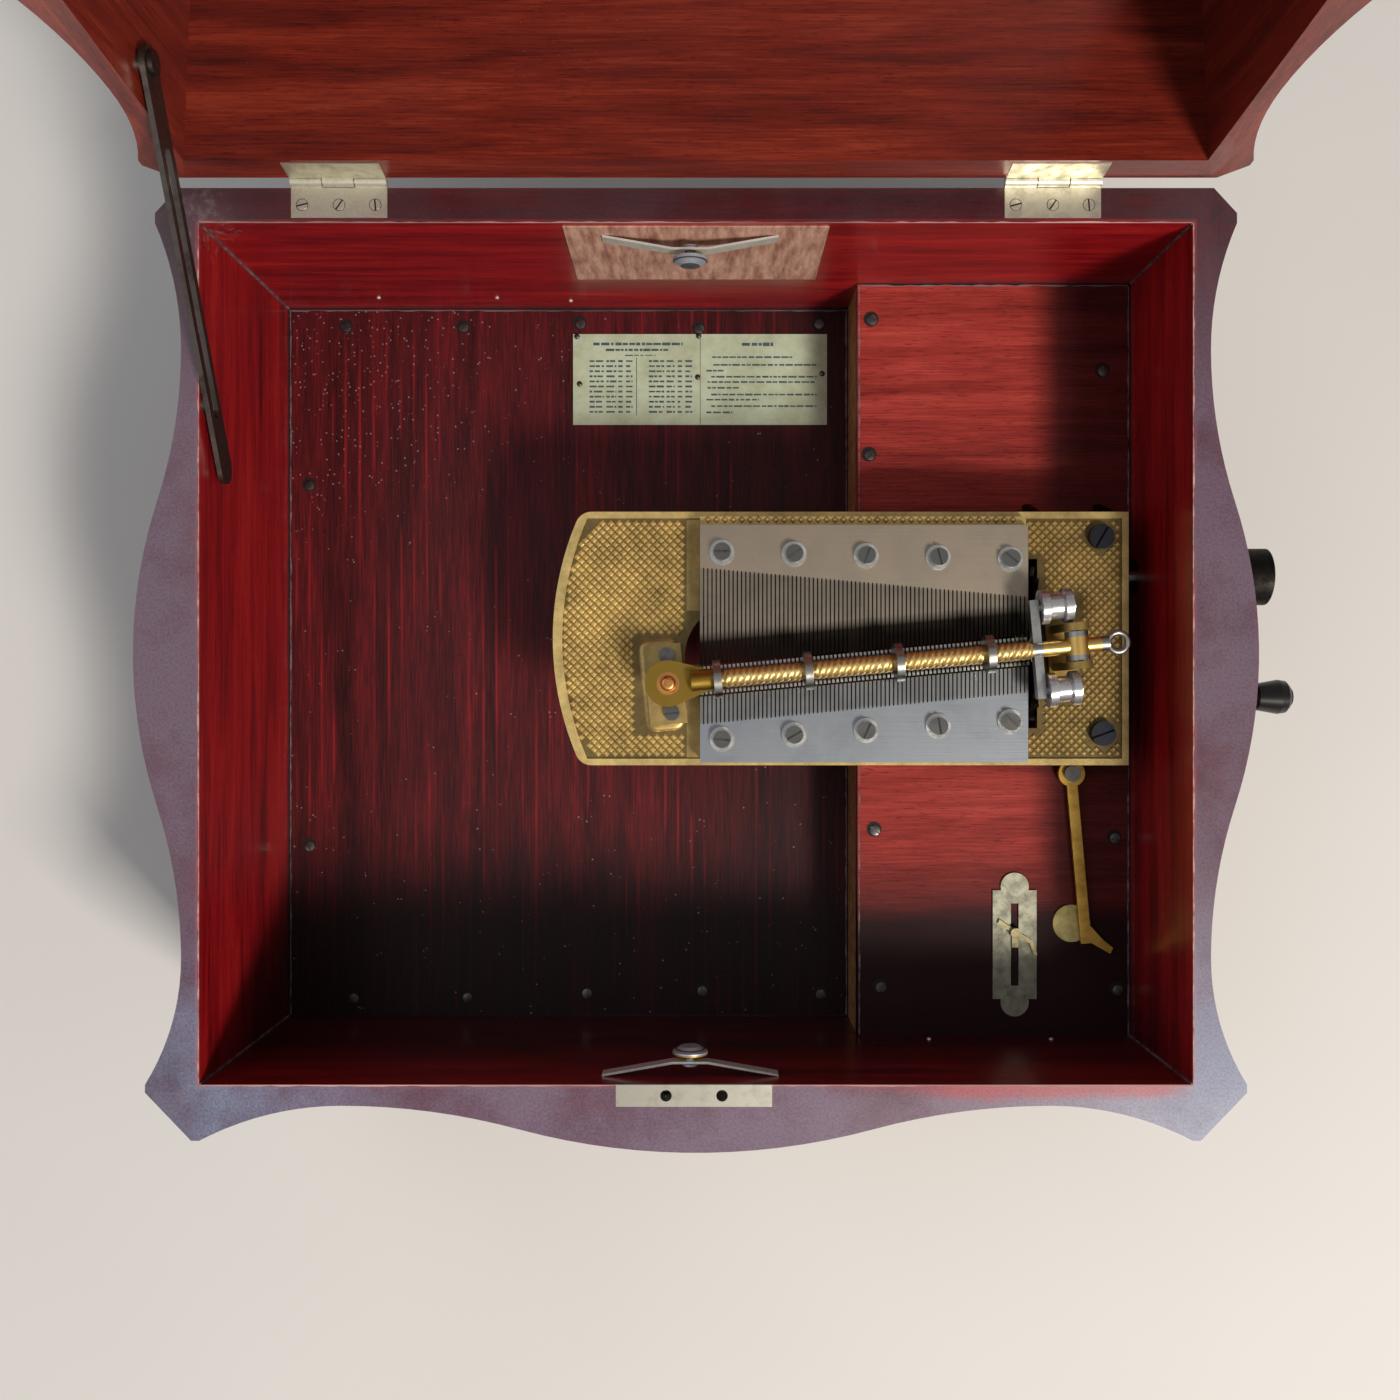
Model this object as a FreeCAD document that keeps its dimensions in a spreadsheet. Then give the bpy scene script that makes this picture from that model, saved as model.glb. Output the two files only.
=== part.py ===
"""A table-top disc music box with its lid open, as one parametric document.

The case is a mahogany box with serpentine front and sides. Inside are a soundboard, a raised deck that
carries the spring motor, and a gilt bedplate with two tuned steel combs, a row of star wheels between
them, a sprocket that drives the tune disc by its edge, and a hinged pressure bar that holds the disc down.

Frame: origin on the table under the middle of the case's inside, +X to the crank, +Y to the hinges, +Z up.
All sizes are millimetres.
"""
import FreeCAD, Part
import math
import os
import re

import Sketcher
from FreeCAD import Placement, Rotation, Vector

# Driving sizes: alias, value, what it is.
SIZES = [
    # case
    ("inner_width", 496, "clear width between the side walls"),
    ("inner_depth", 430, "clear depth between the front and back walls"),
    ("rim_level", 190, "top of the case walls"),
    ("bottom_thickness", 10, "bottom board"),
    ("back_thickness", 17.5, "straight back wall"),
    ("front_crest", 34, "front wall at the middle of its bulge"),
    ("front_valley", 10.5, "front wall at its thinnest"),
    ("front_valley_at", 177, "distance of the thinnest place from the middle"),
    ("front_flare", 28, "front wall at its ends"),
    ("side_crest", 33, "side wall at the middle of its bulge"),
    ("side_valley", 9, "side wall at its thinnest"),
    ("side_valley_at", 152, "distance of the thinnest place from the middle"),
    ("side_flare_front", 27, "side wall at its front end"),
    ("side_flare_back", 22, "side wall at its back end"),
    ("post_land", 4, "flat beside the cant of a front corner post"),
    ("back_post_reach", 10.5, "how far a back corner post goes past the inside corner"),
    ("back_post_drop", 5, "how far its cant starts behind the inside corner"),
    ("plinth_height", 30, "base moulding"),
    ("plinth_overhang", 9, "how far the base moulding stands out"),
    ("plinth_bevel", 6, "slope on the moulding's top edge"),
    ("soundboard_level", 40, "top of the soundboard"),
    ("soundboard_thickness", 9, "spruce soundboard"),
    ("deck_level", 90, "top of the motor deck"),
    ("deck_thickness", 10, "motor deck"),
    ("riser_at", 92, "left face of the board that carries the deck's left edge"),
    ("riser_thickness", 9, "riser board"),
    ("cleat_width", 14, "strips that the boards rest on"),
    ("cleat_height", 15, "strips that the boards rest on"),
    ("well_left", 174, "deck cut-out for the motor"),
    ("well_right", 236, "deck cut-out for the motor"),
    ("well_front", -50, "deck cut-out for the motor"),
    ("well_back", 82, "deck cut-out for the motor"),
    # paper
    ("paper_thickness", 0.8, "cards"),
    ("card_width", 77, "one tune card"),
    ("card_depth", 55, "one tune card"),
    ("card_middle", 2, "the line where the two tune cards meet"),
    ("card_back_edge", 199, "back edge of the tune cards"),
    ("wall_card_width", 134, "card on the back wall"),
    ("wall_card_height", 86, "card on the back wall"),
    ("wall_card_drop", 4, "card on the back wall below the rim"),
    # sprung buffers on the front and back walls
    ("buffer_at", -3, "middle of both buffers"),
    ("buffer_level", 171, "height of both buffers"),
    ("buffer_span", 90, "bow spring from foot to foot"),
    ("buffer_rise", 7.5, "how far the bow stands off its wall"),
    ("buffer_leaf", 1.2, "thickness of the bow spring"),
    ("buffer_leaf_width", 8, "height of the bow spring"),
    ("button_radius", 9, "head of the buffer button"),
    ("button_height", 4, "head of the buffer button"),
    ("button_stem_radius", 2.5, "stem of the buffer button"),
    ("button_edge", 1.5, "straight edge of the button's head"),
    ("rivet_radius", 4, "head that holds the button's stem behind the bow"),
    ("rivet_height", 1.2, "head that holds the button's stem behind the bow"),
    ("button_travel", 3, "how far a button can be pushed"),
    # lid, hinges and stay
    ("lid_gap", 1, "gap between the closed lid and the case"),
    ("lid_depth", 88, "height of the lid's rails"),
    ("lid_top_thickness", 14, "lid top"),
    ("lid_overhang", 5, "how far the lid top stands out"),
    ("lid_bevel", 5, "slope on the lid top's upper edge"),
    ("lid_open_angle", 96, "lid opening held by the stay"),
    ("hinge_axis_back", 235.5, "hinge pin line"),
    ("hinge_at", 178, "middle of each hinge from the centre line"),
    ("hinge_width", 48, "length of each hinge"),
    ("hinge_leaf", 1.2, "thickness of a hinge leaf"),
    ("hinge_leaf_front", 217.5, "front edge of a hinge leaf"),
    ("knuckle_radius", 2.8, "hinge barrel"),
    ("pin_radius", 1.3, "hinge pin"),
    ("running_clearance", 0.05, "radial play of a shaft in its bearing"),
    ("free_clearance", 0.3, "gap between pieces that pass each other"),
    ("stay_at", -243, "inner face of the lid stay"),
    ("stay_thickness", 2.5, "lid stay"),
    ("stay_half_width", 8, "half the width of the lid stay"),
    ("stay_reach", 35, "how far the stay goes past the case pin"),
    ("stay_slot_half", 3.6, "half the width of the stay's slot"),
    ("stud_from_hinge", 75, "stay stud on the lid, along the rail"),
    ("stud_depth", 18, "stay stud on the lid, into the rail"),
    ("stay_pin_depth", 126.7, "case pin of the stay, front to back"),
    ("stay_pin_level", 182, "case pin of the stay"),
    ("stud_radius", 3, "stay stud and pin"),
    ("stud_head_radius", 5.5, "stay stud and pin heads"),
    ("stud_head_height", 2, "head of the stay stud"),
    ("stud_seat", 6, "how far the stay stud and pin go into the wood"),
    # lock
    ("lock_at", -1, "middle of the lock"),
    ("lock_depth", 11, "lock plate"),
    ("lock_plate_thickness", 2, "lock plate"),
    ("lock_case_end", 21, "lock body past each prong hole"),
    ("lock_lip", 4, "lock plate past each end of the lock body"),
    ("lock_step", 1, "lock body behind the lock plate's long edges"),
    ("lock_case_height", 34, "lock body"),
    ("prong_pitch", 28, "distance of the two prong holes"),
    ("prong_hole_radius", 2.9, "prong holes"),
    ("prong_length", 13, "prongs of the lid's link plate"),
    ("prong_width", 3.8, "prongs of the lid's link plate"),
    ("prong_half", 1.5, "half the thickness of a prong"),
    ("prong_eye", 3, "height of the eye in a prong"),
    ("prong_eye_half", 1.2, "half the width of the eye in a prong"),
    ("key_radius", 2.5, "keyhole"),
    ("key_drop", 20, "keyhole below the rim"),
    ("bolt_throw", 6, "travel of the lock bolt"),
    ("bolt_half", 1.6, "half the thickness of the lock bolt"),
    ("bolt_tail", 16, "lock bolt left of the first prong"),
    ("bolt_depth", 8, "underside of the lock bolt below its fingers' level"),
    ("bolt_height", 4.5, "lock bolt"),
    ("finger_half", 0.8, "half the thickness of the bolt's hooked fingers"),
    ("finger_reach", 4, "how far the fingers stand from the prongs when the lock is open"),
    ("finger_length", 8, "hooked fingers"),
    ("finger_stem", 4, "stems of the hooked fingers"),
    ("finger_height", 2.2, "hooked fingers"),
    # movement: the star wheels and the pressure bar lie on one line from the spindle
    ("spindle_x", -14.5, "disc centre"),
    ("spindle_y", -14.5, "disc centre"),
    ("bar_angle", 5.25, "direction of the star wheels and pressure bar"),
    ("bed_level", 138, "top of the bedplate"),
    ("bed_thickness", 6, "bedplate"),
    ("bed_left", -77, "middle of the bowed left end"),
    ("bed_right", 232, "right end of the bedplate"),
    ("bed_front", -58, "front edge of the bedplate"),
    ("bed_back", 78, "back edge of the bedplate"),
    ("bed_bow", 15, "rise of the bowed left end"),
    ("bed_corner", 9, "corner radius of the left end"),
    ("bed_border", 3.5, "raised border of the bedplate"),
    ("bed_recess", 1.2, "depth of the diamond field inside the border"),
    ("leg_size", 12, "cast legs"),
    ("leg_inset", 2, "cast legs inside the bedplate's edges"),
    ("window_left", -6, "left end of the opening under the teeth"),
    ("window_back", 24, "back edge of the opening under the teeth"),
    ("window_front", -4, "front edge of the opening under the teeth"),
    ("window_bend", 30, "rounding of the opening's left end"),
    ("window_shoulder", 6, "where the opening's back edge starts"),
    ("window_step", 4, "where the opening widens past the left star wheel block"),
    ("window_step_front", -20, "front edge of the opening at that step"),
    ("window_margin", 4, "from the opening's right end to the combs' right ends"),
    ("slot_margin", 1.2, "opening round the sprocket past its faces"),
    ("slot_length_margin", 2, "opening round the sprocket past its teeth"),
    ("leg_from_riser", 12, "short legs right of the riser's face"),
    ("long_leg_at", 24, "long leg right of the bedplate's left end"),
    ("rail_margin", 2, "rails under the combs behind the tooth roots"),
    ("back_bolt_x", 217, "bolt at the bedplate's back right corner"),
    ("back_bolt_y", 64.5, "bolt at the bedplate's back right corner"),
    ("front_bolt_x", 218, "bolt at the bedplate's front right corner"),
    ("front_bolt_y", -41, "bolt at the bedplate's front right corner"),
    ("comb_left", 2, "left end of both combs"),
    ("comb_teeth", 78, "teeth in each comb"),
    ("tooth_pitch", 2.23, "spacing of the teeth and star wheels"),
    ("tooth_gap", 0.7, "gap between two teeth"),
    ("comb_level", 150, "top face of the combs"),
    ("comb_thickness", 5, "comb base"),
    ("tooth_thickness", 2.5, "steel left at the teeth"),
    ("rear_comb_back", 69.5, "back edge of the rear comb"),
    ("rear_root_left", 47, "tooth roots at the left end of the rear comb"),
    ("rear_root_right", 31.5, "tooth roots at the right end of the rear comb"),
    ("front_comb_front", -56, "front edge of the front comb"),
    ("front_root_left", -36, "tooth roots at the left end of the front comb"),
    ("front_root_right", -19, "tooth roots at the right end of the front comb"),
    ("comb_screws", 5, "screws that hold each comb"),
    ("comb_screw_first", 11.6, "first comb screw from the comb's left end"),
    ("comb_screw_pitch", 38, "spacing of the comb screws"),
    ("rear_screw_left", 55, "rear comb screws at the left end"),
    ("rear_screw_slope", -0.9, "step of the rear comb screws"),
    ("front_screw_left", -43.6, "front comb screws at the left end"),
    ("front_screw_slope", 2.3, "step of the front comb screws"),
    ("screw_head_radius", 4.6, "comb screws"),
    ("screw_head_height", 4.2, "comb screws"),
    ("washer_radius", 6.6, "washers under the comb screws"),
    ("washer_thickness", 1, "washers under the comb screws"),
    ("screw_radius", 2.5, "shanks"),
    ("tap_floor", 1, "metal left under the comb screws' holes"),
    ("tap_gap", 1, "left free under the comb screws"),
    ("screw_slot", 1.2, "screwdriver slots"),
    ("slot_depth", 0.45, "share of a head's height that its slot takes"),
    ("bolt_head_radius", 6.6, "bolts at the bedplate's right corners"),
    ("bolt_head_height", 4.2, "bolts at the bedplate's right corners"),
    ("lug_tap", 4, "how far those bolts enter the motor frame"),
    ("foot_screw_radius", 4.2, "heads of the screws in the brackets' feet"),
    ("foot_screw_height", 2.6, "heads of the screws in the brackets' feet"),
    ("star_radius", 8, "star wheel over its points"),
    ("star_root", 4.8, "star wheel between its points"),
    ("star_points", 8, "points of one star wheel"),
    ("star_thickness", 1.3, "star wheel"),
    ("star_arbor", 2, "arbor of the star wheels over its corners"),
    ("star_journal", 1.5, "arbor ends"),
    ("star_margin_left", 1.6, "arbor past the first star wheel"),
    ("star_margin_right", 0.6, "arbor past the last star wheel"),
    ("star_below_disc", 0.5, "points of the star wheels below the disc"),
    ("journal_left", 6, "left arbor end"),
    ("journal_right", 2.4, "right arbor end"),
    ("star_block_gap", 0.4, "between the arbor's shoulders and the blocks"),
    ("star_block_half", 6, "half the width of the blocks that carry the star wheels"),
    ("star_block_left", 3, "left block"),
    ("star_block_right", 1.6, "right block"),
    ("star_block_rise", 4.5, "top of the blocks above the arbor"),
    ("disc_level", 156, "underside of the tune disc on the spindle"),
    ("disc_thickness", 1, "tune disc"),
    ("spindle_radius", 3.2, "spindle pin in the disc's centre hole"),
    ("spindle_shoulder", 5, "shoulder under the disc"),
    ("spindle_pin", 4.2, "height of the pin above its shoulder"),
    ("nose_radius", 2.6, "slimmer top of the spindle, which enters the bar's end plate"),
    ("nose_height", 3.3, "slimmer top of the spindle"),
    ("nose_tip", 0.6, "rounding at the spindle's tip"),
    ("spindle_boss", 7, "round boss at the spindle's foot"),
    ("spindle_boss_height", 3, "round boss at the spindle's foot"),
    ("spindle_boss_slope", 2, "height of the slope above the boss"),
    ("foot_left", -12, "left edge of the spindle's foot"),
    ("foot_right", 8, "right edge of the spindle's foot"),
    ("foot_half", 21.5, "half the length of the spindle's foot"),
    ("foot_screw_at", 15.4, "each screw of the spindle's foot"),
    ("foot_thickness", 4, "feet of the brackets on the bedplate"),
    ("bar_radius", 4, "pressure bar"),
    ("bar_start", 13, "pressure bar from the spindle"),
    ("bar_hinge_at", 212, "pressure bar hinge from the spindle"),
    ("bar_end_at", 228, "tail of the pressure bar from the spindle"),
    ("loop_radius", 5, "finger loop at the bar's tail"),
    ("loop_wire", 1.5, "half the thickness of the finger loop"),
    ("eye_radius", 6, "hinge eye of the bar"),
    ("eye_gap", 0.5, "between the hinge eye and each ear"),
    ("axle_lift", 0.5, "edge rollers above the disc's face"),
    ("cross_under", 3.5, "crosshead below the edge rollers' axles"),
    ("cross_over", 2, "crosshead above the bar's axis"),
    ("cross_setback", 5.5, "crosshead in front of the edge rollers"),
    ("cross_thickness", 4.5, "crosshead"),
    ("cross_margin", 4, "crosshead past the edge rollers' axles"),
    ("bar_lift", 55, "how far the pressure bar lifts"),
    ("plate_radius", 12, "round end plate of the bar"),
    ("plate_thickness", 5, "end plate of the bar"),
    ("plate_dome", 4, "button on the end plate"),
    ("plate_dome_height", 2.4, "button on the end plate"),
    ("plate_taper", 5.6, "half the width of the end plate at the bar"),
    ("plate_taper_at", 21, "where the end plate's taper ends, from the spindle"),
    ("plate_drop", 2.5, "underside of the end plate below the bar"),
    ("plate_boss_start", 12, "boss of the end plate that takes the bar, from the spindle"),
    ("plate_boss_end", 23.5, "boss of the end plate that takes the bar, from the spindle"),
    ("plate_dome_round", 2, "rounding of the button"),
    ("socket_gap", 0.4, "socket of the end plate round and over the spindle's top"),
    ("roller_radius", 10, "pressure rollers"),
    ("roller_width", 4, "pressure rollers"),
    ("roller_count", 4, "pressure rollers"),
    ("roller_first", 25.6, "first roller from the spindle"),
    ("roller_pitch", 46.9, "spacing of the rollers"),
    ("ear_gap", 16, "clear width between the bar bracket's ears"),
    ("ear_thickness", 4, "ears of the bar bracket"),
    ("ear_width", 14, "ears of the bar bracket"),
    ("bracket_half", 27, "half the length of the bar bracket's foot"),
    ("bracket_reach", 9, "foot of the bar bracket in front of the hinge pin"),
    ("bracket_screw_inset", 6, "screws from the ends of the bar bracket's foot"),
    ("edge_roller_radius", 9, "flanged rollers at the disc's edge"),
    ("edge_roller_waist", 6.8, "flanged rollers between their flanges"),
    ("edge_roller_width", 16, "flanged rollers"),
    ("edge_roller_spread", 21.5, "each edge roller from the bar"),
    ("edge_roller_at", 194.5, "inner end of the edge rollers from the spindle"),
    ("edge_axle_radius", 2.5, "axles of the edge rollers"),
    ("edge_collar_radius", 4, "collars that hold the edge rollers"),
    ("edge_collar_width", 1.5, "collars that hold the edge rollers"),
    # spring motor
    ("winding_y", 46.8, "winding arbor"),
    ("winding_z", 95, "winding arbor"),
    ("winding_radius", 4, "winding arbor"),
    ("main_module", 1.33333, "great wheel and drive pinion"),
    ("great_teeth", 48, "great wheel on the spring barrel"),
    ("drive_pinion_teeth", 16, "pinion on the sprocket arbor"),
    ("sprocket_bearing", 157.6, "direction from the winding arbor to the sprocket arbor"),
    ("second_module", 0.92, "second wheel and pinion"),
    ("second_teeth", 40, "wheel on the sprocket arbor"),
    ("second_pinion_teeth", 10, "pinion on the worm wheel arbor"),
    ("worm_bearing", 198.6, "direction from the sprocket arbor to the worm wheel arbor"),
    ("worm_module", 1.2, "worm wheel"),
    ("worm_wheel_teeth", 20, "worm wheel"),
    ("worm_starts", 2, "threads of the governor worm"),
    ("worm_pitch_radius", 3.5, "governor worm"),
    ("backlash", 0.2, "play between meshing teeth"),
    ("frame_left", 186, "outer face of the left motor plate"),
    ("frame_right", 229.5, "outer face of the right motor plate"),
    ("frame_thickness", 3, "motor plates"),
    ("pillar_radius", 3, "pillars between the motor plates"),
    ("low_pillar_y", -44, "lower front pillar"),
    ("low_pillar_z", 67, "lower front pillar"),
    ("front_pillar_y", -46, "upper front pillar"),
    ("front_pillar_z", 110, "upper front pillar"),
    ("back_pillar_y", 77, "lower back pillar"),
    ("back_pillar_z", 73.5, "lower back pillar"),
    ("high_pillar_y", 70, "upper back pillar"),
    ("high_pillar_z", 127, "upper back pillar"),
    ("gear_width", 5, "great wheel"),
    ("gear_gap", 2, "gap between a plate and the nearest wheel"),
    ("barrel_radius", 28, "spring barrel"),
    ("barrel_length", 22, "spring barrel"),
    ("barrel_wall", 1.5, "spring barrel"),
    ("ratchet_radius", 14, "ratchet wheel"),
    ("ratchet_root", 11, "ratchet wheel between its teeth"),
    ("ratchet_teeth", 12, "ratchet wheel"),
    ("ratchet_width", 3, "ratchet wheel and click"),
    ("sprocket_radius", 48, "drive sprocket over its teeth"),
    ("sprocket_root", 43, "drive sprocket between its teeth"),
    ("sprocket_teeth", 24, "drive sprocket"),
    ("sprocket_at", 179.5, "left face of the drive sprocket"),
    ("sprocket_width", 2.5, "drive sprocket"),
    ("arbor_radius", 3, "sprocket arbor"),
    ("governor_x", 203, "governor spindle"),
    ("governor_radius", 1.6, "governor spindle"),
    ("fan_radius", 12, "governor fan"),
    ("fan_height", 7, "governor fan"),
    ("fan_half", 0.4, "half the thickness of a fan blade"),
    ("fan_level", 117, "underside of the governor fan"),
    ("collar_radius", 4.5, "brake collar on the governor"),
    ("collar_level", 91.5, "underside of the brake collar"),
    ("collar_height", 4, "brake collar"),
    ("pressure_angle", 20, "gear teeth"),
    ("pinion_overhang", 0.5, "pinions past each face of the wheels that drive them"),
    ("ratchet_gap", 2, "between the ratchet wheel and the right motor plate"),
    ("second_gap", 1.5, "between the second wheel and the right motor plate"),
    ("hub_overhang", 3, "sprocket arbor left of the sprocket"),
    ("governor_bottom", 71, "lower end of the governor spindle"),
    ("governor_top", 129, "upper end of the governor spindle"),
    ("bridge_half", 4, "half the width of the bars that carry the governor"),
    ("bridge_depth", 2, "metal below the governor spindle's lower end"),
    ("bridge_seat", 3, "how far each end of the governor spindle enters its bar"),
    ("pivot_gap", 0.05, "end play of the governor spindle"),
    ("worm_length", 14, "threaded part of the governor worm"),
    ("worm_depth", 1.1, "worm's core below its pitch radius"),
    ("worm_height", 0.9, "worm's thread above its pitch radius"),
    ("thread_half", 0.67, "half the thickness of the worm's thread at its foot"),
    ("worm_shaft_radius", 1.8, "worm wheel arbor"),
    ("worm_addendum", 0.75, "worm wheel's teeth above its pitch radius"),
    ("worm_dedendum", 1.1, "worm wheel's teeth below its pitch radius"),
    ("worm_tooth_tip", 0.31, "half the width of a worm wheel tooth at its tip"),
    ("worm_tooth_foot", 0.88, "half the width of a worm wheel tooth at its foot"),
    ("worm_wheel_width", 2, "worm wheel"),
    ("second_width", 3, "second wheel"),
    ("click_y", 22, "pin of the click behind the winding arbor"),
    ("click_z", 16, "pin of the click above the winding arbor"),
    ("click_round", 4, "round end of the click"),
    ("click_pin_radius", 2, "pin of the click"),
    ("sprocket_hub_radius", 8, "hub of the sprocket"),
    ("sprocket_hub_length", 2.5, "hub of the sprocket"),
    ("peg_seat", 0.5, "root of a sprocket tooth inside the web"),
    ("peg_round", 1.2, "height of a sprocket tooth's shoulders below its tip"),
    ("peg_foot", 1.7, "half the width of a sprocket tooth at its foot"),
    ("peg_shoulder", 1.3, "half the width of a sprocket tooth at its shoulder"),
    ("peg_tip", 0.6, "half the width of a sprocket tooth at its tip"),
    ("lug_half", 7, "half the width of the lugs that the bedplate's bolts enter"),
    ("lug_height", 8, "lugs that the bedplate's bolts enter"),
    ("plate_inset", 1, "motor plates inside the bedplate's edges"),
    ("shoulder_width", 6, "shoulder of the motor plates on the deck"),
    ("shoulder_height", 6, "shoulder of the motor plates above the deck"),
    ("plate_gap", 0.5, "between the motor plates and the deck's cut-out"),
    ("plate_back_drop", 20, "back corner of the motor plates below the deck"),
    ("plate_front_drop", 24, "front corner of the motor plates below the deck"),
    ("plate_floor", 9, "motor plates below the spring barrel"),
    ("plate_floor_back", 12, "lowest corner of the motor plates behind the winding arbor"),
    ("plate_floor_front", 22, "lowest corner of the motor plates behind the cut-out's front"),
    # crank
    ("bush_radius", 10, "crank bush through the right wall"),
    ("bush_flange", 16, "flange of the crank bush"),
    ("bush_face", 280, "outer face of the bush's flange"),
    ("bush_flange_thickness", 5, "flange of the crank bush"),
    ("crank_hub_radius", 16, "hub of the crank"),
    ("crank_gap", 23, "from the bush's flange to the crank hub"),
    ("crank_hub_length", 19, "hub of the crank"),
    ("crank_arm_inset", 4, "arm behind the hub's inner face"),
    ("crank_throw", 68, "crank arm from hub to knob"),
    ("crank_arm_width", 14, "crank arm"),
    ("crank_arm_thickness", 8, "crank arm"),
    ("knob_radius", 9.75, "crank knob"),
    ("knob_length", 20, "crank knob"),
    ("knob_axle_radius", 3, "axle of the crank knob"),
    ("knob_washer_radius", 5, "washer that holds the knob"),
    ("knob_washer_thickness", 1.2, "washer that holds the knob"),
    # controls
    ("lever_x", 212.8, "stop lever pivot"),
    ("lever_y", -64.7, "stop lever pivot"),
    ("lever_ring", 7.5, "ring round the stop lever's pivot"),
    ("lever_angle", 5.1, "lean of the stop lever"),
    ("lever_length", 97, "stop lever from pivot to finger"),
    ("lever_tail", 36, "stop lever behind its pivot"),
    ("lever_half", 3, "half the width of the stop lever"),
    ("tail_half", 1.8, "half the width of the lever's tail"),
    ("lever_level", 92, "underside of the stop lever"),
    ("lever_thickness", 2.5, "stop lever"),
    ("lever_boss", 1.5, "ring of the stop lever above its arm"),
    ("pivot_depth", 8, "pivot screw in the deck"),
    ("pivot_collar", 5, "collar under the stop lever"),
    ("pivot_head", 4.6, "head of the pivot screw"),
    ("pivot_head_height", 2.2, "head of the pivot screw"),
    ("stop_disc_x", 213.9, "stop disc"),
    ("stop_disc_y", -150.4, "stop disc"),
    ("stop_disc_radius", 10.6, "stop disc"),
    ("stop_disc_thickness", 1.2, "stop disc"),
    ("speed_x", 181.5, "speed plate"),
    ("speed_y", -162.5, "speed plate"),
    ("speed_width", 25, "speed plate"),
    ("speed_length", 70, "speed plate"),
    ("speed_thickness", 1.2, "speed plate"),
    ("speed_tab", 8, "round ends of the speed plate"),
    ("speed_tab_overlap", 2, "middles of the round ends inside the speed plate's ends"),
    ("speed_slot", 47, "slot of the speed plate"),
    ("speed_slot_half", 2.2, "half the width of the slot"),
    ("pointer_at", -159, "speed pointer"),
    ("pointer_thickness", 1.4, "speed pointer"),
    ("pointer_knob_at", 3.4, "knob of the speed pointer behind the slot's block"),
    ("pointer_knob", 3, "knob on the speed pointer"),
    ("pointer_knob_height", 3.4, "knob on the speed pointer"),
    ("slider_half", 1.9, "half the width of the block in the slot"),
    ("slider_length", 10, "block in the slot"),
]
ALIASES = {alias for alias, _, _ in SIZES}

doc = FreeCAD.newDocument("disc_music_box")
sheet = doc.addObject("Spreadsheet::Sheet", "Sizes")
for row, (alias, value, note) in enumerate(SIZES, start=1):
    sheet.set(f"A{row}", note)
    sheet.set(f"B{row}", str(value))
    sheet.setAlias(f"B{row}", alias)
doc.recompute()

PIECES = []


# ---------------------------------------------------------------------------------------------------
# Small tools: every size below is an expression in the names of the sheet.
# ---------------------------------------------------------------------------------------------------
def val(expression):
    """The number that an expression of sheet names has now."""
    return float(sheet.evalExpression(str(expression)))


def bound(expression):
    """The same expression as another object of the document writes it."""
    return re.sub(r"[a-z_][a-z_0-9]*", lambda m: "Sizes." + m[0] if m[0] in ALIASES else m[0], str(expression))


def bind(item, **expressions):
    """Ties properties to expressions; a double underscore in a name stands for a dot."""
    for path, expression in expressions.items():
        item.setExpression(path.replace("__", "."), bound(expression))
    return item


def piece(item, label):
    """Marks an object as a sub-part with its own name and file."""
    item.Label = label
    PIECES.append(item)
    return item


def new_body(name):
    return doc.addObject("PartDesign::Body", name + "_body")


def origin_part(body, role):
    return next(f for f in body.Origin.OriginFeatures if f.Role == role)


def arc_through(start, finish, radius, side):
    """An arc between two points; side is +1 when its centre lies left of the way from start to finish."""
    chord = finish - start
    left = Vector(-chord.y, chord.x, 0).normalize()
    centre = (start + finish) * 0.5 + left * (side * math.sqrt(max(radius**2 - (chord.Length / 2) ** 2, 0)))
    first, last = (start, finish) if side > 0 else (finish, start)
    angles = [math.atan2(end.y - centre.y, end.x - centre.x) for end in (first, last)]
    if angles[1] <= angles[0]:
        angles[1] += 2 * math.pi
    return Part.ArcOfCircle(Part.Circle(centre, Vector(0, 0, 1), radius), *angles)


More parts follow.
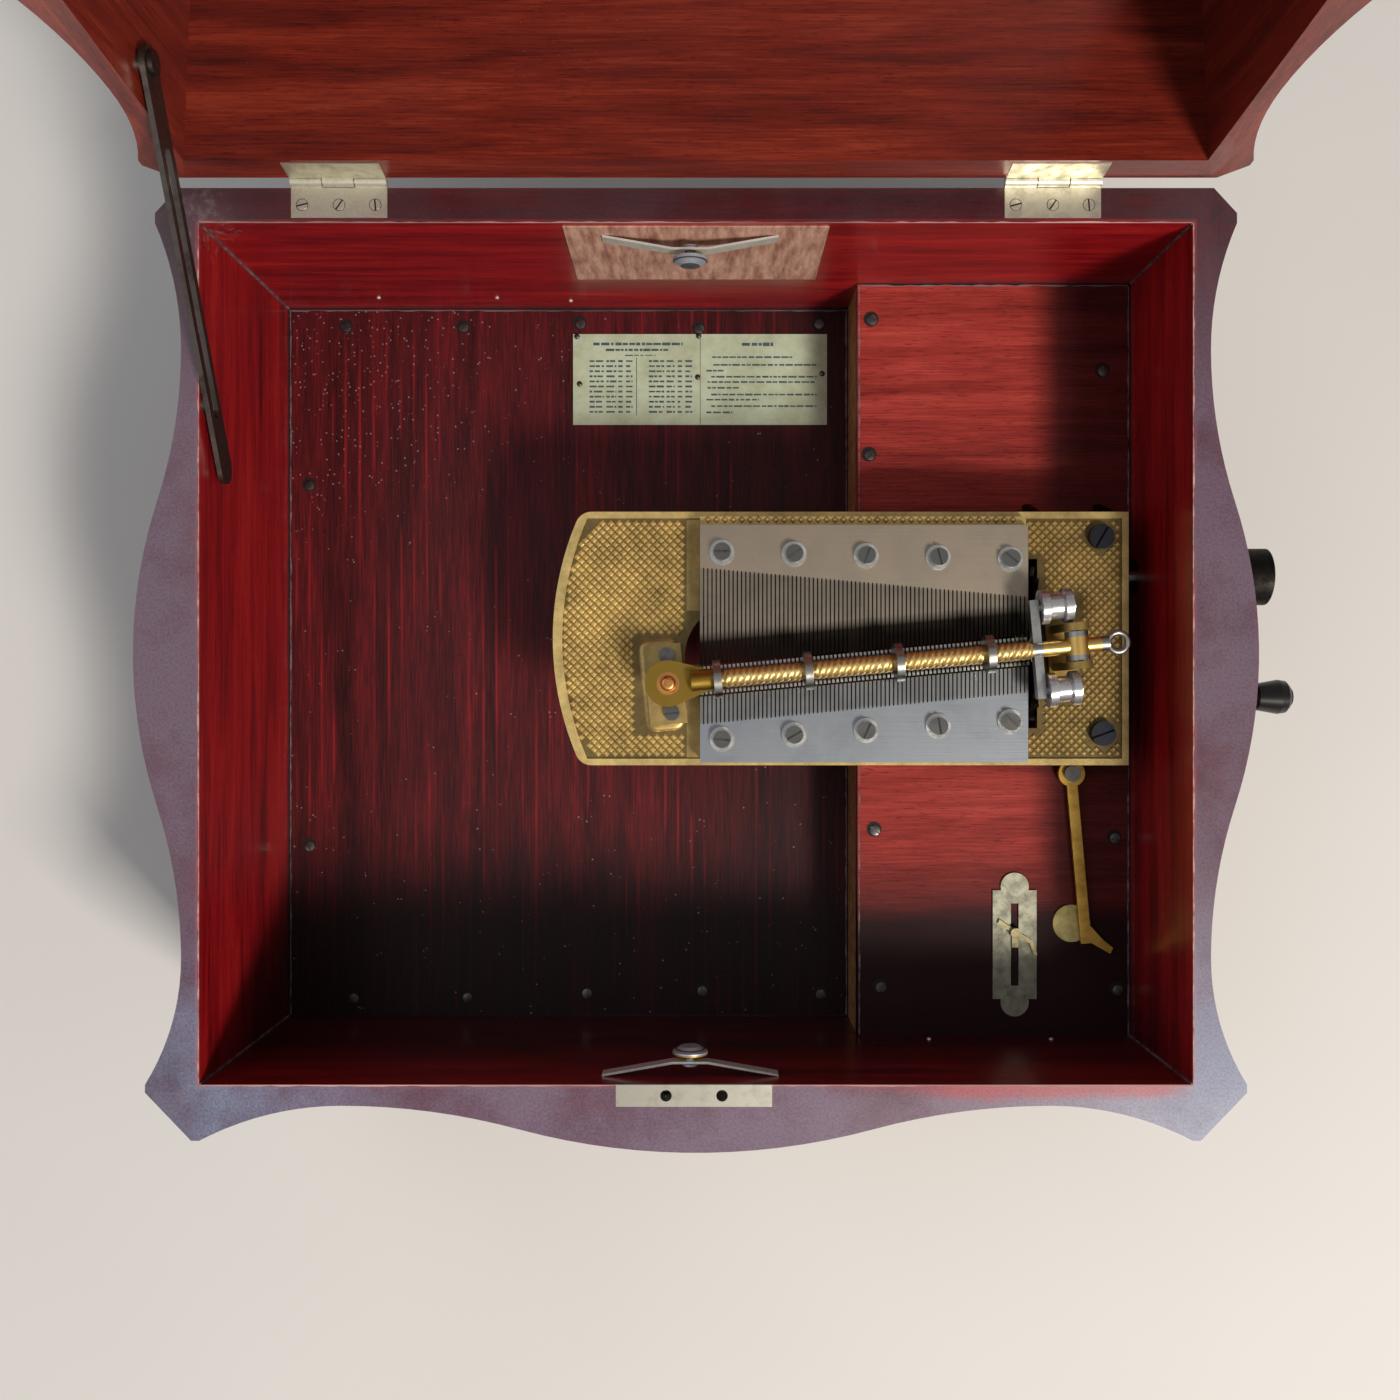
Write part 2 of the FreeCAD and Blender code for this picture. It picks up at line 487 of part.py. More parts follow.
def sketch(body, name, outline=(), circles=(), role="XY_Plane", offset="0", turn="0"):
    """A fully dimensioned sketch on one of the body's own origin planes.

    outline is a closed list of (x, y) corners, or (x, y, radius, side) where the next edge is an arc.
    circles is a list of (x, y, radius).
    """
    make = body.newObject if body else doc.addObject
    drawing = make("Sketcher::SketchObject", name)
    if body:
        drawing.AttachmentSupport = [(origin_part(body, role), "")]
        drawing.MapMode = "FlatFace"
        if offset != "0":
            bind(drawing, AttachmentOffset__Base__z=offset)
        if turn != "0":
            drawing.AttachmentOffset = Placement(Vector(0, 0, val(offset)), Rotation(Vector(0, 0, 1), 1))
            bind(drawing, AttachmentOffset__Rotation__Angle=turn)
    corners = [Vector(val(c[0]), val(c[1]), 0) for c in outline]
    following = corners[1:] + corners[:1]
    for corner, start, finish in zip(outline, corners, following):
        if len(corner) == 2:
            drawing.addGeometry(Part.LineSegment(start, finish))
        else:
            drawing.addGeometry(arc_through(start, finish, val(corner[2]), corner[3]))
    ends = []
    for index, start in enumerate(corners):
        forward = (drawing.Geometry[index].StartPoint - start).Length < 1e-6
        ends.append((1, 2) if forward else (2, 1))

    constraints, sizes = [], {}

    def dimension(kind, *where, size):
        sizes[len(constraints)] = size
        constraints.append(Sketcher.Constraint(kind, *where, val(size)))

    for index, corner in enumerate(outline):
        after = (index + 1) % len(outline)
        constraints.append(Sketcher.Constraint("Coincident", index, ends[index][1], after, ends[after][0]))
        dimension("DistanceX", -1, 1, index, ends[index][0], size=corner[0])
        dimension("DistanceY", -1, 1, index, ends[index][0], size=corner[1])
        if len(corner) > 2:
            half_round = abs((corners[after] - corners[index]).Length - 2 * val(corner[2])) < 1e-6
            if half_round:
                dimension("DistanceX", -1, 1, index, 3, size=corner[0])
            else:
                dimension("Radius", index, size=corner[2])
    for x, y, radius in circles:
        number = drawing.addGeometry(Part.Circle(Vector(val(x), val(y), 0), Vector(0, 0, 1), val(radius)))
        dimension("DistanceX", -1, 1, number, 3, size=x)
        dimension("DistanceY", -1, 1, number, 3, size=y)
        dimension("Radius", number, size=radius)
    drawing.addConstraint(constraints)
    for number, size in sizes.items():
        drawing.setExpression(f"Constraints[{number}]", bound(size))
    return drawing


def pad(body, name, profile, length, backwards=False):
    feature = body.newObject("PartDesign::Pad", name)
    feature.Profile = profile
    feature.Reversed = backwards
    return bind(feature, Length=length)


def pocket(body, name, profile, depth=None, backwards=False):
    """Cuts away from the sketch's normal, or right through where no depth is given."""
    feature = body.newObject("PartDesign::Pocket", name)
    feature.Profile = profile
    if depth is None:
        feature.Type = "ThroughAll"
        feature.Midplane = True
    else:
        feature.Reversed = backwards
        bind(feature, Length=depth)
    return feature


def revolve(body, name, profile, axis):
    feature = body.newObject("PartDesign::Revolution", name)
    feature.Profile = profile
    feature.ReferenceAxis = (origin_part(body, axis), [""])
    feature.Angle = 360
    return feature


def rectangle(x0, y0, x1, y1):
    return [(x0, y0), (x1, y0), (x1, y1), (x0, y1)]


def box(name, x0, x1, y0, y1, z0, z1):
    """A block between two opposite corners, given as expressions."""
    block = doc.addObject("Part::Box", name)
    bind(block, Length=f"({x1}) - ({x0})", Width=f"({y1}) - ({y0})", Height=f"({z1}) - ({z0})")
    return bind(block, Placement__Base__x=x0, Placement__Base__y=y0, Placement__Base__z=z0)


TURNS = {"X": Rotation(Vector(0, 1, 0), 90), "Y": Rotation(Vector(1, 0, 0), -90), "Z": Rotation()}


def rod(name, axis, x, y, z, radius, length):
    """A cylinder that starts at a point and runs along +X, +Y or +Z."""
    cylinder = doc.addObject("Part::Cylinder", name)
    cylinder.Placement = Placement(Vector(), TURNS[axis])
    bind(cylinder, Radius=radius, Height=length)
    return bind(cylinder, Placement__Base__x=x, Placement__Base__y=y, Placement__Base__z=z)


def fuse(name, *shapes):
    joined = doc.addObject("Part::MultiFuse", name)
    joined.Shapes = list(shapes)
    return joined


def group(name, *shapes):
    """Separate solids that share one name."""
    together = doc.addObject("Part::Compound", name)
    together.Links = list(shapes)
    return together


def cut(name, base, *tools):
    remainder = doc.addObject("Part::Cut", name)
    remainder.Base = base
    remainder.Tool = tools[0] if len(tools) == 1 else fuse(name + "_tools", *tools)
    return remainder


def place(item, x, y, z, axis=None, angle=None):
    """Moves an object to a point, turned about an axis through it."""
    if angle is not None:
        item.Placement = Placement(Vector(), Rotation(axis, 1))
        bind(item, Placement__Rotation__Angle=angle)
    return bind(item, Placement__Base__x=x, Placement__Base__y=y, Placement__Base__z=z)


X_AXIS, Z_AXIS = Vector(1, 0, 0), Vector(0, 0, 1)

# ---------------------------------------------------------------------------------------------------
# Case: four walls between corner posts, on a base moulding
# ---------------------------------------------------------------------------------------------------
HALF_WIDTH = "inner_width / 2"
HALF_DEPTH = "inner_depth / 2"


def serpentine(half, crest, valley, valley_at, first, last):
    """The outer edge of a bulging wall, from one end to the other, as (along, out) corners with arcs."""
    bend = f"((({valley_at}) / 2)^2 + (({crest}) - ({valley}))^2 / 4) / (({crest}) - ({valley}))"
    middle = f"(({crest}) + ({valley})) / 2"

    def flare(depth):
        run, rise = f"(({half}) - ({valley_at}))", f"(({depth}) - ({valley}))"
        return f"({run}^2 + {rise}^2) / (2 * {rise})"

    return [
        (f"-({half})", first, flare(first), 1),
        (f"-({valley_at})", valley, bend, 1),
        (f"-({valley_at}) / 2", middle, bend, -1),
        (f"({valley_at}) / 2", middle, bend, 1),
        (valley_at, valley, flare(last), 1),
        (half, last),
    ]


def front_edge(grow="0"):
    crest, valley, flare = (f"{name} + ({grow})" for name in ("front_crest", "front_valley", "front_flare"))
    return serpentine(HALF_WIDTH, crest, valley, "front_valley_at", flare, flare)


def side_edge(first, last, grow="0"):
    crest, valley = (f"{name} + ({grow})" for name in ("side_crest", "side_valley"))
    flares = [f"side_flare_{end} + ({grow})" for end in (first, last)]
    return serpentine(HALF_DEPTH, crest, valley, "side_valley_at", *flares)


def back_edge(grow="0"):
    depth = f"back_thickness + ({grow})"
    return [(f"-({HALF_WIDTH})", depth), (HALF_WIDTH, depth)]


# Each side of the case: its outer edge, half its length, the quarter turns that bring it into place.
SIDES = {
    "front": (front_edge(), HALF_WIDTH, HALF_DEPTH, 180),
    "back": (back_edge(), HALF_WIDTH, HALF_DEPTH, 0),
    "left": (side_edge("front", "back"), HALF_DEPTH, HALF_WIDTH, 90),
    "right": (side_edge("back", "front"), HALF_DEPTH, HALF_WIDTH, -90),
}


def wall(label, side, bottom, height):
    """One wall, or one rail of the lid, with a straight inner face."""
    edge, half, distance, angle = SIDES[side]
    body = new_body(label)
    outline = [(f"-({half})", "0")] + edge + [(half, "0")]
    pad(body, label + "_pad", sketch(body, label + "_plan", outline), height)
    away = Rotation(Z_AXIS, angle).multVec(Vector(0, val(distance), 0))
    body.Placement = Placement(Vector(away.x, away.y, val(bottom)), Rotation(Z_AXIS, angle))
    return body


def turned(edge, side):
    """A side's outer edge in the case's own frame."""
    distance = SIDES[side][2]
    moves = {
        "front": lambda x, y: (f"-({x})", f"-({distance}) - ({y})"),
        "back": lambda x, y: (x, f"({distance}) + ({y})"),
        "left": lambda x, y: (f"-({distance}) - ({y})", x),
        "right": lambda x, y: (f"({distance}) + ({y})", f"-({x})"),
    }
    return [moves[side](*corner[:2]) + tuple(corner[2:]) for corner in edge]


def cants(grow="0"):
    """The two canted corners on the right, back then front; the left ones are their mirror."""
    beside = f"({grow}) * tan(22.5)"
    back = [
        (f"{HALF_WIDTH} + back_post_reach + {beside}", f"{HALF_DEPTH} + back_thickness + ({grow})"),
        (f"{HALF_WIDTH} + side_flare_back + ({grow})", f"{HALF_DEPTH} + back_post_drop + {beside}"),
    ]
    front = [
        (f"{HALF_WIDTH} + side_flare_front + ({grow})", f"-({HALF_DEPTH}) - post_land - {beside}"),
        (f"{HALF_WIDTH} + post_land + {beside}", f"-({HALF_DEPTH}) - front_flare - ({grow})"),
    ]
    return back, front


BACK_CANT, FRONT_CANT = cants()
POST_BACK = [(HALF_WIDTH, f"{HALF_DEPTH} + back_thickness")] + BACK_CANT
POST_BACK += [(f"{HALF_WIDTH} + side_flare_back", HALF_DEPTH), (HALF_WIDTH, HALF_DEPTH)]
POST_FRONT = [(HALF_WIDTH, f"-({HALF_DEPTH})"), (f"{HALF_WIDTH} + side_flare_front", f"-({HALF_DEPTH})")]
POST_FRONT += FRONT_CANT + [(HALF_WIDTH, f"-({HALF_DEPTH}) - front_flare")]


def mirrored(outline):
    return [(f"-({x})", y) for x, y in reversed(outline)]


def posts(label, bottom, height):
    """The four corner posts of the case or the lid."""
    solids = []
    for number, outline in enumerate((POST_FRONT, POST_BACK, mirrored(POST_FRONT), mirrored(POST_BACK))):
        body = new_body(f"{label}_{number}")
        pad(body, f"{label}_pad_{number}", sketch(body, f"{label}_plan_{number}", outline), height)
        bind(body, Placement__Base__z=bottom)
        solids.append(body)
    return group(label, *solids)


def whole_plan(name, grow, level):
    """The outline of the whole case, set out by an amount, clockwise from its back left corner."""
    back_cant, front_cant = cants(grow)
    outline = turned(back_edge(grow), "back") + back_cant
    outline += turned(side_edge("back", "front", grow), "right") + front_cant
    outline += turned(front_edge(grow), "front") + mirrored(front_cant)
    outline += turned(side_edge("front", "back", grow), "left") + mirrored(back_cant)
    return bind(sketch(None, name, outline), Placement__Base__z=level)


def extrusion(name, plan, height):
    prism = doc.addObject("Part::Extrusion", name)
    prism.Base = plan
    prism.Dir = Z_AXIS
    prism.DirMode = "Custom"
    prism.Solid = True
    return bind(prism, LengthFwd=height)


def slab(name, overhang, bottom, thickness, bevel):
    """A board or moulding that follows the case's plan, set out by an overhang and sloped on top."""
    shoulder = f"({bottom}) + ({thickness}) - ({bevel})"
    lower = extrusion(name + "_board", whole_plan(name + "_plan", overhang, bottom), f"({thickness}) - ({bevel})")
    slope = doc.addObject("Part::Loft", name + "_slope")
    slope.Sections = [
        whole_plan(name + "_shoulder", overhang, shoulder),
        whole_plan(name + "_crown", f"({overhang}) - ({bevel})", f"({bottom}) + ({thickness})"),
    ]
    slope.Solid = True
    slope.Ruled = True
    return fuse(name + "_whole", lower, slope)


# back wall with the two hinge recesses
HINGE_LEAF_TOP = "rim_level + lid_gap / 2 - free_clearance / 2"
HINGE_SIDES = {"left": "-hinge_at", "right": "hinge_at"}


def hinge_recess(name, middle, bottom, top):
    start = f"({middle}) - hinge_width / 2"
    back = f"{HALF_DEPTH} + back_thickness + free_clearance"
    return box(name, start, f"({middle}) + hinge_width / 2", "hinge_leaf_front", back, bottom, top)


back_tools = [
    hinge_recess(f"case_recess_{side}", middle, f"{HINGE_LEAF_TOP} - hinge_leaf", "rim_level + lid_gap")
    for side, middle in HINGE_SIDES.items()
]
piece(cut("back_wall_cut", wall("back_board", "back", "0", "rim_level"), *back_tools), "back_wall")

# front wall with the mortise of the lock and its keyhole
PRONG_AT = ["lock_at - prong_pitch / 2", "lock_at + prong_pitch / 2"]
BODY_LEFT, BODY_RIGHT = f"{PRONG_AT[0]} - lock_case_end", f"{PRONG_AT[1]} + lock_case_end"
LOCK_LEFT, LOCK_RIGHT = f"{BODY_LEFT} - lock_lip", f"{BODY_RIGHT} + lock_lip"
LOCK_BACK = f"-({HALF_DEPTH})"
LOCK_FRONT = f"-({HALF_DEPTH}) - lock_depth"
BODY_BACK, BODY_FRONT = f"{LOCK_BACK} - lock_step", f"{LOCK_FRONT} + lock_step"
LOCK_PLATE = (LOCK_LEFT, LOCK_RIGHT, LOCK_FRONT, LOCK_BACK, "rim_level - lock_plate_thickness", "rim_level")
KEY_LEVEL = "rim_level - key_drop"
front_tools = [
    box("plate_mortise", *LOCK_PLATE),
    box("lock_mortise", BODY_LEFT, BODY_RIGHT, BODY_FRONT, BODY_BACK, "rim_level - lock_case_height", "rim_level"),
    rod("keyhole", "Y", "lock_at", f"{LOCK_FRONT} - front_crest", KEY_LEVEL, "key_radius", "front_crest + 1"),
]
piece(cut("front_wall_cut", wall("front_board", "front", "0", "rim_level"), *front_tools), "front_wall")

# left wall with the seat of the stay pin
WALL_SEAT = f"-({HALF_WIDTH}) - stud_seat"
pin_seat = rod("pin_seat", "X", WALL_SEAT, "stay_pin_depth", "stay_pin_level", "stud_radius", "stud_seat")
piece(cut("left_wall_cut", wall("left_board", "left", "0", "rim_level"), pin_seat), "left_wall")

# right wall with the hole and spot-face of the crank bush
FLANGE_BACK = "bush_face - bush_flange_thickness"
right_tools = [
    rod("bush_hole", "X", HALF_WIDTH, "winding_y", "winding_z", "bush_radius", "side_crest"),
    rod("spot_face", "X", FLANGE_BACK, "winding_y", "winding_z", "bush_flange + free_clearance", "side_crest"),
]
piece(cut("right_wall_cut", wall("right_board", "right", "0", "rim_level"), *right_tools), "right_wall")
piece(posts("corner_posts", "0", "rim_level"), "corner_posts")

moulding_core = extrusion("moulding_core", whole_plan("case_plan", "0", "0"), "plinth_height")
piece(
    cut("moulding_cut", slab("plinth", "plinth_overhang", "0", "plinth_height", "plinth_bevel"), moulding_core),
    "base_moulding",
)

INSIDE = (f"-({HALF_WIDTH})", HALF_WIDTH, f"-({HALF_DEPTH})", HALF_DEPTH)
piece(box("bottom", *INSIDE, "0", "bottom_thickness"), "bottom_board")

# soundboard, deck, and what carries them
piece(
    box(
        "soundboard_panel", INSIDE[0], "riser_at", INSIDE[2], INSIDE[3],
        "soundboard_level - soundboard_thickness", "soundboard_level",
    ),
    "soundboard",
)
DECK_UNDER = "deck_level - deck_thickness"
deck_panel = box("deck_panel", "riser_at", INSIDE[1], INSIDE[2], INSIDE[3], DECK_UNDER, "deck_level")
motor_well = box("motor_well", "well_left", "well_right", "well_front", "well_back", DECK_UNDER, "deck_level")
pivot_tap = rod("pivot_tap", "Z", "lever_x", "lever_y", "deck_level - pivot_depth", "screw_radius", "pivot_depth")
piece(cut("deck_cut", deck_panel, motor_well, pivot_tap), "motor_deck")
riser = box(
    "riser_board", "riser_at", "riser_at + riser_thickness", INSIDE[2], INSIDE[3], "bottom_thickness", DECK_UNDER
)


def cleats(prefix, left, right, top, ends):
    """Strips along the front and back walls and one end, under a board."""
    bottom = f"({top}) - cleat_height"
    inner_front, inner_back = f"{INSIDE[2]} + cleat_width", f"{INSIDE[3]} - cleat_width"
    return [
        box(prefix + "_front", left, right, INSIDE[2], inner_front, bottom, top),
        box(prefix + "_back", left, right, inner_back, INSIDE[3], bottom, top),
    ] + [box(f"{prefix}_end_{n}", a, b, inner_front, inner_back, bottom, top) for n, (a, b) in enumerate(ends)]


under_soundboard = cleats(
    "low_cleat", INSIDE[0], "riser_at", "soundboard_level - soundboard_thickness",
    [(INSIDE[0], f"{INSIDE[0]} + cleat_width"), ("riser_at - cleat_width", "riser_at")],
)
under_deck = cleats(
    "high_cleat", "riser_at + riser_thickness", INSIDE[1], DECK_UNDER,
    [(f"{INSIDE[1]} - cleat_width / 2", INSIDE[1])],
)
piece(group("support_set", riser, *under_soundboard, *under_deck), "board_supports")

# cards: two on the soundboard, one on the back wall
card_top = "soundboard_level + paper_thickness"
card_place = ("card_back_edge - card_depth", "card_back_edge", "soundboard_level", card_top)
wall_card_top = "rim_level - wall_card_drop"
cards = [
    box("left_card", "card_middle - card_width", "card_middle", *card_place),
    box("right_card", "card_middle + free_clearance", "card_middle + card_width", *card_place),
    box(
        "wall_card", "-wall_card_width / 2", "wall_card_width / 2", f"{HALF_DEPTH} - paper_thickness", HALF_DEPTH,
        f"{wall_card_top} - wall_card_height", wall_card_top,
    ),
]
piece(group("card_set", *cards), "paper_cards")

# ---------------------------------------------------------------------------------------------------
# Sprung buffers: a bowed leaf on the front and back walls with a round button on its crown
# ---------------------------------------------------------------------------------------------------
def bow_spring(name, foot):
    """A bowed leaf, drawn from its feet on the wall at y = 0 to a flat crown at y = -rise."""
    body = new_body(name)
    half, crown, leaf = "buffer_span / 2", "button_radius", "buffer_leaf"
    outline = [
        (f"-({half})", "0"),
        (f"-({crown})", f"-buffer_rise + {leaf}"),
        (crown, f"-buffer_rise + {leaf}"),
        (half, "0"),
        (half, f"-({leaf})"),
        (crown, "-buffer_rise"),
        (f"-({crown})", "-buffer_rise"),
        (f"-({half})", f"-({leaf})"),
    ]
    pad(body, name + "_leaf", sketch(body, name + "_plan", outline), "buffer_leaf_width")
    hole = sketch(
        body, name + "_eye", circles=[("0", "buffer_leaf_width / 2", "button_stem_radius + free_clearance")],
        role="XZ_Plane",
    )
    pocket(body, name + "_hole", hole)
    turn = 0 if foot > 0 else 180
    body.Placement = Placement(
        Vector(val("buffer_at"), foot, val("buffer_level - buffer_leaf_width / 2")), Rotation(Z_AXIS, turn)
    )
    return body


back_foot = val(f"{HALF_DEPTH} - paper_thickness")
front_foot = -val(HALF_DEPTH)
piece(group("bow_pair", bow_spring("back_bow", back_foot), bow_spring("front_bow", front_foot)), "buffer_springs")


def buffer_button(label, foot):
    """A domed button whose stem slides through the bow and is riveted over behind it."""
    body = new_body(label)
    rivet_top = "buffer_rise - buffer_leaf - free_clearance"
    rivet_foot = f"{rivet_top} - rivet_height"
    base = "buffer_rise + button_travel + free_clearance"
    top = f"{base} + button_height"
    profile = [
        (rivet_foot, "0"),
        (rivet_foot, "rivet_radius"),
        (rivet_top, "rivet_radius"),
        (rivet_top, "button_stem_radius"),
        (base, "button_stem_radius"),
        (base, "button_radius"),
        (f"{base} + button_edge", "button_radius"),
        (top, "button_radius * 0.55"),
        (top, "0"),
    ]
    revolve(body, label + "_turned", sketch(body, label + "_profile", profile), "X_Axis")
    turn = -90 if foot > 0 else 90
    body.Placement = Placement(Vector(val("buffer_at"), foot, val("buffer_level")), Rotation(Z_AXIS, turn))
    return piece(body, label)


buffer_button("back_buffer_button", back_foot)
buffer_button("front_buffer_button", front_foot)

# ---------------------------------------------------------------------------------------------------
# Lock in the front wall; its bolt slides sideways through the eyes of the lid's two prongs
# ---------------------------------------------------------------------------------------------------
LOCK_MIDDLE = f"({LOCK_BACK} + {LOCK_FRONT}) / 2"
PRONG_BOTTOM = "rim_level + lid_gap - prong_length"
EYE_LEVEL = f"{PRONG_BOTTOM} + prong_half"
BOLT_BOTTOM = f"{EYE_LEVEL} - bolt_depth"
FINGER_TOP = f"{EYE_LEVEL} + free_clearance + finger_height"


def across_lock(half):
    """Both faces of something that lies in the middle of the lock's depth."""
    return f"{LOCK_MIDDLE} - {half}", f"{LOCK_MIDDLE} + {half}"


lock_body = box(
    "lock_block", BODY_LEFT, BODY_RIGHT, BODY_FRONT, BODY_BACK, "rim_level - lock_case_height",
    "rim_level - lock_plate_thickness",
)
bolt_channel = box(
    "bolt_channel", f"{PRONG_AT[0]} - bolt_tail - free_clearance", f"{PRONG_AT[1]} + bolt_throw",
    *across_lock("(bolt_half + free_clearance)"),
    f"{BOLT_BOTTOM} - free_clearance", f"{FINGER_TOP} + free_clearance",
)
prong_holes = [
    rod(f"prong_hole_{n}", "Z", x, LOCK_MIDDLE, BOLT_BOTTOM, "prong_hole_radius", f"rim_level - ({BOLT_BOTTOM})")
    for n, x in enumerate(PRONG_AT)
]
keyway = rod("lock_keyway", "Y", "lock_at", BODY_FRONT, KEY_LEVEL, "key_radius", "lock_depth / 2")
lock_blank = fuse("lock_blank", box("face_plate", *LOCK_PLATE), lock_body)
piece(cut("lock_cut", lock_blank, bolt_channel, keyway, *prong_holes), "lock")

carrier = box(
    "bolt_bar", f"{PRONG_AT[0]} - bolt_tail", f"{PRONG_AT[1]} - finger_reach", *across_lock("bolt_half"),
    BOLT_BOTTOM, f"{BOLT_BOTTOM} + bolt_height",
)
fingers = []
for number, prong in enumerate(PRONG_AT):
    # each hooked finger stands left of its prong and enters the prong's eye when the bolt slides right
    root, tip = f"{prong} - finger_reach - finger_length", f"{prong} - finger_reach"
    fingers.append(
        box(
            f"bolt_arm_{number}", root, f"{root} + finger_stem", *across_lock("bolt_half"),
            BOLT_BOTTOM, FINGER_TOP,
        )
    )
    fingers.append(
        box(
            f"bolt_finger_{number}", root, tip, *across_lock("finger_half"),
            f"{FINGER_TOP} - finger_height", FINGER_TOP,
        )
    )
piece(fuse("bolt_blank", carrier, *fingers), "lock_bolt")

# ---------------------------------------------------------------------------------------------------
# Lid: drawn closed, then turned open about the hinge line
# ---------------------------------------------------------------------------------------------------
HINGE_LEVEL = "rim_level + lid_gap / 2"
LID_BOTTOM = "rim_level + lid_gap"
hinge_point = Vector(0, val("hinge_axis_back"), val(HINGE_LEVEL))
LID_OPEN = Placement(Vector(), Rotation(X_AXIS, -val("lid_open_angle")), hinge_point)


def on_lid(item, label):
    """A piece of the lid, swung to the open position."""
    item.Placement = LID_OPEN.multiply(item.Placement)
    return piece(item, label)


LINK_PLATE = (LOCK_LEFT, LOCK_RIGHT, LOCK_FRONT, LOCK_BACK, LID_BOTTOM, f"{LID_BOTTOM} + lock_plate_thickness")
link_bed = box("link_bed", *LINK_PLATE)
on_lid(cut("lid_front_cut", wall("lid_front", "front", LID_BOTTOM, "lid_depth"), link_bed), "lid_front_rail")
LID_LEAF_BOTTOM = f"{HINGE_LEVEL} + free_clearance / 2"
lid_recesses = [
    hinge_recess(f"lid_recess_{side}", middle, "rim_level", f"{LID_LEAF_BOTTOM} + hinge_leaf")
    for side, middle in HINGE_SIDES.items()
]
on_lid(cut("lid_back_cut", wall("lid_back", "back", LID_BOTTOM, "lid_depth"), *lid_recesses), "lid_back_rail")
STUD_Y, STUD_Z = "hinge_axis_back - stud_from_hinge", f"{HINGE_LEVEL} + stud_depth"
stud_hole = rod("stud_hole", "X", WALL_SEAT, STUD_Y, STUD_Z, "stud_radius", "stud_seat")
left_rail = cut("lid_left_cut", wall("lid_left", "left", LID_BOTTOM, "lid_depth"), stud_hole)
right_rail = wall("lid_right", "right", LID_BOTTOM, "lid_depth")
on_lid(group("lid_sides", left_rail, right_rail, posts("lid_posts", LID_BOTTOM, "lid_depth")), "lid_side_rails")
on_lid(slab("lid_panel", "lid_overhang", f"{LID_BOTTOM} + lid_depth", "lid_top_thickness", "lid_bevel"), "lid_top")

prongs = []
for number, x in enumerate(PRONG_AT):
    sides = (f"{x} - prong_half", f"{x} + prong_half")
    blade = box(f"prong_{number}", *sides, *across_lock("prong_width / 2"), PRONG_BOTTOM, LID_BOTTOM)
    eye = box(f"eye_{number}", *sides, *across_lock("prong_eye_half"), EYE_LEVEL, f"{EYE_LEVEL} + prong_eye")
    prongs.append(cut(f"prong_cut_{number}", blade, eye))
on_lid(fuse("link_blank", box("link_strip", *LINK_PLATE), *prongs), "lid_link_plate")


def hinge_leaves(name, low, middle_knuckle):
    """The leaf of both hinges that lies on the case (low) or in the lid."""
    bottom = f"{HINGE_LEAF_TOP} - hinge_leaf" if low else LID_LEAF_BOTTOM
    top = HINGE_LEAF_TOP if low else f"{LID_LEAF_BOTTOM} + hinge_leaf"
    plate_back = "hinge_axis_back - knuckle_radius - free_clearance"
    third = "hinge_width / 3"
    solids = []
    for side, middle in HINGE_SIDES.items():
        start = f"({middle}) - hinge_width / 2"
        sheet_metal = (start, f"{start} + hinge_width", "hinge_leaf_front", plate_back, bottom, top)
        shapes = [box(f"{name}_plate_{side}", *sheet_metal)]
        for number in [1] if middle_knuckle else [0, 2]:
            x0 = f"{start} + {third} * {number}" + (" + free_clearance" if number else "")
            x1 = f"{start} + {third} * {number + 1}" + (" - free_clearance" if number < 2 else "")
            part = f"{side}_{number}"
            barrel_place = (x0, "hinge_axis_back", HINGE_LEVEL, "knuckle_radius", f"({x1}) - ({x0})")
            shapes.append(box(f"{name}_tab_{part}", x0, x1, plate_back, "hinge_axis_back", bottom, top))
            shapes.append(rod(f"{name}_knuckle_{part}", "X", *barrel_place))
        leaf = fuse(f"{name}_blank_{side}", *shapes)
        if middle_knuckle:
            bore = rod(
                f"{name}_bore_{side}", "X", f"{start} - 1", "hinge_axis_back", HINGE_LEVEL,
                "pin_radius + running_clearance", "hinge_width + 2",
            )
            solids.append(cut(f"{name}_{side}", leaf, bore))
        else:
            pin_place = ("X", start, "hinge_axis_back", HINGE_LEVEL)
            pin = rod(f"{name}_pin_{side}", *pin_place, "pin_radius", "hinge_width")
            solids.append(fuse(f"{name}_{side}", leaf, pin))
    return group(name + "_set", *solids)


piece(hinge_leaves("case_leaf", True, False), "hinge_case_leaves")
on_lid(hinge_leaves("lid_leaf", False, True), "hinge_lid_leaves")

# stay: a slotted arm that turns on a stud in the lid and slides past a pin in the case
WASHER = f"stay_at - stay_thickness - free_clearance + {HALF_WIDTH}"
STUD_LENGTH = f"stud_seat + {HALF_WIDTH} + stay_at + free_clearance + stud_head_height / 2"
stud = fuse(
    "stud_blank",
    rod("stud_shank", "X", WALL_SEAT, STUD_Y, STUD_Z, "stud_radius", STUD_LENGTH),
    rod("stud_washer", "X", f"-({HALF_WIDTH})", STUD_Y, STUD_Z, "stud_head_radius", WASHER),
    rod("stud_head", "X", "stay_at + free_clearance", STUD_Y, STUD_Z, "stud_head_radius", "stud_head_height"),
)
on_lid(stud, "stay_stud")
PIN_PLACE = ("stay_pin_depth", "stay_pin_level")
case_pin = fuse(
    "pin_blank",
    rod("pin_shank", "X", WALL_SEAT, *PIN_PLACE, "stud_radius", "stud_seat"),
    rod("pin_collar", "X", f"-({HALF_WIDTH})", *PIN_PLACE, "stud_head_radius", WASHER),
)
piece(case_pin, "stay_pin")


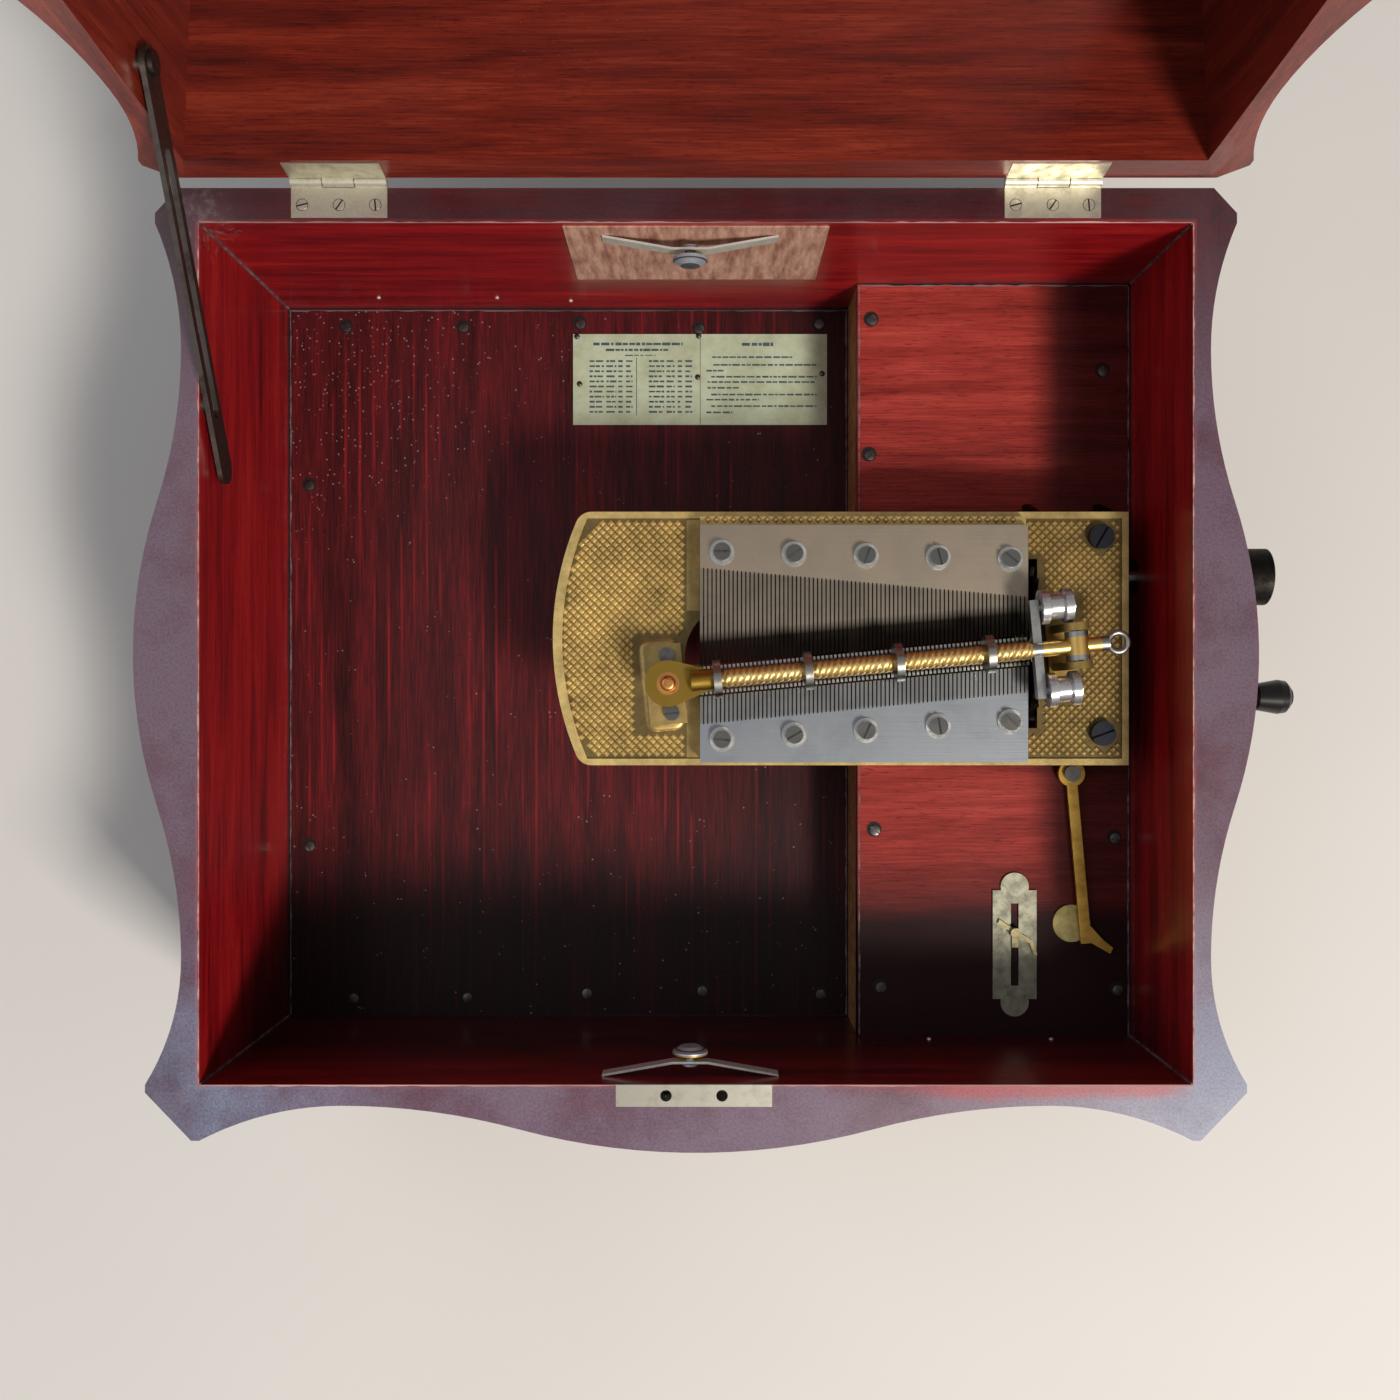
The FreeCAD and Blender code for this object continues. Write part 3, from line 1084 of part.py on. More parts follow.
def stadium(start, finish, half_width):
    """A straight-sided outline along x with round ends."""
    return [
        (start, f"-({half_width})"),
        (finish, f"-({half_width})", half_width, 1),
        (finish, half_width),
        (start, half_width, half_width, 1),
    ]


case_pin_point = Vector(0, val("stay_pin_depth"), val("stay_pin_level"))
closed_stud = Vector(0, val(STUD_Y), val(STUD_Z))
open_stud = LID_OPEN.multVec(closed_stud)
to_pin = case_pin_point - open_stud
closed_reach = (case_pin_point - closed_stud).Length
stay_body = new_body("stay")
stay_outline = stadium("0", f"{to_pin.Length} + stay_reach", "stay_half_width")
pad(stay_body, "stay_bar", sketch(stay_body, "stay_plan", stay_outline), "stay_thickness")
stay_slot = stadium(f"{closed_reach} - stay_slot_half", f"{to_pin.Length} + stay_slot_half", "stay_slot_half")
pocket(stay_body, "stay_slot", sketch(stay_body, "stay_slot_plan", stay_slot))
eye_sketch = sketch(stay_body, "stay_eye", circles=[("0", "0", "stud_radius + running_clearance")])
pocket(stay_body, "stay_hole", eye_sketch)
# local x runs from the stud to the pin, local z points to +X
lean = math.degrees(math.atan2(to_pin.z, to_pin.y))
upright = Rotation(Vector(0, 1, 0), Vector(0, 0, 1), Vector(1, 0, 0), "ZXY")
stay_body.Placement = Placement(
    Vector(val("stay_at - stay_thickness"), open_stud.y, open_stud.z), Rotation(X_AXIS, lean).multiply(upright)
)
piece(stay_body, "lid_stay")

# ---------------------------------------------------------------------------------------------------
# Bedplate and combs
# ---------------------------------------------------------------------------------------------------
BED_MIDDLE = "(bed_front + bed_back) / 2"
SLOPE = "tan(bar_angle)"


def bed_outline(inset):
    """The bedplate's plan, or the same set in by a border: square right, bowed and rounded left."""
    x_corner = f"bed_left + bed_bow + ({inset})"
    front, back = f"bed_front + ({inset})", f"bed_back - ({inset})"
    half_length = "((bed_back - bed_front) / 2)"
    radius = f"(({half_length})^2 + bed_bow^2) / (2 * bed_bow)"
    return [
        (f"bed_right - ({inset})", front),
        (f"bed_right - ({inset})", back),
        (x_corner, back, radius, 1),
        (x_corner, front),
    ]


bed = new_body("bedplate")
BED_UNDER = "bed_level - bed_thickness"
pad(bed, "bed_plate", sketch(bed, "bed_plan", bed_outline("0"), offset=BED_UNDER), "bed_thickness")
doc.recompute()
plate = bed.Tip
bow_end = val("bed_left + bed_bow") + 1
corner_edges = [
    f"Edge{number}"
    for number, edge in enumerate(plate.Shape.Edges, start=1)
    if abs(edge.Vertexes[0].Z - edge.Vertexes[-1].Z) > 1 and edge.Vertexes[0].X < bow_end
]
rounding = bed.newObject("PartDesign::Fillet", "bed_corners")
rounding.Base = (plate, corner_edges)
bind(rounding, Radius="bed_corner")
pocket(bed, "bed_field", sketch(bed, "bed_field_plan", bed_outline("bed_border"), offset="bed_level"), "bed_recess")
FIELD = "bed_level - bed_recess"
RAIL_UNDER = "comb_level - comb_thickness"
COMB_RIGHT = "comb_left + comb_teeth * tooth_pitch - tooth_gap"
for rail, near, far in (
    ("rear_rail", "rear_root_left + rail_margin", "bed_back - bed_border"),
    ("front_rail", "bed_front + bed_border", "front_root_left - rail_margin"),
):
    # a rail lies under the solid part of its comb
    outline = rectangle("comb_left", near, COMB_RIGHT, far)
    pad(bed, rail, sketch(bed, rail + "_plan", outline, offset=FIELD), f"{RAIL_UNDER} - ({FIELD})")
# opening under the teeth, which narrows for the left star wheel block and for the spindle's foot
window = [
    ("window_left", "window_front"),
    ("window_step", "window_front"),
    ("window_step", "window_step_front"),
    (f"{COMB_RIGHT} - window_margin", "window_front"),
    (f"{COMB_RIGHT} - window_margin", "window_back"),
    ("window_shoulder", "window_back", "window_bend", 1),
]
pocket(bed, "window", sketch(bed, "window_plan", window, offset="bed_level"))
MAIN_CENTRES = "main_module * (great_teeth + drive_pinion_teeth) / 2"
SPROCKET_Y = f"winding_y + {MAIN_CENTRES} * cos(sprocket_bearing)"
SPROCKET_Z = f"winding_z + {MAIN_CENTRES} * sin(sprocket_bearing)"
slot_half = f"sqrt((sprocket_radius + slot_length_margin)^2 - ({BED_UNDER} - ({SPROCKET_Z}))^2)"
SPROCKET_RIGHT = "sprocket_at + sprocket_width"
slot_outline = rectangle(
    "sprocket_at - slot_margin", f"{SPROCKET_Y} - {slot_half}",
    f"{SPROCKET_RIGHT} + slot_margin", f"{SPROCKET_Y} + {slot_half}",
)
pocket(bed, "sprocket_slot", sketch(bed, "sprocket_slot_plan", slot_outline, offset="bed_level"))
LEGS = [
    ("back_leg", "riser_at + leg_from_riser", "bed_back - leg_size - leg_inset", "deck_level"),
    ("front_leg", "riser_at + leg_from_riser", "bed_front + leg_inset", "deck_level"),
    ("long_leg", "bed_left + long_leg_at", f"{BED_MIDDLE} - leg_size / 2", "soundboard_level"),
]
for leg, x, y, floor in LEGS:
    outline = rectangle(x, y, f"({x}) + leg_size", f"({y}) + leg_size")
    pad(bed, leg, sketch(bed, leg + "_plan", outline, offset=floor), f"{BED_UNDER} - ({floor})")
BED_BOLTS = [("back_bolt_x", "back_bolt_y"), ("front_bolt_x", "front_bolt_y")]
bolt_bores = [(x, y, "screw_radius + free_clearance") for x, y in BED_BOLTS]
pocket(bed, "bolt_holes", sketch(bed, "bolt_bores", circles=bolt_bores, offset="bed_level"))


def comb(label, edge, root, side, screw):
    """A steel comb: a thick base, thinner teeth of graded length, saw cuts between the teeth.

    side is +1 for the rear comb, whose teeth point to -Y, and -1 for the front comb; root and screw are
    the first words of the sizes that place the tooth roots and the screws.
    """
    root_left, root_right = root + "_left", root + "_right"
    screw_left, screw_slope = screw + "_left", screw + "_slope"
    body = new_body(label)
    # the tips stand just outside the points of the star wheels
    tip_line = f"({side}) * (star_radius + free_clearance) / cos(bar_angle)"
    tip_left = f"spindle_y + (comb_left - spindle_x) * {SLOPE} + {tip_line}"
    tip_right = f"spindle_y + (({COMB_RIGHT}) - spindle_x) * {SLOPE} + {tip_line}"
    base = [("comb_left", edge), ("comb_left", root_left), (COMB_RIGHT, root_right), (COMB_RIGHT, edge)]
    blade = [("comb_left", root_left), ("comb_left", tip_left), (COMB_RIGHT, tip_right), (COMB_RIGHT, root_right)]
    pad(body, label + "_base", sketch(body, label + "_base_plan", base, offset=RAIL_UNDER), "comb_thickness")
    under = "comb_level - tooth_thickness"
    pad(body, label + "_blade", sketch(body, label + "_blade_plan", blade, offset=under), "tooth_thickness")
    reach = f"({root_left}) - ({tip_left})" if side > 0 else f"({tip_left}) - ({root_left})"
    fall = f"(({root_right}) - ({root_left})) / (({COMB_RIGHT}) - comb_left)"
    gap_left, gap_right = "tooth_pitch - tooth_gap", "tooth_pitch"
    far = f"-({side}) * (({reach}) + star_radius)"
    saw = [
        (gap_left, f"({fall}) * ({gap_left})"),
        (gap_left, far),
        (gap_right, far),
        (gap_right, f"({fall}) * ({gap_right})"),
    ]
    cut_sketch = sketch(body, label + "_saw_plan", saw, offset="comb_level")
    bind(cut_sketch, AttachmentOffset__Base__x="comb_left", AttachmentOffset__Base__y=root_left)
    first = pocket(body, label + "_saw_cut", cut_sketch, "comb_thickness")
    # the saw cuts step along the line of the roots
    line = body.newObject("Sketcher::SketchObject", label + "_root_line")
    line.AttachmentSupport = [(origin_part(body, "XY_Plane"), "")]
    line.MapMode = "FlatFace"
    start = Vector(val("comb_left"), val(root_left), 0)
    finish = Vector(val(COMB_RIGHT), val(root_right), 0)
    line.addGeometry(Part.LineSegment(start, finish), True)
    repeat = body.newObject("PartDesign::LinearPattern", label + "_saw_cuts")
    repeat.Originals = [first]
    repeat.Direction = (line, ["Axis0"])
    bind(repeat, Length=f"(comb_teeth - 2) * tooth_pitch * sqrt(1 + ({fall})^2)", Occurrences="comb_teeth - 1")
    body.Tip = repeat
    doc.recompute()
    first_x = "comb_left + comb_screw_first"
    holes = [
        (f"{first_x} + {n} * comb_screw_pitch", f"{screw_left} + {n} * {screw_slope}", "screw_radius")
        for n in range(round(val("comb_screws")))
    ]
    pocket(body, label + "_holes", sketch(body, label + "_hole_plan", circles=holes, offset="comb_level"))
    piece(body, label)
    return holes


rear_holes = comb("rear_comb", "rear_comb_back", "rear_root", 1, "rear_screw")
front_holes = comb("front_comb", "front_comb_front", "front_root", -1, "front_screw")
tapped = sketch(bed, "comb_taps", circles=rear_holes + front_holes, offset=RAIL_UNDER)
pocket(bed, "comb_tappings", tapped, f"{RAIL_UNDER} - ({BED_UNDER}) - tap_floor")
piece(bed, "bedplate")


def cheese_screw(name, x, y, level, head, height, depth, washer=True, slot_turn=0):
    """A slotted screw whose head or washer stands on a level."""
    seat = f"({level}) + washer_thickness" if washer else level
    shapes = [
        rod(name + "_head", "Z", x, y, seat, head, height),
        rod(name + "_shank", "Z", x, y, f"({level}) - ({depth})", "screw_radius", f"({depth}) + washer_thickness"),
    ]
    if washer:
        shapes.append(rod(name + "_washer", "Z", x, y, level, "washer_radius", "washer_thickness"))
    slot_tool = doc.addObject("Part::Box", name + "_slot")
    bind(slot_tool, Length=f"({head}) * 4", Width="screw_slot", Height=height)
    turn = Rotation(Z_AXIS, slot_turn)
    corner = turn.multVec(Vector(-2 * val(head), -val("screw_slot") / 2, 0))
    slot_floor = val(f"({seat}) + ({height}) * (1 - slot_depth)")
    slot_tool.Placement = Placement(Vector(val(x), val(y), slot_floor) + corner, turn)
    return cut(name, fuse(name + "_blank", *shapes), slot_tool)


comb_screws = [
    cheese_screw(
        f"comb_screw_{n}", x, y, "comb_level", "screw_head_radius", "screw_head_height",
        f"comb_level - ({BED_UNDER}) - tap_floor - tap_gap", slot_turn=35 * n,
    )
    for n, (x, y, _) in enumerate(rear_holes + front_holes)
]
bed_bolts = [
    cheese_screw(
        f"bed_bolt_{n}", x, y, FIELD, "bolt_head_radius", "bolt_head_height", f"{FIELD} - ({BED_UNDER}) + lug_tap",
        washer=False, slot_turn=60 - 40 * n,
    )
    for n, (x, y) in enumerate(BED_BOLTS)
]
piece(group("bed_bolt_set", *bed_bolts), "bedplate_bolts")

# ---------------------------------------------------------------------------------------------------
# On the bedplate, along the line from the spindle: star wheels, spindle, pressure bar and its bracket
# ---------------------------------------------------------------------------------------------------
STAR_LEVEL = "disc_level - star_below_disc - star_radius"
BAR_LEVEL = "disc_level + disc_thickness + roller_radius"
FIRST_WHEEL = "(comb_left - spindle_x) / cos(bar_angle)"


def on_line(item):
    """Puts an object drawn with x along the line from the spindle, y across it and z above the table."""
    return place(item, "spindle_x", "spindle_y", "0", Z_AXIS, "bar_angle")


stars = new_body("star_wheels")
STAR_ROW = "(comb_teeth - 1) * tooth_pitch / cos(bar_angle)"
STAR_START = f"{FIRST_WHEEL} - star_margin_left"
STAR_END = f"{FIRST_WHEEL} + {STAR_ROW} + star_thickness + star_margin_right"
hexagon = [(f"star_arbor * cos({60 * n})", f"star_arbor * sin({60 * n})") for n in range(6)]
arbor_plan = sketch(stars, "star_arbor_plan", hexagon, role="YZ_Plane", offset=STAR_START)
pad(stars, "star_arbor_core", arbor_plan, f"({STAR_END}) - ({STAR_START})")
half_step = 180 / val("star_points")
star_outline = []
for n in range(int(val("star_points"))):
    tip, root = half_step * (2 * n + 1), half_step * (2 * n + 2)
    star_outline.append((f"star_radius * cos({tip})", f"star_radius * sin({tip})"))
    star_outline.append((f"star_root * cos({root})", f"star_root * sin({root})"))
wheel_plan = sketch(stars, "star_plan", star_outline, role="YZ_Plane", offset=FIRST_WHEEL)
wheel = pad(stars, "star_wheel", wheel_plan, "star_thickness")
row = stars.newObject("PartDesign::LinearPattern", "star_row")
row.Originals = [wheel]
row.Direction = (origin_part(stars, "X_Axis"), [""])
bind(row, Length=STAR_ROW, Occurrences="comb_teeth")
stars.Tip = row
doc.recompute()
for end, start, backwards in (("left", STAR_START, True), ("right", STAR_END, False)):
    journal = [("0", "0", "star_journal")]
    profile = sketch(stars, f"star_journal_{end}", circles=journal, role="YZ_Plane", offset=start)
    pad(stars, f"star_journal_{end}_pad", profile, f"journal_{end}", backwards)
piece(place(stars, "spindle_x", "spindle_y", STAR_LEVEL, Z_AXIS, "bar_angle"), "star_wheels")


def star_bracket(name, start, width):
    """A block that carries one end of the star wheel arbor."""
    sides = ("-star_block_half", "star_block_half")
    block = box(name + "_block", start, f"({start}) + {width}", *sides, FIELD, f"{STAR_LEVEL} + star_block_rise")
    bore = rod(name + "_bore", "X", start, "0", STAR_LEVEL, "star_journal + running_clearance", width)
    return cut(name, block, bore)


brackets = group(
    "star_bracket_pair",
    star_bracket("left_star_bracket", f"{STAR_START} - star_block_gap - star_block_left", "star_block_left"),
    star_bracket("right_star_bracket", f"{STAR_END} + star_block_gap", "star_block_right"),
)
piece(on_line(brackets), "star_wheel_brackets")

# spindle on its bracket
PIN_TOP = "disc_level + spindle_pin"
SPINDLE_TOP = f"{PIN_TOP} + nose_height + nose_tip"
spindle = new_body("spindle")
foot_level = f"{FIELD} + foot_thickness"
foot_outline = rectangle("foot_left", "-foot_half", "foot_right", "foot_half")
foot_plan = sketch(spindle, "spindle_foot_plan", foot_outline, offset=FIELD)
pad(spindle, "spindle_foot", foot_plan, "foot_thickness")
boss_top = f"{foot_level} + spindle_boss_height"
profile = [
    ("0", FIELD),
    ("spindle_boss", FIELD),
    ("spindle_boss", boss_top),
    ("spindle_shoulder", f"{boss_top} + spindle_boss_slope"),
    ("spindle_shoulder", "disc_level"),
    ("spindle_radius", "disc_level"),
    ("spindle_radius", PIN_TOP),
    ("nose_radius", PIN_TOP),
    ("nose_radius", f"{PIN_TOP} + nose_height"),
    ("nose_radius - nose_tip", SPINDLE_TOP),
    ("0", SPINDLE_TOP),
]
revolve(spindle, "spindle_turned", sketch(spindle, "spindle_profile", profile, role="XZ_Plane"), "Z_Axis")
foot_holes = [("0", "-foot_screw_at", "screw_radius"), ("0", "foot_screw_at", "screw_radius")]
foot_hole_plan = sketch(spindle, "spindle_hole_plan", circles=foot_holes, offset=foot_level)
pocket(spindle, "spindle_holes", foot_hole_plan, "foot_thickness")
piece(on_line(spindle), "centre_spindle")

# bracket with two ears and the hinge pin of the pressure bar
EAR_START, EAR_END = "bar_hinge_at - ear_width / 2", "bar_hinge_at + ear_width / 2"
foot = box(
    "bracket_foot", "bar_hinge_at - bracket_reach", EAR_END, "-bracket_half", "bracket_half", FIELD, foot_level
)
ears = []
for number, side in enumerate((-1, 1)):
    inner, outer = f"{side} * ear_gap / 2", f"{side} * (ear_gap / 2 + ear_thickness)"
    near, far = (inner, outer) if side > 0 else (outer, inner)
    ears.append(box(f"ear_{number}", EAR_START, EAR_END, near, far, foot_level, BAR_LEVEL))
    ears.append(rod(f"ear_top_{number}", "Y", "bar_hinge_at", near, BAR_LEVEL, "ear_width / 2", "ear_thickness"))
hinge_pin = rod(
    "bar_pin", "Y", "bar_hinge_at", "-ear_gap / 2 - ear_thickness", BAR_LEVEL, "edge_axle_radius",
    "ear_gap + 2 * ear_thickness",
)
BRACKET_SCREWS = [
    ("bar_hinge_at", "-bracket_half + bracket_screw_inset"),
    ("bar_hinge_at", "bracket_half - bracket_screw_inset"),
]
bracket_bores = [
    rod(f"bracket_bore_{n}", "Z", x, y, FIELD, "screw_radius", "foot_thickness")
    for n, (x, y) in enumerate(BRACKET_SCREWS)
]
piece(on_line(cut("bracket_cut", fuse("bracket_blank", foot, hinge_pin, *ears), *bracket_bores)), "bar_bracket")

foot_screws = [
    cheese_screw(
        f"foot_screw_{n}", x, y, foot_level, "foot_screw_radius", "foot_screw_height", "foot_thickness",
        washer=False, slot_turn=50 * n,
    )
    for n, (x, y) in enumerate([(x, y) for x, y, _ in foot_holes] + BRACKET_SCREWS)
]
foot_screw_set = on_line(group("foot_screw_set", *foot_screws))

# pressure bar with its crosshead, hinge eye and finger loop
CROSS_AT = "edge_roller_at - cross_setback"
AXLE_LEVEL = "disc_level + disc_thickness + axle_lift + edge_roller_radius"
COLLAR_START = "edge_roller_at + edge_roller_width + free_clearance"
cross_half = "(edge_roller_spread + cross_margin)"
bar_rod = rod("bar_rod", "X", "bar_start", "0", BAR_LEVEL, "bar_radius", "bar_end_at - bar_start")
hinge_eye = rod(
    "hinge_eye", "Y", "bar_hinge_at", "-ear_gap / 2 + eye_gap", BAR_LEVEL, "eye_radius", "ear_gap - 2 * eye_gap"
)
crosshead = box(
    "crosshead", CROSS_AT, f"{CROSS_AT} + cross_thickness", f"-{cross_half}", cross_half,
    f"{AXLE_LEVEL} - cross_under", f"{BAR_LEVEL} + cross_over",
)
axles = []
for number, side in enumerate((-1, 1)):
    y = f"{side} * edge_roller_spread"
    axle_length = f"{COLLAR_START} + edge_collar_width - ({CROSS_AT})"
    axles.append(rod(f"edge_axle_{number}", "X", CROSS_AT, y, AXLE_LEVEL, "edge_axle_radius", axle_length))
    collar = (COLLAR_START, y, AXLE_LEVEL, "edge_collar_radius", "edge_collar_width")
    axles.append(rod(f"edge_collar_{number}", "X", *collar))
tail_loop = doc.addObject("Part::Torus", "tail_loop")
bind(tail_loop, Radius1="loop_radius", Radius2="loop_wire")
place(tail_loop, "bar_end_at + loop_radius", "0", BAR_LEVEL)
bar_blank = fuse("bar_blank", bar_rod, hinge_eye, crosshead, tail_loop, *axles)
pin_bore = rod(
    "pin_bore", "Y", "bar_hinge_at", "-ear_gap", BAR_LEVEL, "edge_axle_radius + running_clearance", "2 * ear_gap"
)
piece(on_line(cut("bar_cut", bar_blank, pin_bore)), "pressure_bar")

end_plate = new_body("end_plate")
PLATE_UNDER = f"{BAR_LEVEL} - bar_radius - plate_drop"
PLATE_TOP = f"{PLATE_UNDER} + plate_thickness"
lean_angle = "acos((plate_radius - plate_taper) / plate_taper_at)"
teardrop = [
    (f"plate_radius * cos({lean_angle})", f"-plate_radius * sin({lean_angle})"),
    ("plate_taper_at", "-plate_taper"),
    ("plate_taper_at", "plate_taper"),
    (f"plate_radius * cos({lean_angle})", f"plate_radius * sin({lean_angle})"),
    ("-plate_radius", "0"),
]
# the round end is two arcs about the spindle
teardrop[3] += ("plate_radius", 1)
teardrop[4] += ("plate_radius", 1)
end_plan = sketch(end_plate, "end_plate_plan", teardrop, offset=PLATE_UNDER)
pad(end_plate, "end_plate_pad", end_plan, "plate_thickness")
boss_circle = [("0", BAR_LEVEL, "plate_taper")]
boss = sketch(end_plate, "end_boss_plan", circles=boss_circle, role="YZ_Plane", offset="plate_boss_start")
pad(end_plate, "end_boss", boss, "plate_boss_end - plate_boss_start")
rod_circle = [("0", BAR_LEVEL, "bar_radius")]
rod_hole = sketch(end_plate, "rod_hole_plan", circles=rod_circle, role="YZ_Plane", offset="bar_start")
pocket(end_plate, "rod_hole", rod_hole, "plate_taper_at", backwards=True)
button = sketch(end_plate, "dome_plan", circles=[("0", "0", "plate_dome")], offset=PLATE_TOP)
flat_dome = pad(end_plate, "end_dome", button, "plate_dome_height")
doc.recompute()
dome_top = val(f"{PLATE_TOP} + plate_dome_height")
rim_edge = [
    f"Edge{number}"
    for number, edge in enumerate(flat_dome.Shape.Edges, start=1)
    if all(abs(vertex.Z - dome_top) < 1e-6 for vertex in edge.Vertexes)
]
dome = end_plate.newObject("PartDesign::Fillet", "end_dome_round")
dome.Base = (flat_dome, rim_edge)
bind(dome, Radius="plate_dome_round")
socket_circle = [("0", "0", "nose_radius + socket_gap")]
socket = sketch(end_plate, "spindle_socket_plan", circles=socket_circle, offset=PLATE_UNDER)
pocket(end_plate, "spindle_socket", socket, f"{SPINDLE_TOP} + socket_gap - ({PLATE_UNDER})", backwards=True)
piece(on_line(end_plate), "bar_end_plate")


def roller(name, start, y, level, radius, waist, width, bore):
    """A turned roller with flanges where its waist is smaller, bored for its shaft."""
    body = new_body(name)
    flange, slope = f"({width}) / 4", f"({width}) / 16"
    if waist == radius:
        profile = [("0", bore), ("0", radius), (width, radius), (width, bore)]
    else:
        profile = [
            ("0", bore),
            ("0", radius),
            (flange, radius),
            (f"{flange} + {slope}", waist),
            (f"({width}) - {flange} - {slope}", waist),
            (f"({width}) - {flange}", radius),
            (width, radius),
            (width, bore),
        ]
    revolve(body, name + "_turned", sketch(body, name + "_profile", profile), "X_Axis")
    x_place = f"spindle_x + ({start}) * cos(bar_angle) - ({y}) * sin(bar_angle)"
    y_place = f"spindle_y + ({start}) * sin(bar_angle) + ({y}) * cos(bar_angle)"
    return piece(place(body, x_place, y_place, level, Z_AXIS, "bar_angle"), name)


for number in range(int(val("roller_count"))):
    start = f"roller_first + {number} * roller_pitch - roller_width / 2"
    form = ("roller_radius", "roller_radius", "roller_width", "bar_radius + running_clearance")
    roller(f"pressure_roller_{number + 1}", start, "0", BAR_LEVEL, *form)
for name, side in (("edge_roller_front", -1), ("edge_roller_back", 1)):
    y = f"{side} * edge_roller_spread"
    roller(
        name, "edge_roller_at", y, AXLE_LEVEL, "edge_roller_radius", "edge_roller_waist", "edge_roller_width",
        "edge_axle_radius + running_clearance",
    )

# ---------------------------------------------------------------------------------------------------
# Spring motor under the bedplate, all arbors along X except the upright governor
# ---------------------------------------------------------------------------------------------------
WORM_Y = f"{SPROCKET_Y} + second_module * (second_teeth + second_pinion_teeth) / 2 * cos(worm_bearing)"
WORM_Z = f"{SPROCKET_Z} + second_module * (second_teeth + second_pinion_teeth) / 2 * sin(worm_bearing)"
WHEEL_RADIUS = "worm_module * worm_wheel_teeth / 2"
GOVERNOR_Y = f"{WORM_Y} - {WHEEL_RADIUS} - worm_pitch_radius"
LEFT_PLATE_IN = "frame_left + frame_thickness"
RIGHT_PLATE_IN = "frame_right - frame_thickness"


def involute(angle):
    return math.tan(angle) - angle


def tooth_angle(teeth, module, radius):
    """Half the angle that an involute tooth fills at a radius, in degrees, less its share of the backlash."""
    pitch_radius = teeth * module / 2
    pressure = math.radians(val("pressure_angle"))
    base_radius = pitch_radius * math.cos(pressure)
    half = math.pi / (2 * teeth) - val("backlash") / (4 * pitch_radius) + involute(pressure)
    if radius > base_radius:
        half -= involute(math.acos(base_radius / radius))
    return math.degrees(half)


def add_gear(body, name, teeth, module, start, width, phase="0"):
    """A spur gear about the body's X axis, with a tooth on its +Y side at phase 0."""
    count, size = round(val(teeth)), val(module)
    pitch_radius = f"({module}) * ({teeth}) / 2"
    tip, root = f"({pitch_radius} + ({module}))", f"({pitch_radius} - 1.25 * ({module}))"
    low, high = tooth_angle(count, size, val(root)), tooth_angle(count, size, val(tip))
    rim = sketch(body, name + "_rim", circles=[("0", "0", root)], role="YZ_Plane", offset=start)
    pad(body, name + "_disc", rim, width)
    under = f"({root} - 0.3)"
    flank = [
        (f"{under} * cos({low})", f"-{under} * sin({low})"),
        (f"{tip} * cos({high})", f"-{tip} * sin({high})"),
        (f"{tip} * cos({high})", f"{tip} * sin({high})"),
        (f"{under} * cos({low})", f"{under} * sin({low})"),
    ]
    plan = sketch(body, name + "_tooth_plan", flank, role="YZ_Plane", offset=start, turn=phase)
    tooth = pad(body, name + "_tooth", plan, width)
    ring = body.newObject("PartDesign::PolarPattern", name + "_teeth")
    ring.Originals = [tooth]
    ring.Axis = (origin_part(body, "X_Axis"), [""])
    ring.Angle = 360
    bind(ring, Occurrences=teeth)
    body.Tip = ring
    doc.recompute()
    return ring


def add_shaft(body, name, start, length, radius):
    plan = sketch(body, name + "_plan", circles=[("0", "0", radius)], role="YZ_Plane", offset=start)
    return pad(body, name, plan, length)


# spring barrel with its great wheel, and the coiled mainspring inside
barrel = new_body("barrel")
GREAT_START = f"{LEFT_PLATE_IN} + gear_gap"
BARREL_START = f"{GREAT_START} + gear_width"
add_gear(barrel, "great_wheel", "great_teeth", "main_module", GREAT_START, "gear_width")
add_shaft(barrel, "barrel_drum", BARREL_START, "barrel_length", "barrel_radius")
doc.recompute()
drum_space = [("0", "0", "barrel_radius - barrel_wall")]
space_start = f"{BARREL_START} + barrel_wall"
spring_space = sketch(barrel, "spring_space", circles=drum_space, role="YZ_Plane", offset=space_start)
pocket(barrel, "barrel_hollow", spring_space, "barrel_length - 2 * barrel_wall", backwards=True)
arbor_circle = [("0", "0", "winding_radius + running_clearance")]
arbor_bore = sketch(barrel, "barrel_bore", circles=arbor_circle, role="YZ_Plane")
pocket(barrel, "barrel_bearing", arbor_bore)
piece(place(barrel, "0", "winding_y", "winding_z"), "spring_barrel")

SPRING_START = f"{BARREL_START} + barrel_wall + free_clearance"
SPRING_WIDTH = "barrel_length - 2 * barrel_wall - 2 * free_clearance"
coil = rod("coil", "X", SPRING_START, "winding_y", "winding_z", "barrel_radius - barrel_wall", SPRING_WIDTH)
coil_eye = rod("coil_eye", "X", SPRING_START, "winding_y", "winding_z", "barrel_radius / 2", SPRING_WIDTH)
piece(cut("coil_cut", coil, coil_eye), "mainspring")

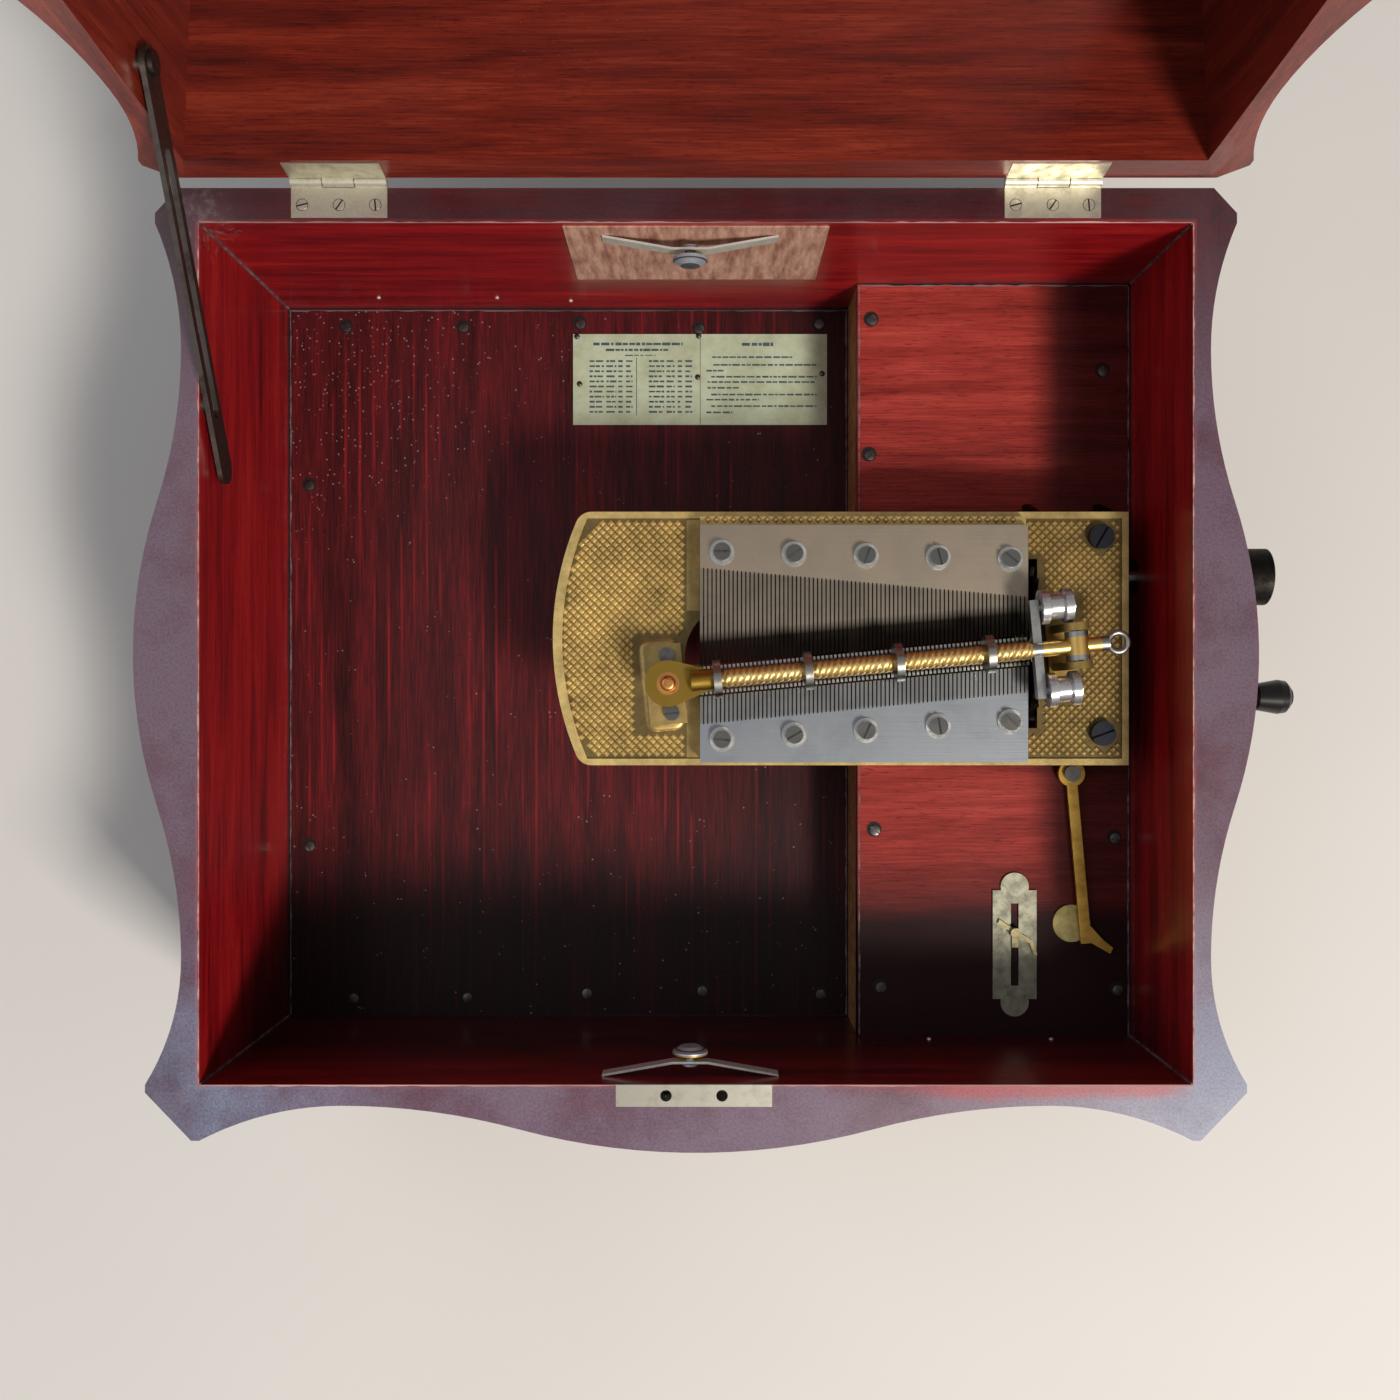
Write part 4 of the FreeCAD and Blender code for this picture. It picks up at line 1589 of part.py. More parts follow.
# winding arbor with its ratchet wheel, through the right wall to the crank
winding = new_body("winding")
CRANK_INNER = "bush_face + crank_gap"
CRANK_OUTER = f"{CRANK_INNER} + crank_hub_length"
add_shaft(winding, "winding_shaft", "frame_left", f"{CRANK_OUTER} - frame_left", "winding_radius")
RATCHET_START = f"{RIGHT_PLATE_IN} - ratchet_gap - ratchet_width"
ratchet_outline = []
tooth_step = 360 / val("ratchet_teeth")
for n in range(int(val("ratchet_teeth"))):
    for radius in ("ratchet_root", "ratchet_radius"):
        ratchet_outline.append((f"{radius} * cos({tooth_step * n})", f"{radius} * sin({tooth_step * n})"))
ratchet = sketch(winding, "ratchet_plan", ratchet_outline, role="YZ_Plane", offset=RATCHET_START)
pad(winding, "ratchet_wheel", ratchet, "ratchet_width")
piece(place(winding, "0", "winding_y", "winding_z"), "winding_arbor")

# click that drops into the ratchet wheel, on a pin of the right motor plate
click = new_body("click")
# the nose lies in the gap between two ratchet teeth
click_outline = [
    ("0.4", "ratchet_root + 0.5"),
    ("7.2", "ratchet_root + 1.7"),
    ("click_y", "click_z - click_round", "click_round", 1),
    ("click_y", "click_z + click_round"),
    ("0.4", "ratchet_root + 3.6"),
]
click_plan = sketch(click, "click_plan", click_outline, role="YZ_Plane", offset=RATCHET_START)
pad(click, "click_bar", click_plan, "ratchet_width")
click_circle = [("click_y", "click_z", "click_pin_radius + running_clearance")]
click_eye = sketch(click, "click_eye", circles=click_circle, role="YZ_Plane", offset=RATCHET_START)
pocket(click, "click_hole", click_eye)
piece(place(click, "0", "winding_y", "winding_z"), "ratchet_click")

# sprocket arbor: pinion that the great wheel drives, and the second wheel
MESH_TURN = "sprocket_bearing + 180 + 180 / drive_pinion_teeth"
sprocket_arbor = new_body("sprocket_arbor")
SECOND_START = f"{RIGHT_PLATE_IN} - second_gap - second_width"
add_gear(
    sprocket_arbor, "drive_pinion", "drive_pinion_teeth", "main_module", f"{GREAT_START} - pinion_overhang",
    "gear_width + 2 * pinion_overhang", MESH_TURN,
)
arbor_start = "(sprocket_at - hub_overhang)"
add_shaft(sprocket_arbor, "sprocket_shaft", arbor_start, f"frame_right - {arbor_start}", "arbor_radius")
add_gear(sprocket_arbor, "second_wheel", "second_teeth", "second_module", SECOND_START, "second_width")
piece(place(sprocket_arbor, "0", SPROCKET_Y, SPROCKET_Z), "sprocket_arbor")

# the sprocket itself: long round-shouldered teeth that enter the holes at the disc's edge
sprocket = new_body("sprocket")
web = [("0", "0", "sprocket_root")]
web_plan = sketch(sprocket, "sprocket_web", circles=web, role="YZ_Plane", offset="sprocket_at")
pad(sprocket, "sprocket_disc", web_plan, "sprocket_width")
peg_root, peg_neck = "sprocket_root - peg_seat", "sprocket_radius - peg_round"
peg = [
    (peg_root, "-peg_foot"),
    (peg_neck, "-peg_shoulder"),
    ("sprocket_radius", "-peg_tip"),
    ("sprocket_radius", "peg_tip"),
    (peg_neck, "peg_shoulder"),
    (peg_root, "peg_foot"),
]
peg_plan = sketch(sprocket, "peg_plan", peg, role="YZ_Plane", offset="sprocket_at")
peg_pad = pad(sprocket, "sprocket_peg", peg_plan, "sprocket_width")
pegs = sprocket.newObject("PartDesign::PolarPattern", "sprocket_pegs")
pegs.Originals = [peg_pad]
pegs.Axis = (origin_part(sprocket, "X_Axis"), [""])
pegs.Angle = 360
bind(pegs, Occurrences="sprocket_teeth")
sprocket.Tip = pegs
doc.recompute()
add_shaft(sprocket, "sprocket_hub", SPROCKET_RIGHT, "sprocket_hub_length", "sprocket_hub_radius")
hub_bore = sketch(sprocket, "hub_bore_plan", circles=[("0", "0", "arbor_radius")], role="YZ_Plane")
pocket(sprocket, "hub_bore", hub_bore)
piece(place(sprocket, "0", SPROCKET_Y, SPROCKET_Z), "drive_sprocket")

# worm wheel arbor
PINION_TURN = "worm_bearing + 180 + 180 / second_pinion_teeth"
worm_arbor = new_body("worm_arbor")
add_gear(
    worm_arbor, "second_pinion", "second_pinion_teeth", "second_module", f"{SECOND_START} - pinion_overhang",
    "second_width + 2 * pinion_overhang", PINION_TURN,
)
add_shaft(worm_arbor, "worm_shaft", "frame_left", "frame_right - frame_left", "worm_shaft_radius")
WHEEL_START = "governor_x - worm_wheel_width / 2"
WHEEL_TIP = f"({WHEEL_RADIUS} + worm_addendum)"
WHEEL_ROOT = f"({WHEEL_RADIUS} - worm_dedendum)"
add_shaft(worm_arbor, "worm_wheel_disc", WHEEL_START, "worm_wheel_width", WHEEL_ROOT)
tooth_foot = f"{WHEEL_ROOT} - worm_tooth_tip"
wheel_tooth = [
    (tooth_foot, "-worm_tooth_foot"),
    (WHEEL_TIP, "-worm_tooth_tip"),
    (WHEEL_TIP, "worm_tooth_tip"),
    (tooth_foot, "worm_tooth_foot"),
]
tooth_plan = sketch(worm_arbor, "worm_tooth_plan", wheel_tooth, role="YZ_Plane", offset=WHEEL_START)
wheel_pad = pad(worm_arbor, "worm_wheel_tooth", tooth_plan, "worm_wheel_width")
wheel_ring = worm_arbor.newObject("PartDesign::PolarPattern", "worm_wheel_teeth_ring")
wheel_ring.Originals = [wheel_pad]
wheel_ring.Axis = (origin_part(worm_arbor, "X_Axis"), [""])
wheel_ring.Angle = 360
bind(wheel_ring, Occurrences="worm_wheel_teeth")
worm_arbor.Tip = wheel_ring
doc.recompute()
piece(place(worm_arbor, "0", WORM_Y, WORM_Z), "worm_wheel_arbor")


def governor_worm():
    """The two-start worm: a ribbon section swept along a helix by Part's own functions."""
    lead = val("pi * worm_module * worm_starts")
    root, tip = val("worm_pitch_radius - worm_depth"), val("worm_pitch_radius + worm_height")
    length, seat = val("worm_length"), val("free_clearance")
    foot_half, tip_half = val("thread_half"), val("thread_half") / 3
    bottom = val(WORM_Z) - length / 2
    shape = Part.makeCylinder(root, length + 2 * tip, Vector(0, 0, bottom - tip))
    for number in range(round(val("worm_starts"))):
        helix = Part.makeHelix(lead, length, root)
        # the section reaches a little into the core, so that core and thread become one solid
        corners = [(root - seat, -foot_half), (tip, -tip_half), (tip, tip_half), (root - seat, foot_half)]
        points = [Vector(radius, 0, height) for radius, height in corners]
        thread = Part.Wire(helix.Edges).makePipeShell([Part.makePolygon(points + points[:1])], True, True)
        # the wheel's tooth at the bottom of its -Y side lies midway between two turns of thread
        starts = val("worm_starts")
        phase = 90 - 360 * (length / 2 + lead / (2 * starts)) / lead + 360 * number / starts
        thread.Placement = Placement(Vector(0, 0, bottom), Rotation(Z_AXIS, phase))
        shape = shape.fuse(thread)
    return shape.removeSplitter()


worm = doc.addObject("Part::Feature", "worm_thread")
worm.Shape = governor_worm()
worm.Placement = Placement(Vector(val("governor_x"), val(GOVERNOR_Y), 0), Rotation()).multiply(worm.Placement)
GOVERNOR_AXIS = ("governor_x", GOVERNOR_Y)
GOVERNOR_LENGTH = "governor_top - governor_bottom"
governor_shaft = rod("governor_shaft", "Z", *GOVERNOR_AXIS, "governor_bottom", "governor_radius", GOVERNOR_LENGTH)
collar = rod("brake_collar", "Z", *GOVERNOR_AXIS, "collar_level", "collar_radius", "collar_height")
fan_blades = []
for name, half_x, half_y in (("fan_wide", "fan_radius", "fan_half"), ("fan_deep", "fan_half", "fan_radius")):
    across = (f"governor_x - {half_x}", f"governor_x + {half_x}")
    along = (f"{GOVERNOR_Y} - {half_y}", f"{GOVERNOR_Y} + {half_y}")
    fan_blades.append(box(name, *across, *along, "fan_level", "fan_level + fan_height"))
piece(fuse("governor_blank", governor_shaft, collar, worm, *fan_blades), "governor")

# motor frame: two plates on the deck's edge, pillars, and the governor's two bridges
PLATE_FLOOR = "winding_z - barrel_radius - plate_floor"
plate_outline = [
    ("bed_front + plate_inset", "deck_level"),
    ("bed_front + plate_inset", BED_UNDER),
    ("bed_back - plate_inset", BED_UNDER),
    ("well_back + shoulder_width", "deck_level + shoulder_height"),
    ("well_back + shoulder_width", "deck_level"),
    ("well_back - plate_gap", "deck_level"),
    ("well_back - plate_gap", "deck_level - plate_back_drop"),
    ("winding_y + plate_floor_back", PLATE_FLOOR),
    ("well_front + plate_floor_front", PLATE_FLOOR),
    ("well_front + plate_gap", "deck_level - plate_front_drop"),
    ("well_front + plate_gap", "deck_level"),
]


def motor_plate(name, start):
    body = new_body(name)
    plan = sketch(body, name + "_plan", plate_outline, role="YZ_Plane", offset=start)
    pad(body, name + "_pad", plan, "frame_thickness")
    return body


PILLARS = [
    ("low_pillar_y", "low_pillar_z"),
    ("front_pillar_y", "front_pillar_z"),
    ("back_pillar_y", "back_pillar_z"),
    ("high_pillar_y", "high_pillar_z"),
]
pillars = [
    rod(f"pillar_{n}", "X", LEFT_PLATE_IN, y, z, "pillar_radius", f"{RIGHT_PLATE_IN} - ({LEFT_PLATE_IN})")
    for n, (y, z) in enumerate(PILLARS)
]
bridge_sides = (LEFT_PLATE_IN, RIGHT_PLATE_IN, f"{GOVERNOR_Y} - bridge_half", f"{GOVERNOR_Y} + bridge_half")
bridges = [
    box("low_bridge", *bridge_sides, "governor_bottom - bridge_depth", "governor_bottom + bridge_seat"),
    box("high_bridge", *bridge_sides, "governor_top - bridge_seat", BED_UNDER),
]
bolt_lugs = [
    box(
        f"bolt_lug_{n}", f"{x} - lug_half", RIGHT_PLATE_IN, f"{y} - lug_half", f"{y} + lug_half",
        f"{BED_UNDER} - lug_height", BED_UNDER,
    )
    for n, (x, y) in enumerate(BED_BOLTS)
]
click_pin = rod(
    "click_pin", "X", RATCHET_START, "winding_y + click_y", "winding_z + click_z", "click_pin_radius",
    f"{RIGHT_PLATE_IN} - ({RATCHET_START})",
)
ARBORS = [
    ("winding_y", "winding_z", "winding_radius"),
    (SPROCKET_Y, SPROCKET_Z, "arbor_radius"),
    (WORM_Y, WORM_Z, "worm_shaft_radius"),
]
bearings = [
    rod(f"bearing_{n}", "X", "frame_left", y, z, f"{radius} + running_clearance", "frame_right - frame_left")
    for n, (y, z, radius) in enumerate(ARBORS)
]
governor_bearing = rod(
    "governor_bearing", "Z", *GOVERNOR_AXIS, "governor_bottom - pivot_gap", "governor_radius + running_clearance",
    f"{GOVERNOR_LENGTH} + 2 * pivot_gap",
)
lug_taps = [
    rod(f"lug_tap_{n}", "Z", x, y, f"{BED_UNDER} - lug_tap", "screw_radius", "lug_tap")
    for n, (x, y) in enumerate(BED_BOLTS)
]
frame_blank = fuse(
    "frame_blank", motor_plate("left_plate", "frame_left"), motor_plate("right_plate", RIGHT_PLATE_IN),
    *pillars, *bridges, *bolt_lugs,
)
frame_bored = cut("frame_bored", frame_blank, governor_bearing, *bearings, *lug_taps)
piece(fuse("frame_whole", frame_bored, click_pin), "motor_frame")

# ---------------------------------------------------------------------------------------------------
# Crank outside the right wall
# ---------------------------------------------------------------------------------------------------
WINDING_AXIS = ("winding_y", "winding_z")
BUSH_LENGTH = f"bush_face - ({HALF_WIDTH})"
bush_tube = rod("bush_tube", "X", HALF_WIDTH, *WINDING_AXIS, "bush_radius", BUSH_LENGTH)
bush_plate = rod("bush_plate", "X", FLANGE_BACK, *WINDING_AXIS, "bush_flange", "bush_flange_thickness")
bush_bore = rod("bush_bore", "X", HALF_WIDTH, *WINDING_AXIS, "winding_radius + running_clearance", BUSH_LENGTH)
piece(cut("bush_cut", fuse("bush_blank", bush_tube, bush_plate), bush_bore), "crank_bush")

KNOB_Y = "winding_y - crank_throw"
ARM_START = f"{CRANK_INNER} + crank_arm_inset"
crank_hub = rod("crank_hub", "X", CRANK_INNER, *WINDING_AXIS, "crank_hub_radius", "crank_hub_length")
crank_bar = box(
    "crank_bar", ARM_START, f"{ARM_START} + crank_arm_thickness", KNOB_Y, "winding_y",
    "winding_z - crank_arm_width / 2", "winding_z + crank_arm_width / 2",
)
crank_end = rod("crank_end", "X", ARM_START, KNOB_Y, "winding_z", "crank_arm_width / 2", "crank_arm_thickness")
KNOB_START = f"{ARM_START} + crank_arm_thickness + free_clearance"
WASHER_START = f"{KNOB_START} + knob_length + free_clearance"
axle_length = f"{WASHER_START} + knob_washer_thickness / 2 - ({ARM_START})"
knob_axle = rod("knob_axle", "X", ARM_START, KNOB_Y, "winding_z", "knob_axle_radius", axle_length)
knob_washer = rod(
    "knob_washer", "X", WASHER_START, KNOB_Y, "winding_z", "knob_washer_radius", "knob_washer_thickness"
)
crank_bore = rod("crank_bore", "X", CRANK_INNER, *WINDING_AXIS, "winding_radius", "crank_hub_length")
crank_blank = fuse("crank_blank", crank_hub, crank_bar, crank_end, knob_axle, knob_washer)
piece(cut("crank_cut", crank_blank, crank_bore), "crank_arm")

knob = new_body("knob")
knob_profile = [
    ("0", "knob_axle_radius + running_clearance"),
    ("0", "knob_radius * 0.62"),
    ("2", "knob_radius * 0.78"),
    ("knob_length * 0.7", "knob_radius"),
    ("knob_length - 2", "knob_radius * 0.94"),
    ("knob_length", "knob_radius * 0.72"),
    ("knob_length", "knob_axle_radius + running_clearance"),
]
revolve(knob, "knob_turned", sketch(knob, "knob_profile", knob_profile), "X_Axis")
piece(place(knob, KNOB_START, KNOB_Y, "winding_z"), "crank_knob")

# ---------------------------------------------------------------------------------------------------
# Controls on the deck: stop lever over its ivory disc, and the speed plate with its pointer
# ---------------------------------------------------------------------------------------------------
lever = new_body("lever")
neck = "lever_ring * 0.6"
lever_outline = [
    ("lever_half", f"-({neck})"),
    ("lever_half", "-lever_length + 10"),
    ("9", "-lever_length + 2"),
    ("15", "-lever_length - 4"),
    ("13", "-lever_length - 7"),
    ("3", "-lever_length"),
    ("-lever_half", "-lever_length"),
    ("-lever_half", f"-({neck})"),
    ("-tail_half", neck),
    ("-tail_half", "lever_tail"),
    ("tail_half", "lever_tail"),
    ("tail_half", neck),
]
pad(lever, "lever_bar", sketch(lever, "lever_plan", lever_outline, offset="lever_level"), "lever_thickness")
ring_plan = sketch(lever, "lever_ring_plan", circles=[("0", "0", "lever_ring")], offset="lever_level")
pad(lever, "lever_boss", ring_plan, "lever_thickness + lever_boss")
lever_circle = [("0", "0", "screw_radius + running_clearance")]
pocket(lever, "lever_eye", sketch(lever, "lever_eye_plan", circles=lever_circle, offset="lever_level"))
piece(place(lever, "lever_x", "lever_y", "0", Z_AXIS, "lever_angle"), "stop_lever")

# shouldered screw that the lever turns on, kept with the other bright screws
HEAD_START = "lever_level + lever_thickness + lever_boss + free_clearance"
PIVOT = ("lever_x", "lever_y")
SHANK_START = "deck_level - pivot_depth"
collar_height = "lever_level - deck_level - free_clearance"
shank_length = f"{HEAD_START} + free_clearance - ({SHANK_START})"
pivot_screw = fuse(
    "pivot_blank",
    rod("pivot_shank", "Z", *PIVOT, SHANK_START, "screw_radius", shank_length),
    rod("pivot_collar", "Z", *PIVOT, "deck_level", "pivot_collar", collar_height),
    rod("pivot_head", "Z", *PIVOT, HEAD_START, "pivot_head", "pivot_head_height"),
)
piece(group("screw_set", *comb_screws, foot_screw_set, pivot_screw), "movement_screws")
stop_button = rod(
    "stop_button", "Z", "stop_disc_x", "stop_disc_y", "deck_level", "stop_disc_radius", "stop_disc_thickness"
)
piece(stop_button, "stop_disc")

speed = new_body("speed")
tab_at = "(speed_length / 2 - speed_tab_overlap)"
length_half = "(speed_length / 2 - speed_tab / 2)"
sheet_outline = rectangle("-speed_width / 2", f"-{length_half}", "speed_width / 2", length_half)
pad(speed, "speed_sheet", sketch(speed, "speed_plan", sheet_outline, offset="deck_level"), "speed_thickness")
tab_circles = [("0", f"-{tab_at}", "speed_tab"), ("0", tab_at, "speed_tab")]
tabs = sketch(speed, "speed_tabs", circles=tab_circles, offset="deck_level")
tab_pad = speed.newObject("PartDesign::Pad", "speed_tab_pad")
tab_pad.Profile = tabs
tab_pad.AllowMultiFace = True
bind(tab_pad, Length="speed_thickness")
slit = rectangle("-speed_slot_half", "-speed_slot / 2", "speed_slot_half", "speed_slot / 2")
pocket(speed, "speed_slot_cut", sketch(speed, "speed_slot_plan", slit, offset="deck_level"))
piece(place(speed, "speed_x", "speed_y", "0"), "speed_plate")

pointer_level = "deck_level + speed_thickness + free_clearance"
slider = new_body("slider")
block = rectangle("-slider_half", "-slider_length / 2", "slider_half", "slider_length / 2")
block_level = "deck_level + running_clearance"
block_plan = sketch(slider, "slider_plan", block, offset=block_level)
pad(slider, "slider_block", block_plan, f"{pointer_level} + pointer_thickness / 2 - ({block_level})")
pointer = [
    ("-9", "11"),
    ("10", "-1"),
    ("12.5", "-9"),
    ("10.5", "-9.6"),
    ("8.2", "-2.6"),
    ("-10", "8.8"),
]
pad(slider, "slider_pointer", sketch(slider, "pointer_plan", pointer, offset=pointer_level), "pointer_thickness")
knob_circle = [("0", "pointer_knob_at", "pointer_knob")]
knob_plan = sketch(slider, "slider_knob_plan", circles=knob_circle, offset=pointer_level)
pad(slider, "slider_knob", knob_plan, "pointer_knob_height")
piece(place(slider, "speed_x", "pointer_at", "0"), "speed_slider")

# ---------------------------------------------------------------------------------------------------
# Build, check and write
# ---------------------------------------------------------------------------------------------------
doc.recompute()
faults = [item.Name for item in doc.Objects if "Invalid" in item.State or "Error" in item.State]
if faults:
    raise RuntimeError(f"objects that failed: {faults}")
for feature in doc.Objects:
    if feature.TypeId == "PartDesign::Pocket" and feature.BaseFeature.Shape.Volume - feature.Shape.Volume < 1e-3:
        raise RuntimeError(f"{feature.Name} cuts nothing")
labels = [item.Label for item in PIECES]
if len(set(labels)) != len(labels):
    raise RuntimeError("two sub-parts share a name")

os.makedirs("parts", exist_ok=True)
for item in PIECES:
    shape = item.Shape
    if shape.isNull() or not shape.isValid() or not shape.Solids:
        raise RuntimeError(f"{item.Label} is not a valid solid")
    shape.exportStep(os.path.join("parts", item.Label + ".step"))
print(f"{len(PIECES)} sub-parts written")
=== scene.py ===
"""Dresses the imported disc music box: finishes, cast pattern, screws, rope-turned bar, light and camera."""
import logging
import math
import random
from collections.abc import Iterable
from dataclasses import dataclass
from enum import Enum

import bmesh
import bpy
from mathutils import Matrix, Vector


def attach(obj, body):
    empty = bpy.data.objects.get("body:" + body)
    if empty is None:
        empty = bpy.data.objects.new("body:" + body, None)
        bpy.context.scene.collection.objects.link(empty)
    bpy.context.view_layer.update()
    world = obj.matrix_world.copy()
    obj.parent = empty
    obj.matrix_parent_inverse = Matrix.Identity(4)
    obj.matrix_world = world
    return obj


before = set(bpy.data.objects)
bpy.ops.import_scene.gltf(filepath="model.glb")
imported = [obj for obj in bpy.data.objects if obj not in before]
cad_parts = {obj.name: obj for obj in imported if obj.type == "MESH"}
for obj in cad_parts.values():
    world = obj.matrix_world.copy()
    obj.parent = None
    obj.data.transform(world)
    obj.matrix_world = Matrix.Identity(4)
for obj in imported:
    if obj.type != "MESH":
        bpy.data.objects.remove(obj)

log = logging.getLogger("music_box")
MM = 0.001
SPINDLE = (-14.5, -14.5)
BAR_ANGLE = 5.25
WAYS = ((1, 0), (0, 1), (-1, 0), (0, -1))
SHARP = math.radians(38)
ARRIS = math.radians(50)
Place = tuple[float, float]
Point = tuple[float, float, float]
Span = tuple[float, float, float, float]
Mesh = bmesh.types.BMesh
Ring = list[bmesh.types.BMVert]
Tree = bpy.types.NodeTree
Node = bpy.types.Node
Socket = bpy.types.NodeSocket
Sockets = bpy.types.bpy_prop_collection
MADE: dict[str, bpy.types.Material] = {}
# what each kind of node takes, in the order in which the finishes give it
TAKES: dict[str, tuple[str | int, ...]] = {
    "Bump": ("Height", "Strength", "Distance"),
    "CombineXYZ": ("X", "Y", "Z"),
    "MapRange": ("Value", "From Min", "From Max", "To Min", "To Max"),
    "Mapping": ("Vector",),
    "Math": ("operation", 0, 1, 2),
    "Mix": ("data_type", "Factor", "A", "B"),
    "SeparateXYZ": ("Vector",),
    "TexNoise": ("Vector", "Scale", "Detail", "Roughness", "Distortion"),
    "TexVoronoi": ("Vector", "Scale"),
    "TexWave": ("Vector", "Scale", "Distortion", "Detail", "Detail Scale", "Detail Roughness"),
    "ValToRGB": ("Fac", "stops"),
    "VectorMath": ("operation", 0, 1),
}


class Along(Enum):
    """The way a grain, a brush or a roll ran over a surface."""

    X = 0
    Y = 1
    Z = 2


class Body(Enum):
    """The moving bodies that added pieces ride on."""

    CASE = "case"
    BAR = "pressure_bar"


# --- Nodes and colours ---
def linear(colour: str) -> Span:
    """Turns an sRGB hex colour into linear light.

    Args:
        colour: the colour as "#rrggbb".

    Returns:
        Red, green, blue and a full alpha.
    """
    channels = [int(colour[i : i + 2], 16) / 255 for i in (1, 3, 5)]
    return (*(c / 12.92 if c <= 0.04045 else ((c + 0.055) / 1.055) ** 2.4 for c in channels), 1.0)


def fill(tree: Tree, node: Node, values: dict) -> None:
    """Sets a node's properties and inputs, and links the ones that other nodes feed.

    Args:
        tree: the material's node tree.
        node: the node to fill.
        values: what each property or input gets: a plain value, a node, or one output of a node; "stops" fills a
            colour ramp, and a hex colour is turned into light.
    """
    for name, value in values.items():
        if name == "stops":
            ramp = node.color_ramp
            while len(ramp.elements) < len(value):
                ramp.elements.new(0.5)
            for element, (position, colour) in zip(ramp.elements, value):
                element.position = position
                element.color = linear(colour)
            continue
        if isinstance(name, str) and hasattr(node, name):
            setattr(node, name, value)
            continue
        free = (i for i in node.inputs if i.enabled and i.name == name)
        slot = node.inputs[name] if isinstance(name, int) else next(free)
        if isinstance(value, Node):
            value = next(output for output in value.outputs if output.enabled)
        if isinstance(value, Socket):
            tree.links.new(value, slot)
        else:
            slot.default_value = linear(value) if isinstance(value, str) else value


def add(tree: Tree, kind: str, *inputs: object, **settings: object) -> Node:
    """Adds a node with its settings and links.

    Args:
        tree: the material's node tree.
        kind: the node's type without "ShaderNode".
        inputs: what it takes, in the order that TAKES gives for its kind, as in fill.
        settings: more of its properties and inputs by name.

    Returns:
        The new node.
    """
    node = tree.nodes.new("ShaderNode" + kind)
    fill(tree, node, dict(zip(TAKES.get(kind, ()), inputs)) | settings)
    return node


# --- Finishes ---
@dataclass(frozen=True)
class Finish:
    """A surface treatment that becomes one material, made once."""

    name: str

    def material(self) -> bpy.types.Material:
        """Gives the finish's material, building it the first time."""
        if self.name not in MADE:
            made = MADE[self.name] = bpy.data.materials.new(self.name)
            made.use_nodes = True
            tree = made.node_tree
            where = add(tree, "TexCoord").outputs["Object"]
            fill(tree, tree.nodes["Principled BSDF"], self.paint(tree, where))
        return MADE[self.name]

    def paint(self, tree: Tree, where: Socket) -> dict:
        """Builds the nodes; each finish has its own.

        Args:
            tree: the material's node tree.
            where: object coordinates.

        Returns:
            What the inputs of the surface get.
        """
        raise NotImplementedError

    @staticmethod
    def stretched(tree: Tree, where: Socket, along: Along, length_mm: float, width_mm: float) -> Node:
        """Object coordinates in units of one grain: long one way and narrow the other two.

        Args:
            tree: the material's node tree.
            where: object coordinates.
            along: the long way.
            length_mm: length of one unit that way.
            width_mm: width of one unit across.

        Returns:
            The node that gives the coordinates.
        """
        scale = [1 / (width_mm * MM)] * 3
        scale[along.value] = 1 / (length_mm * MM)
        return add(tree, "Mapping", where, Scale=scale)

    @staticmethod
    def painted_front_and_side_shade(tree: Tree, where: Socket, colour: Node, front: Point, side: Point, tone: str) -> Node:
        """Paints shade into a surface towards the front and towards one side, standing in for the shadows that the
        walls and the bedplate cast there.

        Args:
            tree: the material's node tree.
            where: object coordinates.
            colour: the colour so far.
            front: where the painted shade begins and where it is full, in metres along Y, and how full it is.
            side: the same along X.
            tone: the colour of the painted shade.

        Returns:
            The colour with its painted shade.
        """
        place = add(tree, "SeparateXYZ", where).outputs
        ahead = add(tree, "MapRange", place["Y"], front[0], front[1], 0.0, front[2])
        aside = add(tree, "MapRange", place["X"], side[0], side[1], 0.0, side[2])
        painted_shade = add(tree, "Math", "MAXIMUM", ahead, aside)
        return add(tree, "Mix", "RGBA", painted_shade, colour, tone)

    @staticmethod
    def heaped(tree: Tree, where: Socket, corner: Point, near: Point, grains: Point, kept: Point) -> Node:
        """Gathers dust by chance, and more of it in a corner.

        Args:
            tree: the material's node tree.
            where: object coordinates.
            corner: the corner, in metres.
            near: the reach at which the corner begins to tell, the one at which it tells most, and by how much.
            grains: the scale, detail and roughness of the chance.
            kept: the sum at which dust begins, the one at which it is full, and how full it is.

        Returns:
            How far dust covers the surface, from 0 to 1.
        """
        reach = add(tree, "VectorMath", "DISTANCE", where, corner)
        pull = add(tree, "MapRange", reach, near[0], near[1], 0.0, near[2])
        heap = add(tree, "Math", "ADD", pull, add(tree, "TexNoise", where, *grains))
        return add(tree, "MapRange", heap, kept[0], kept[1], 0.0, kept[2])


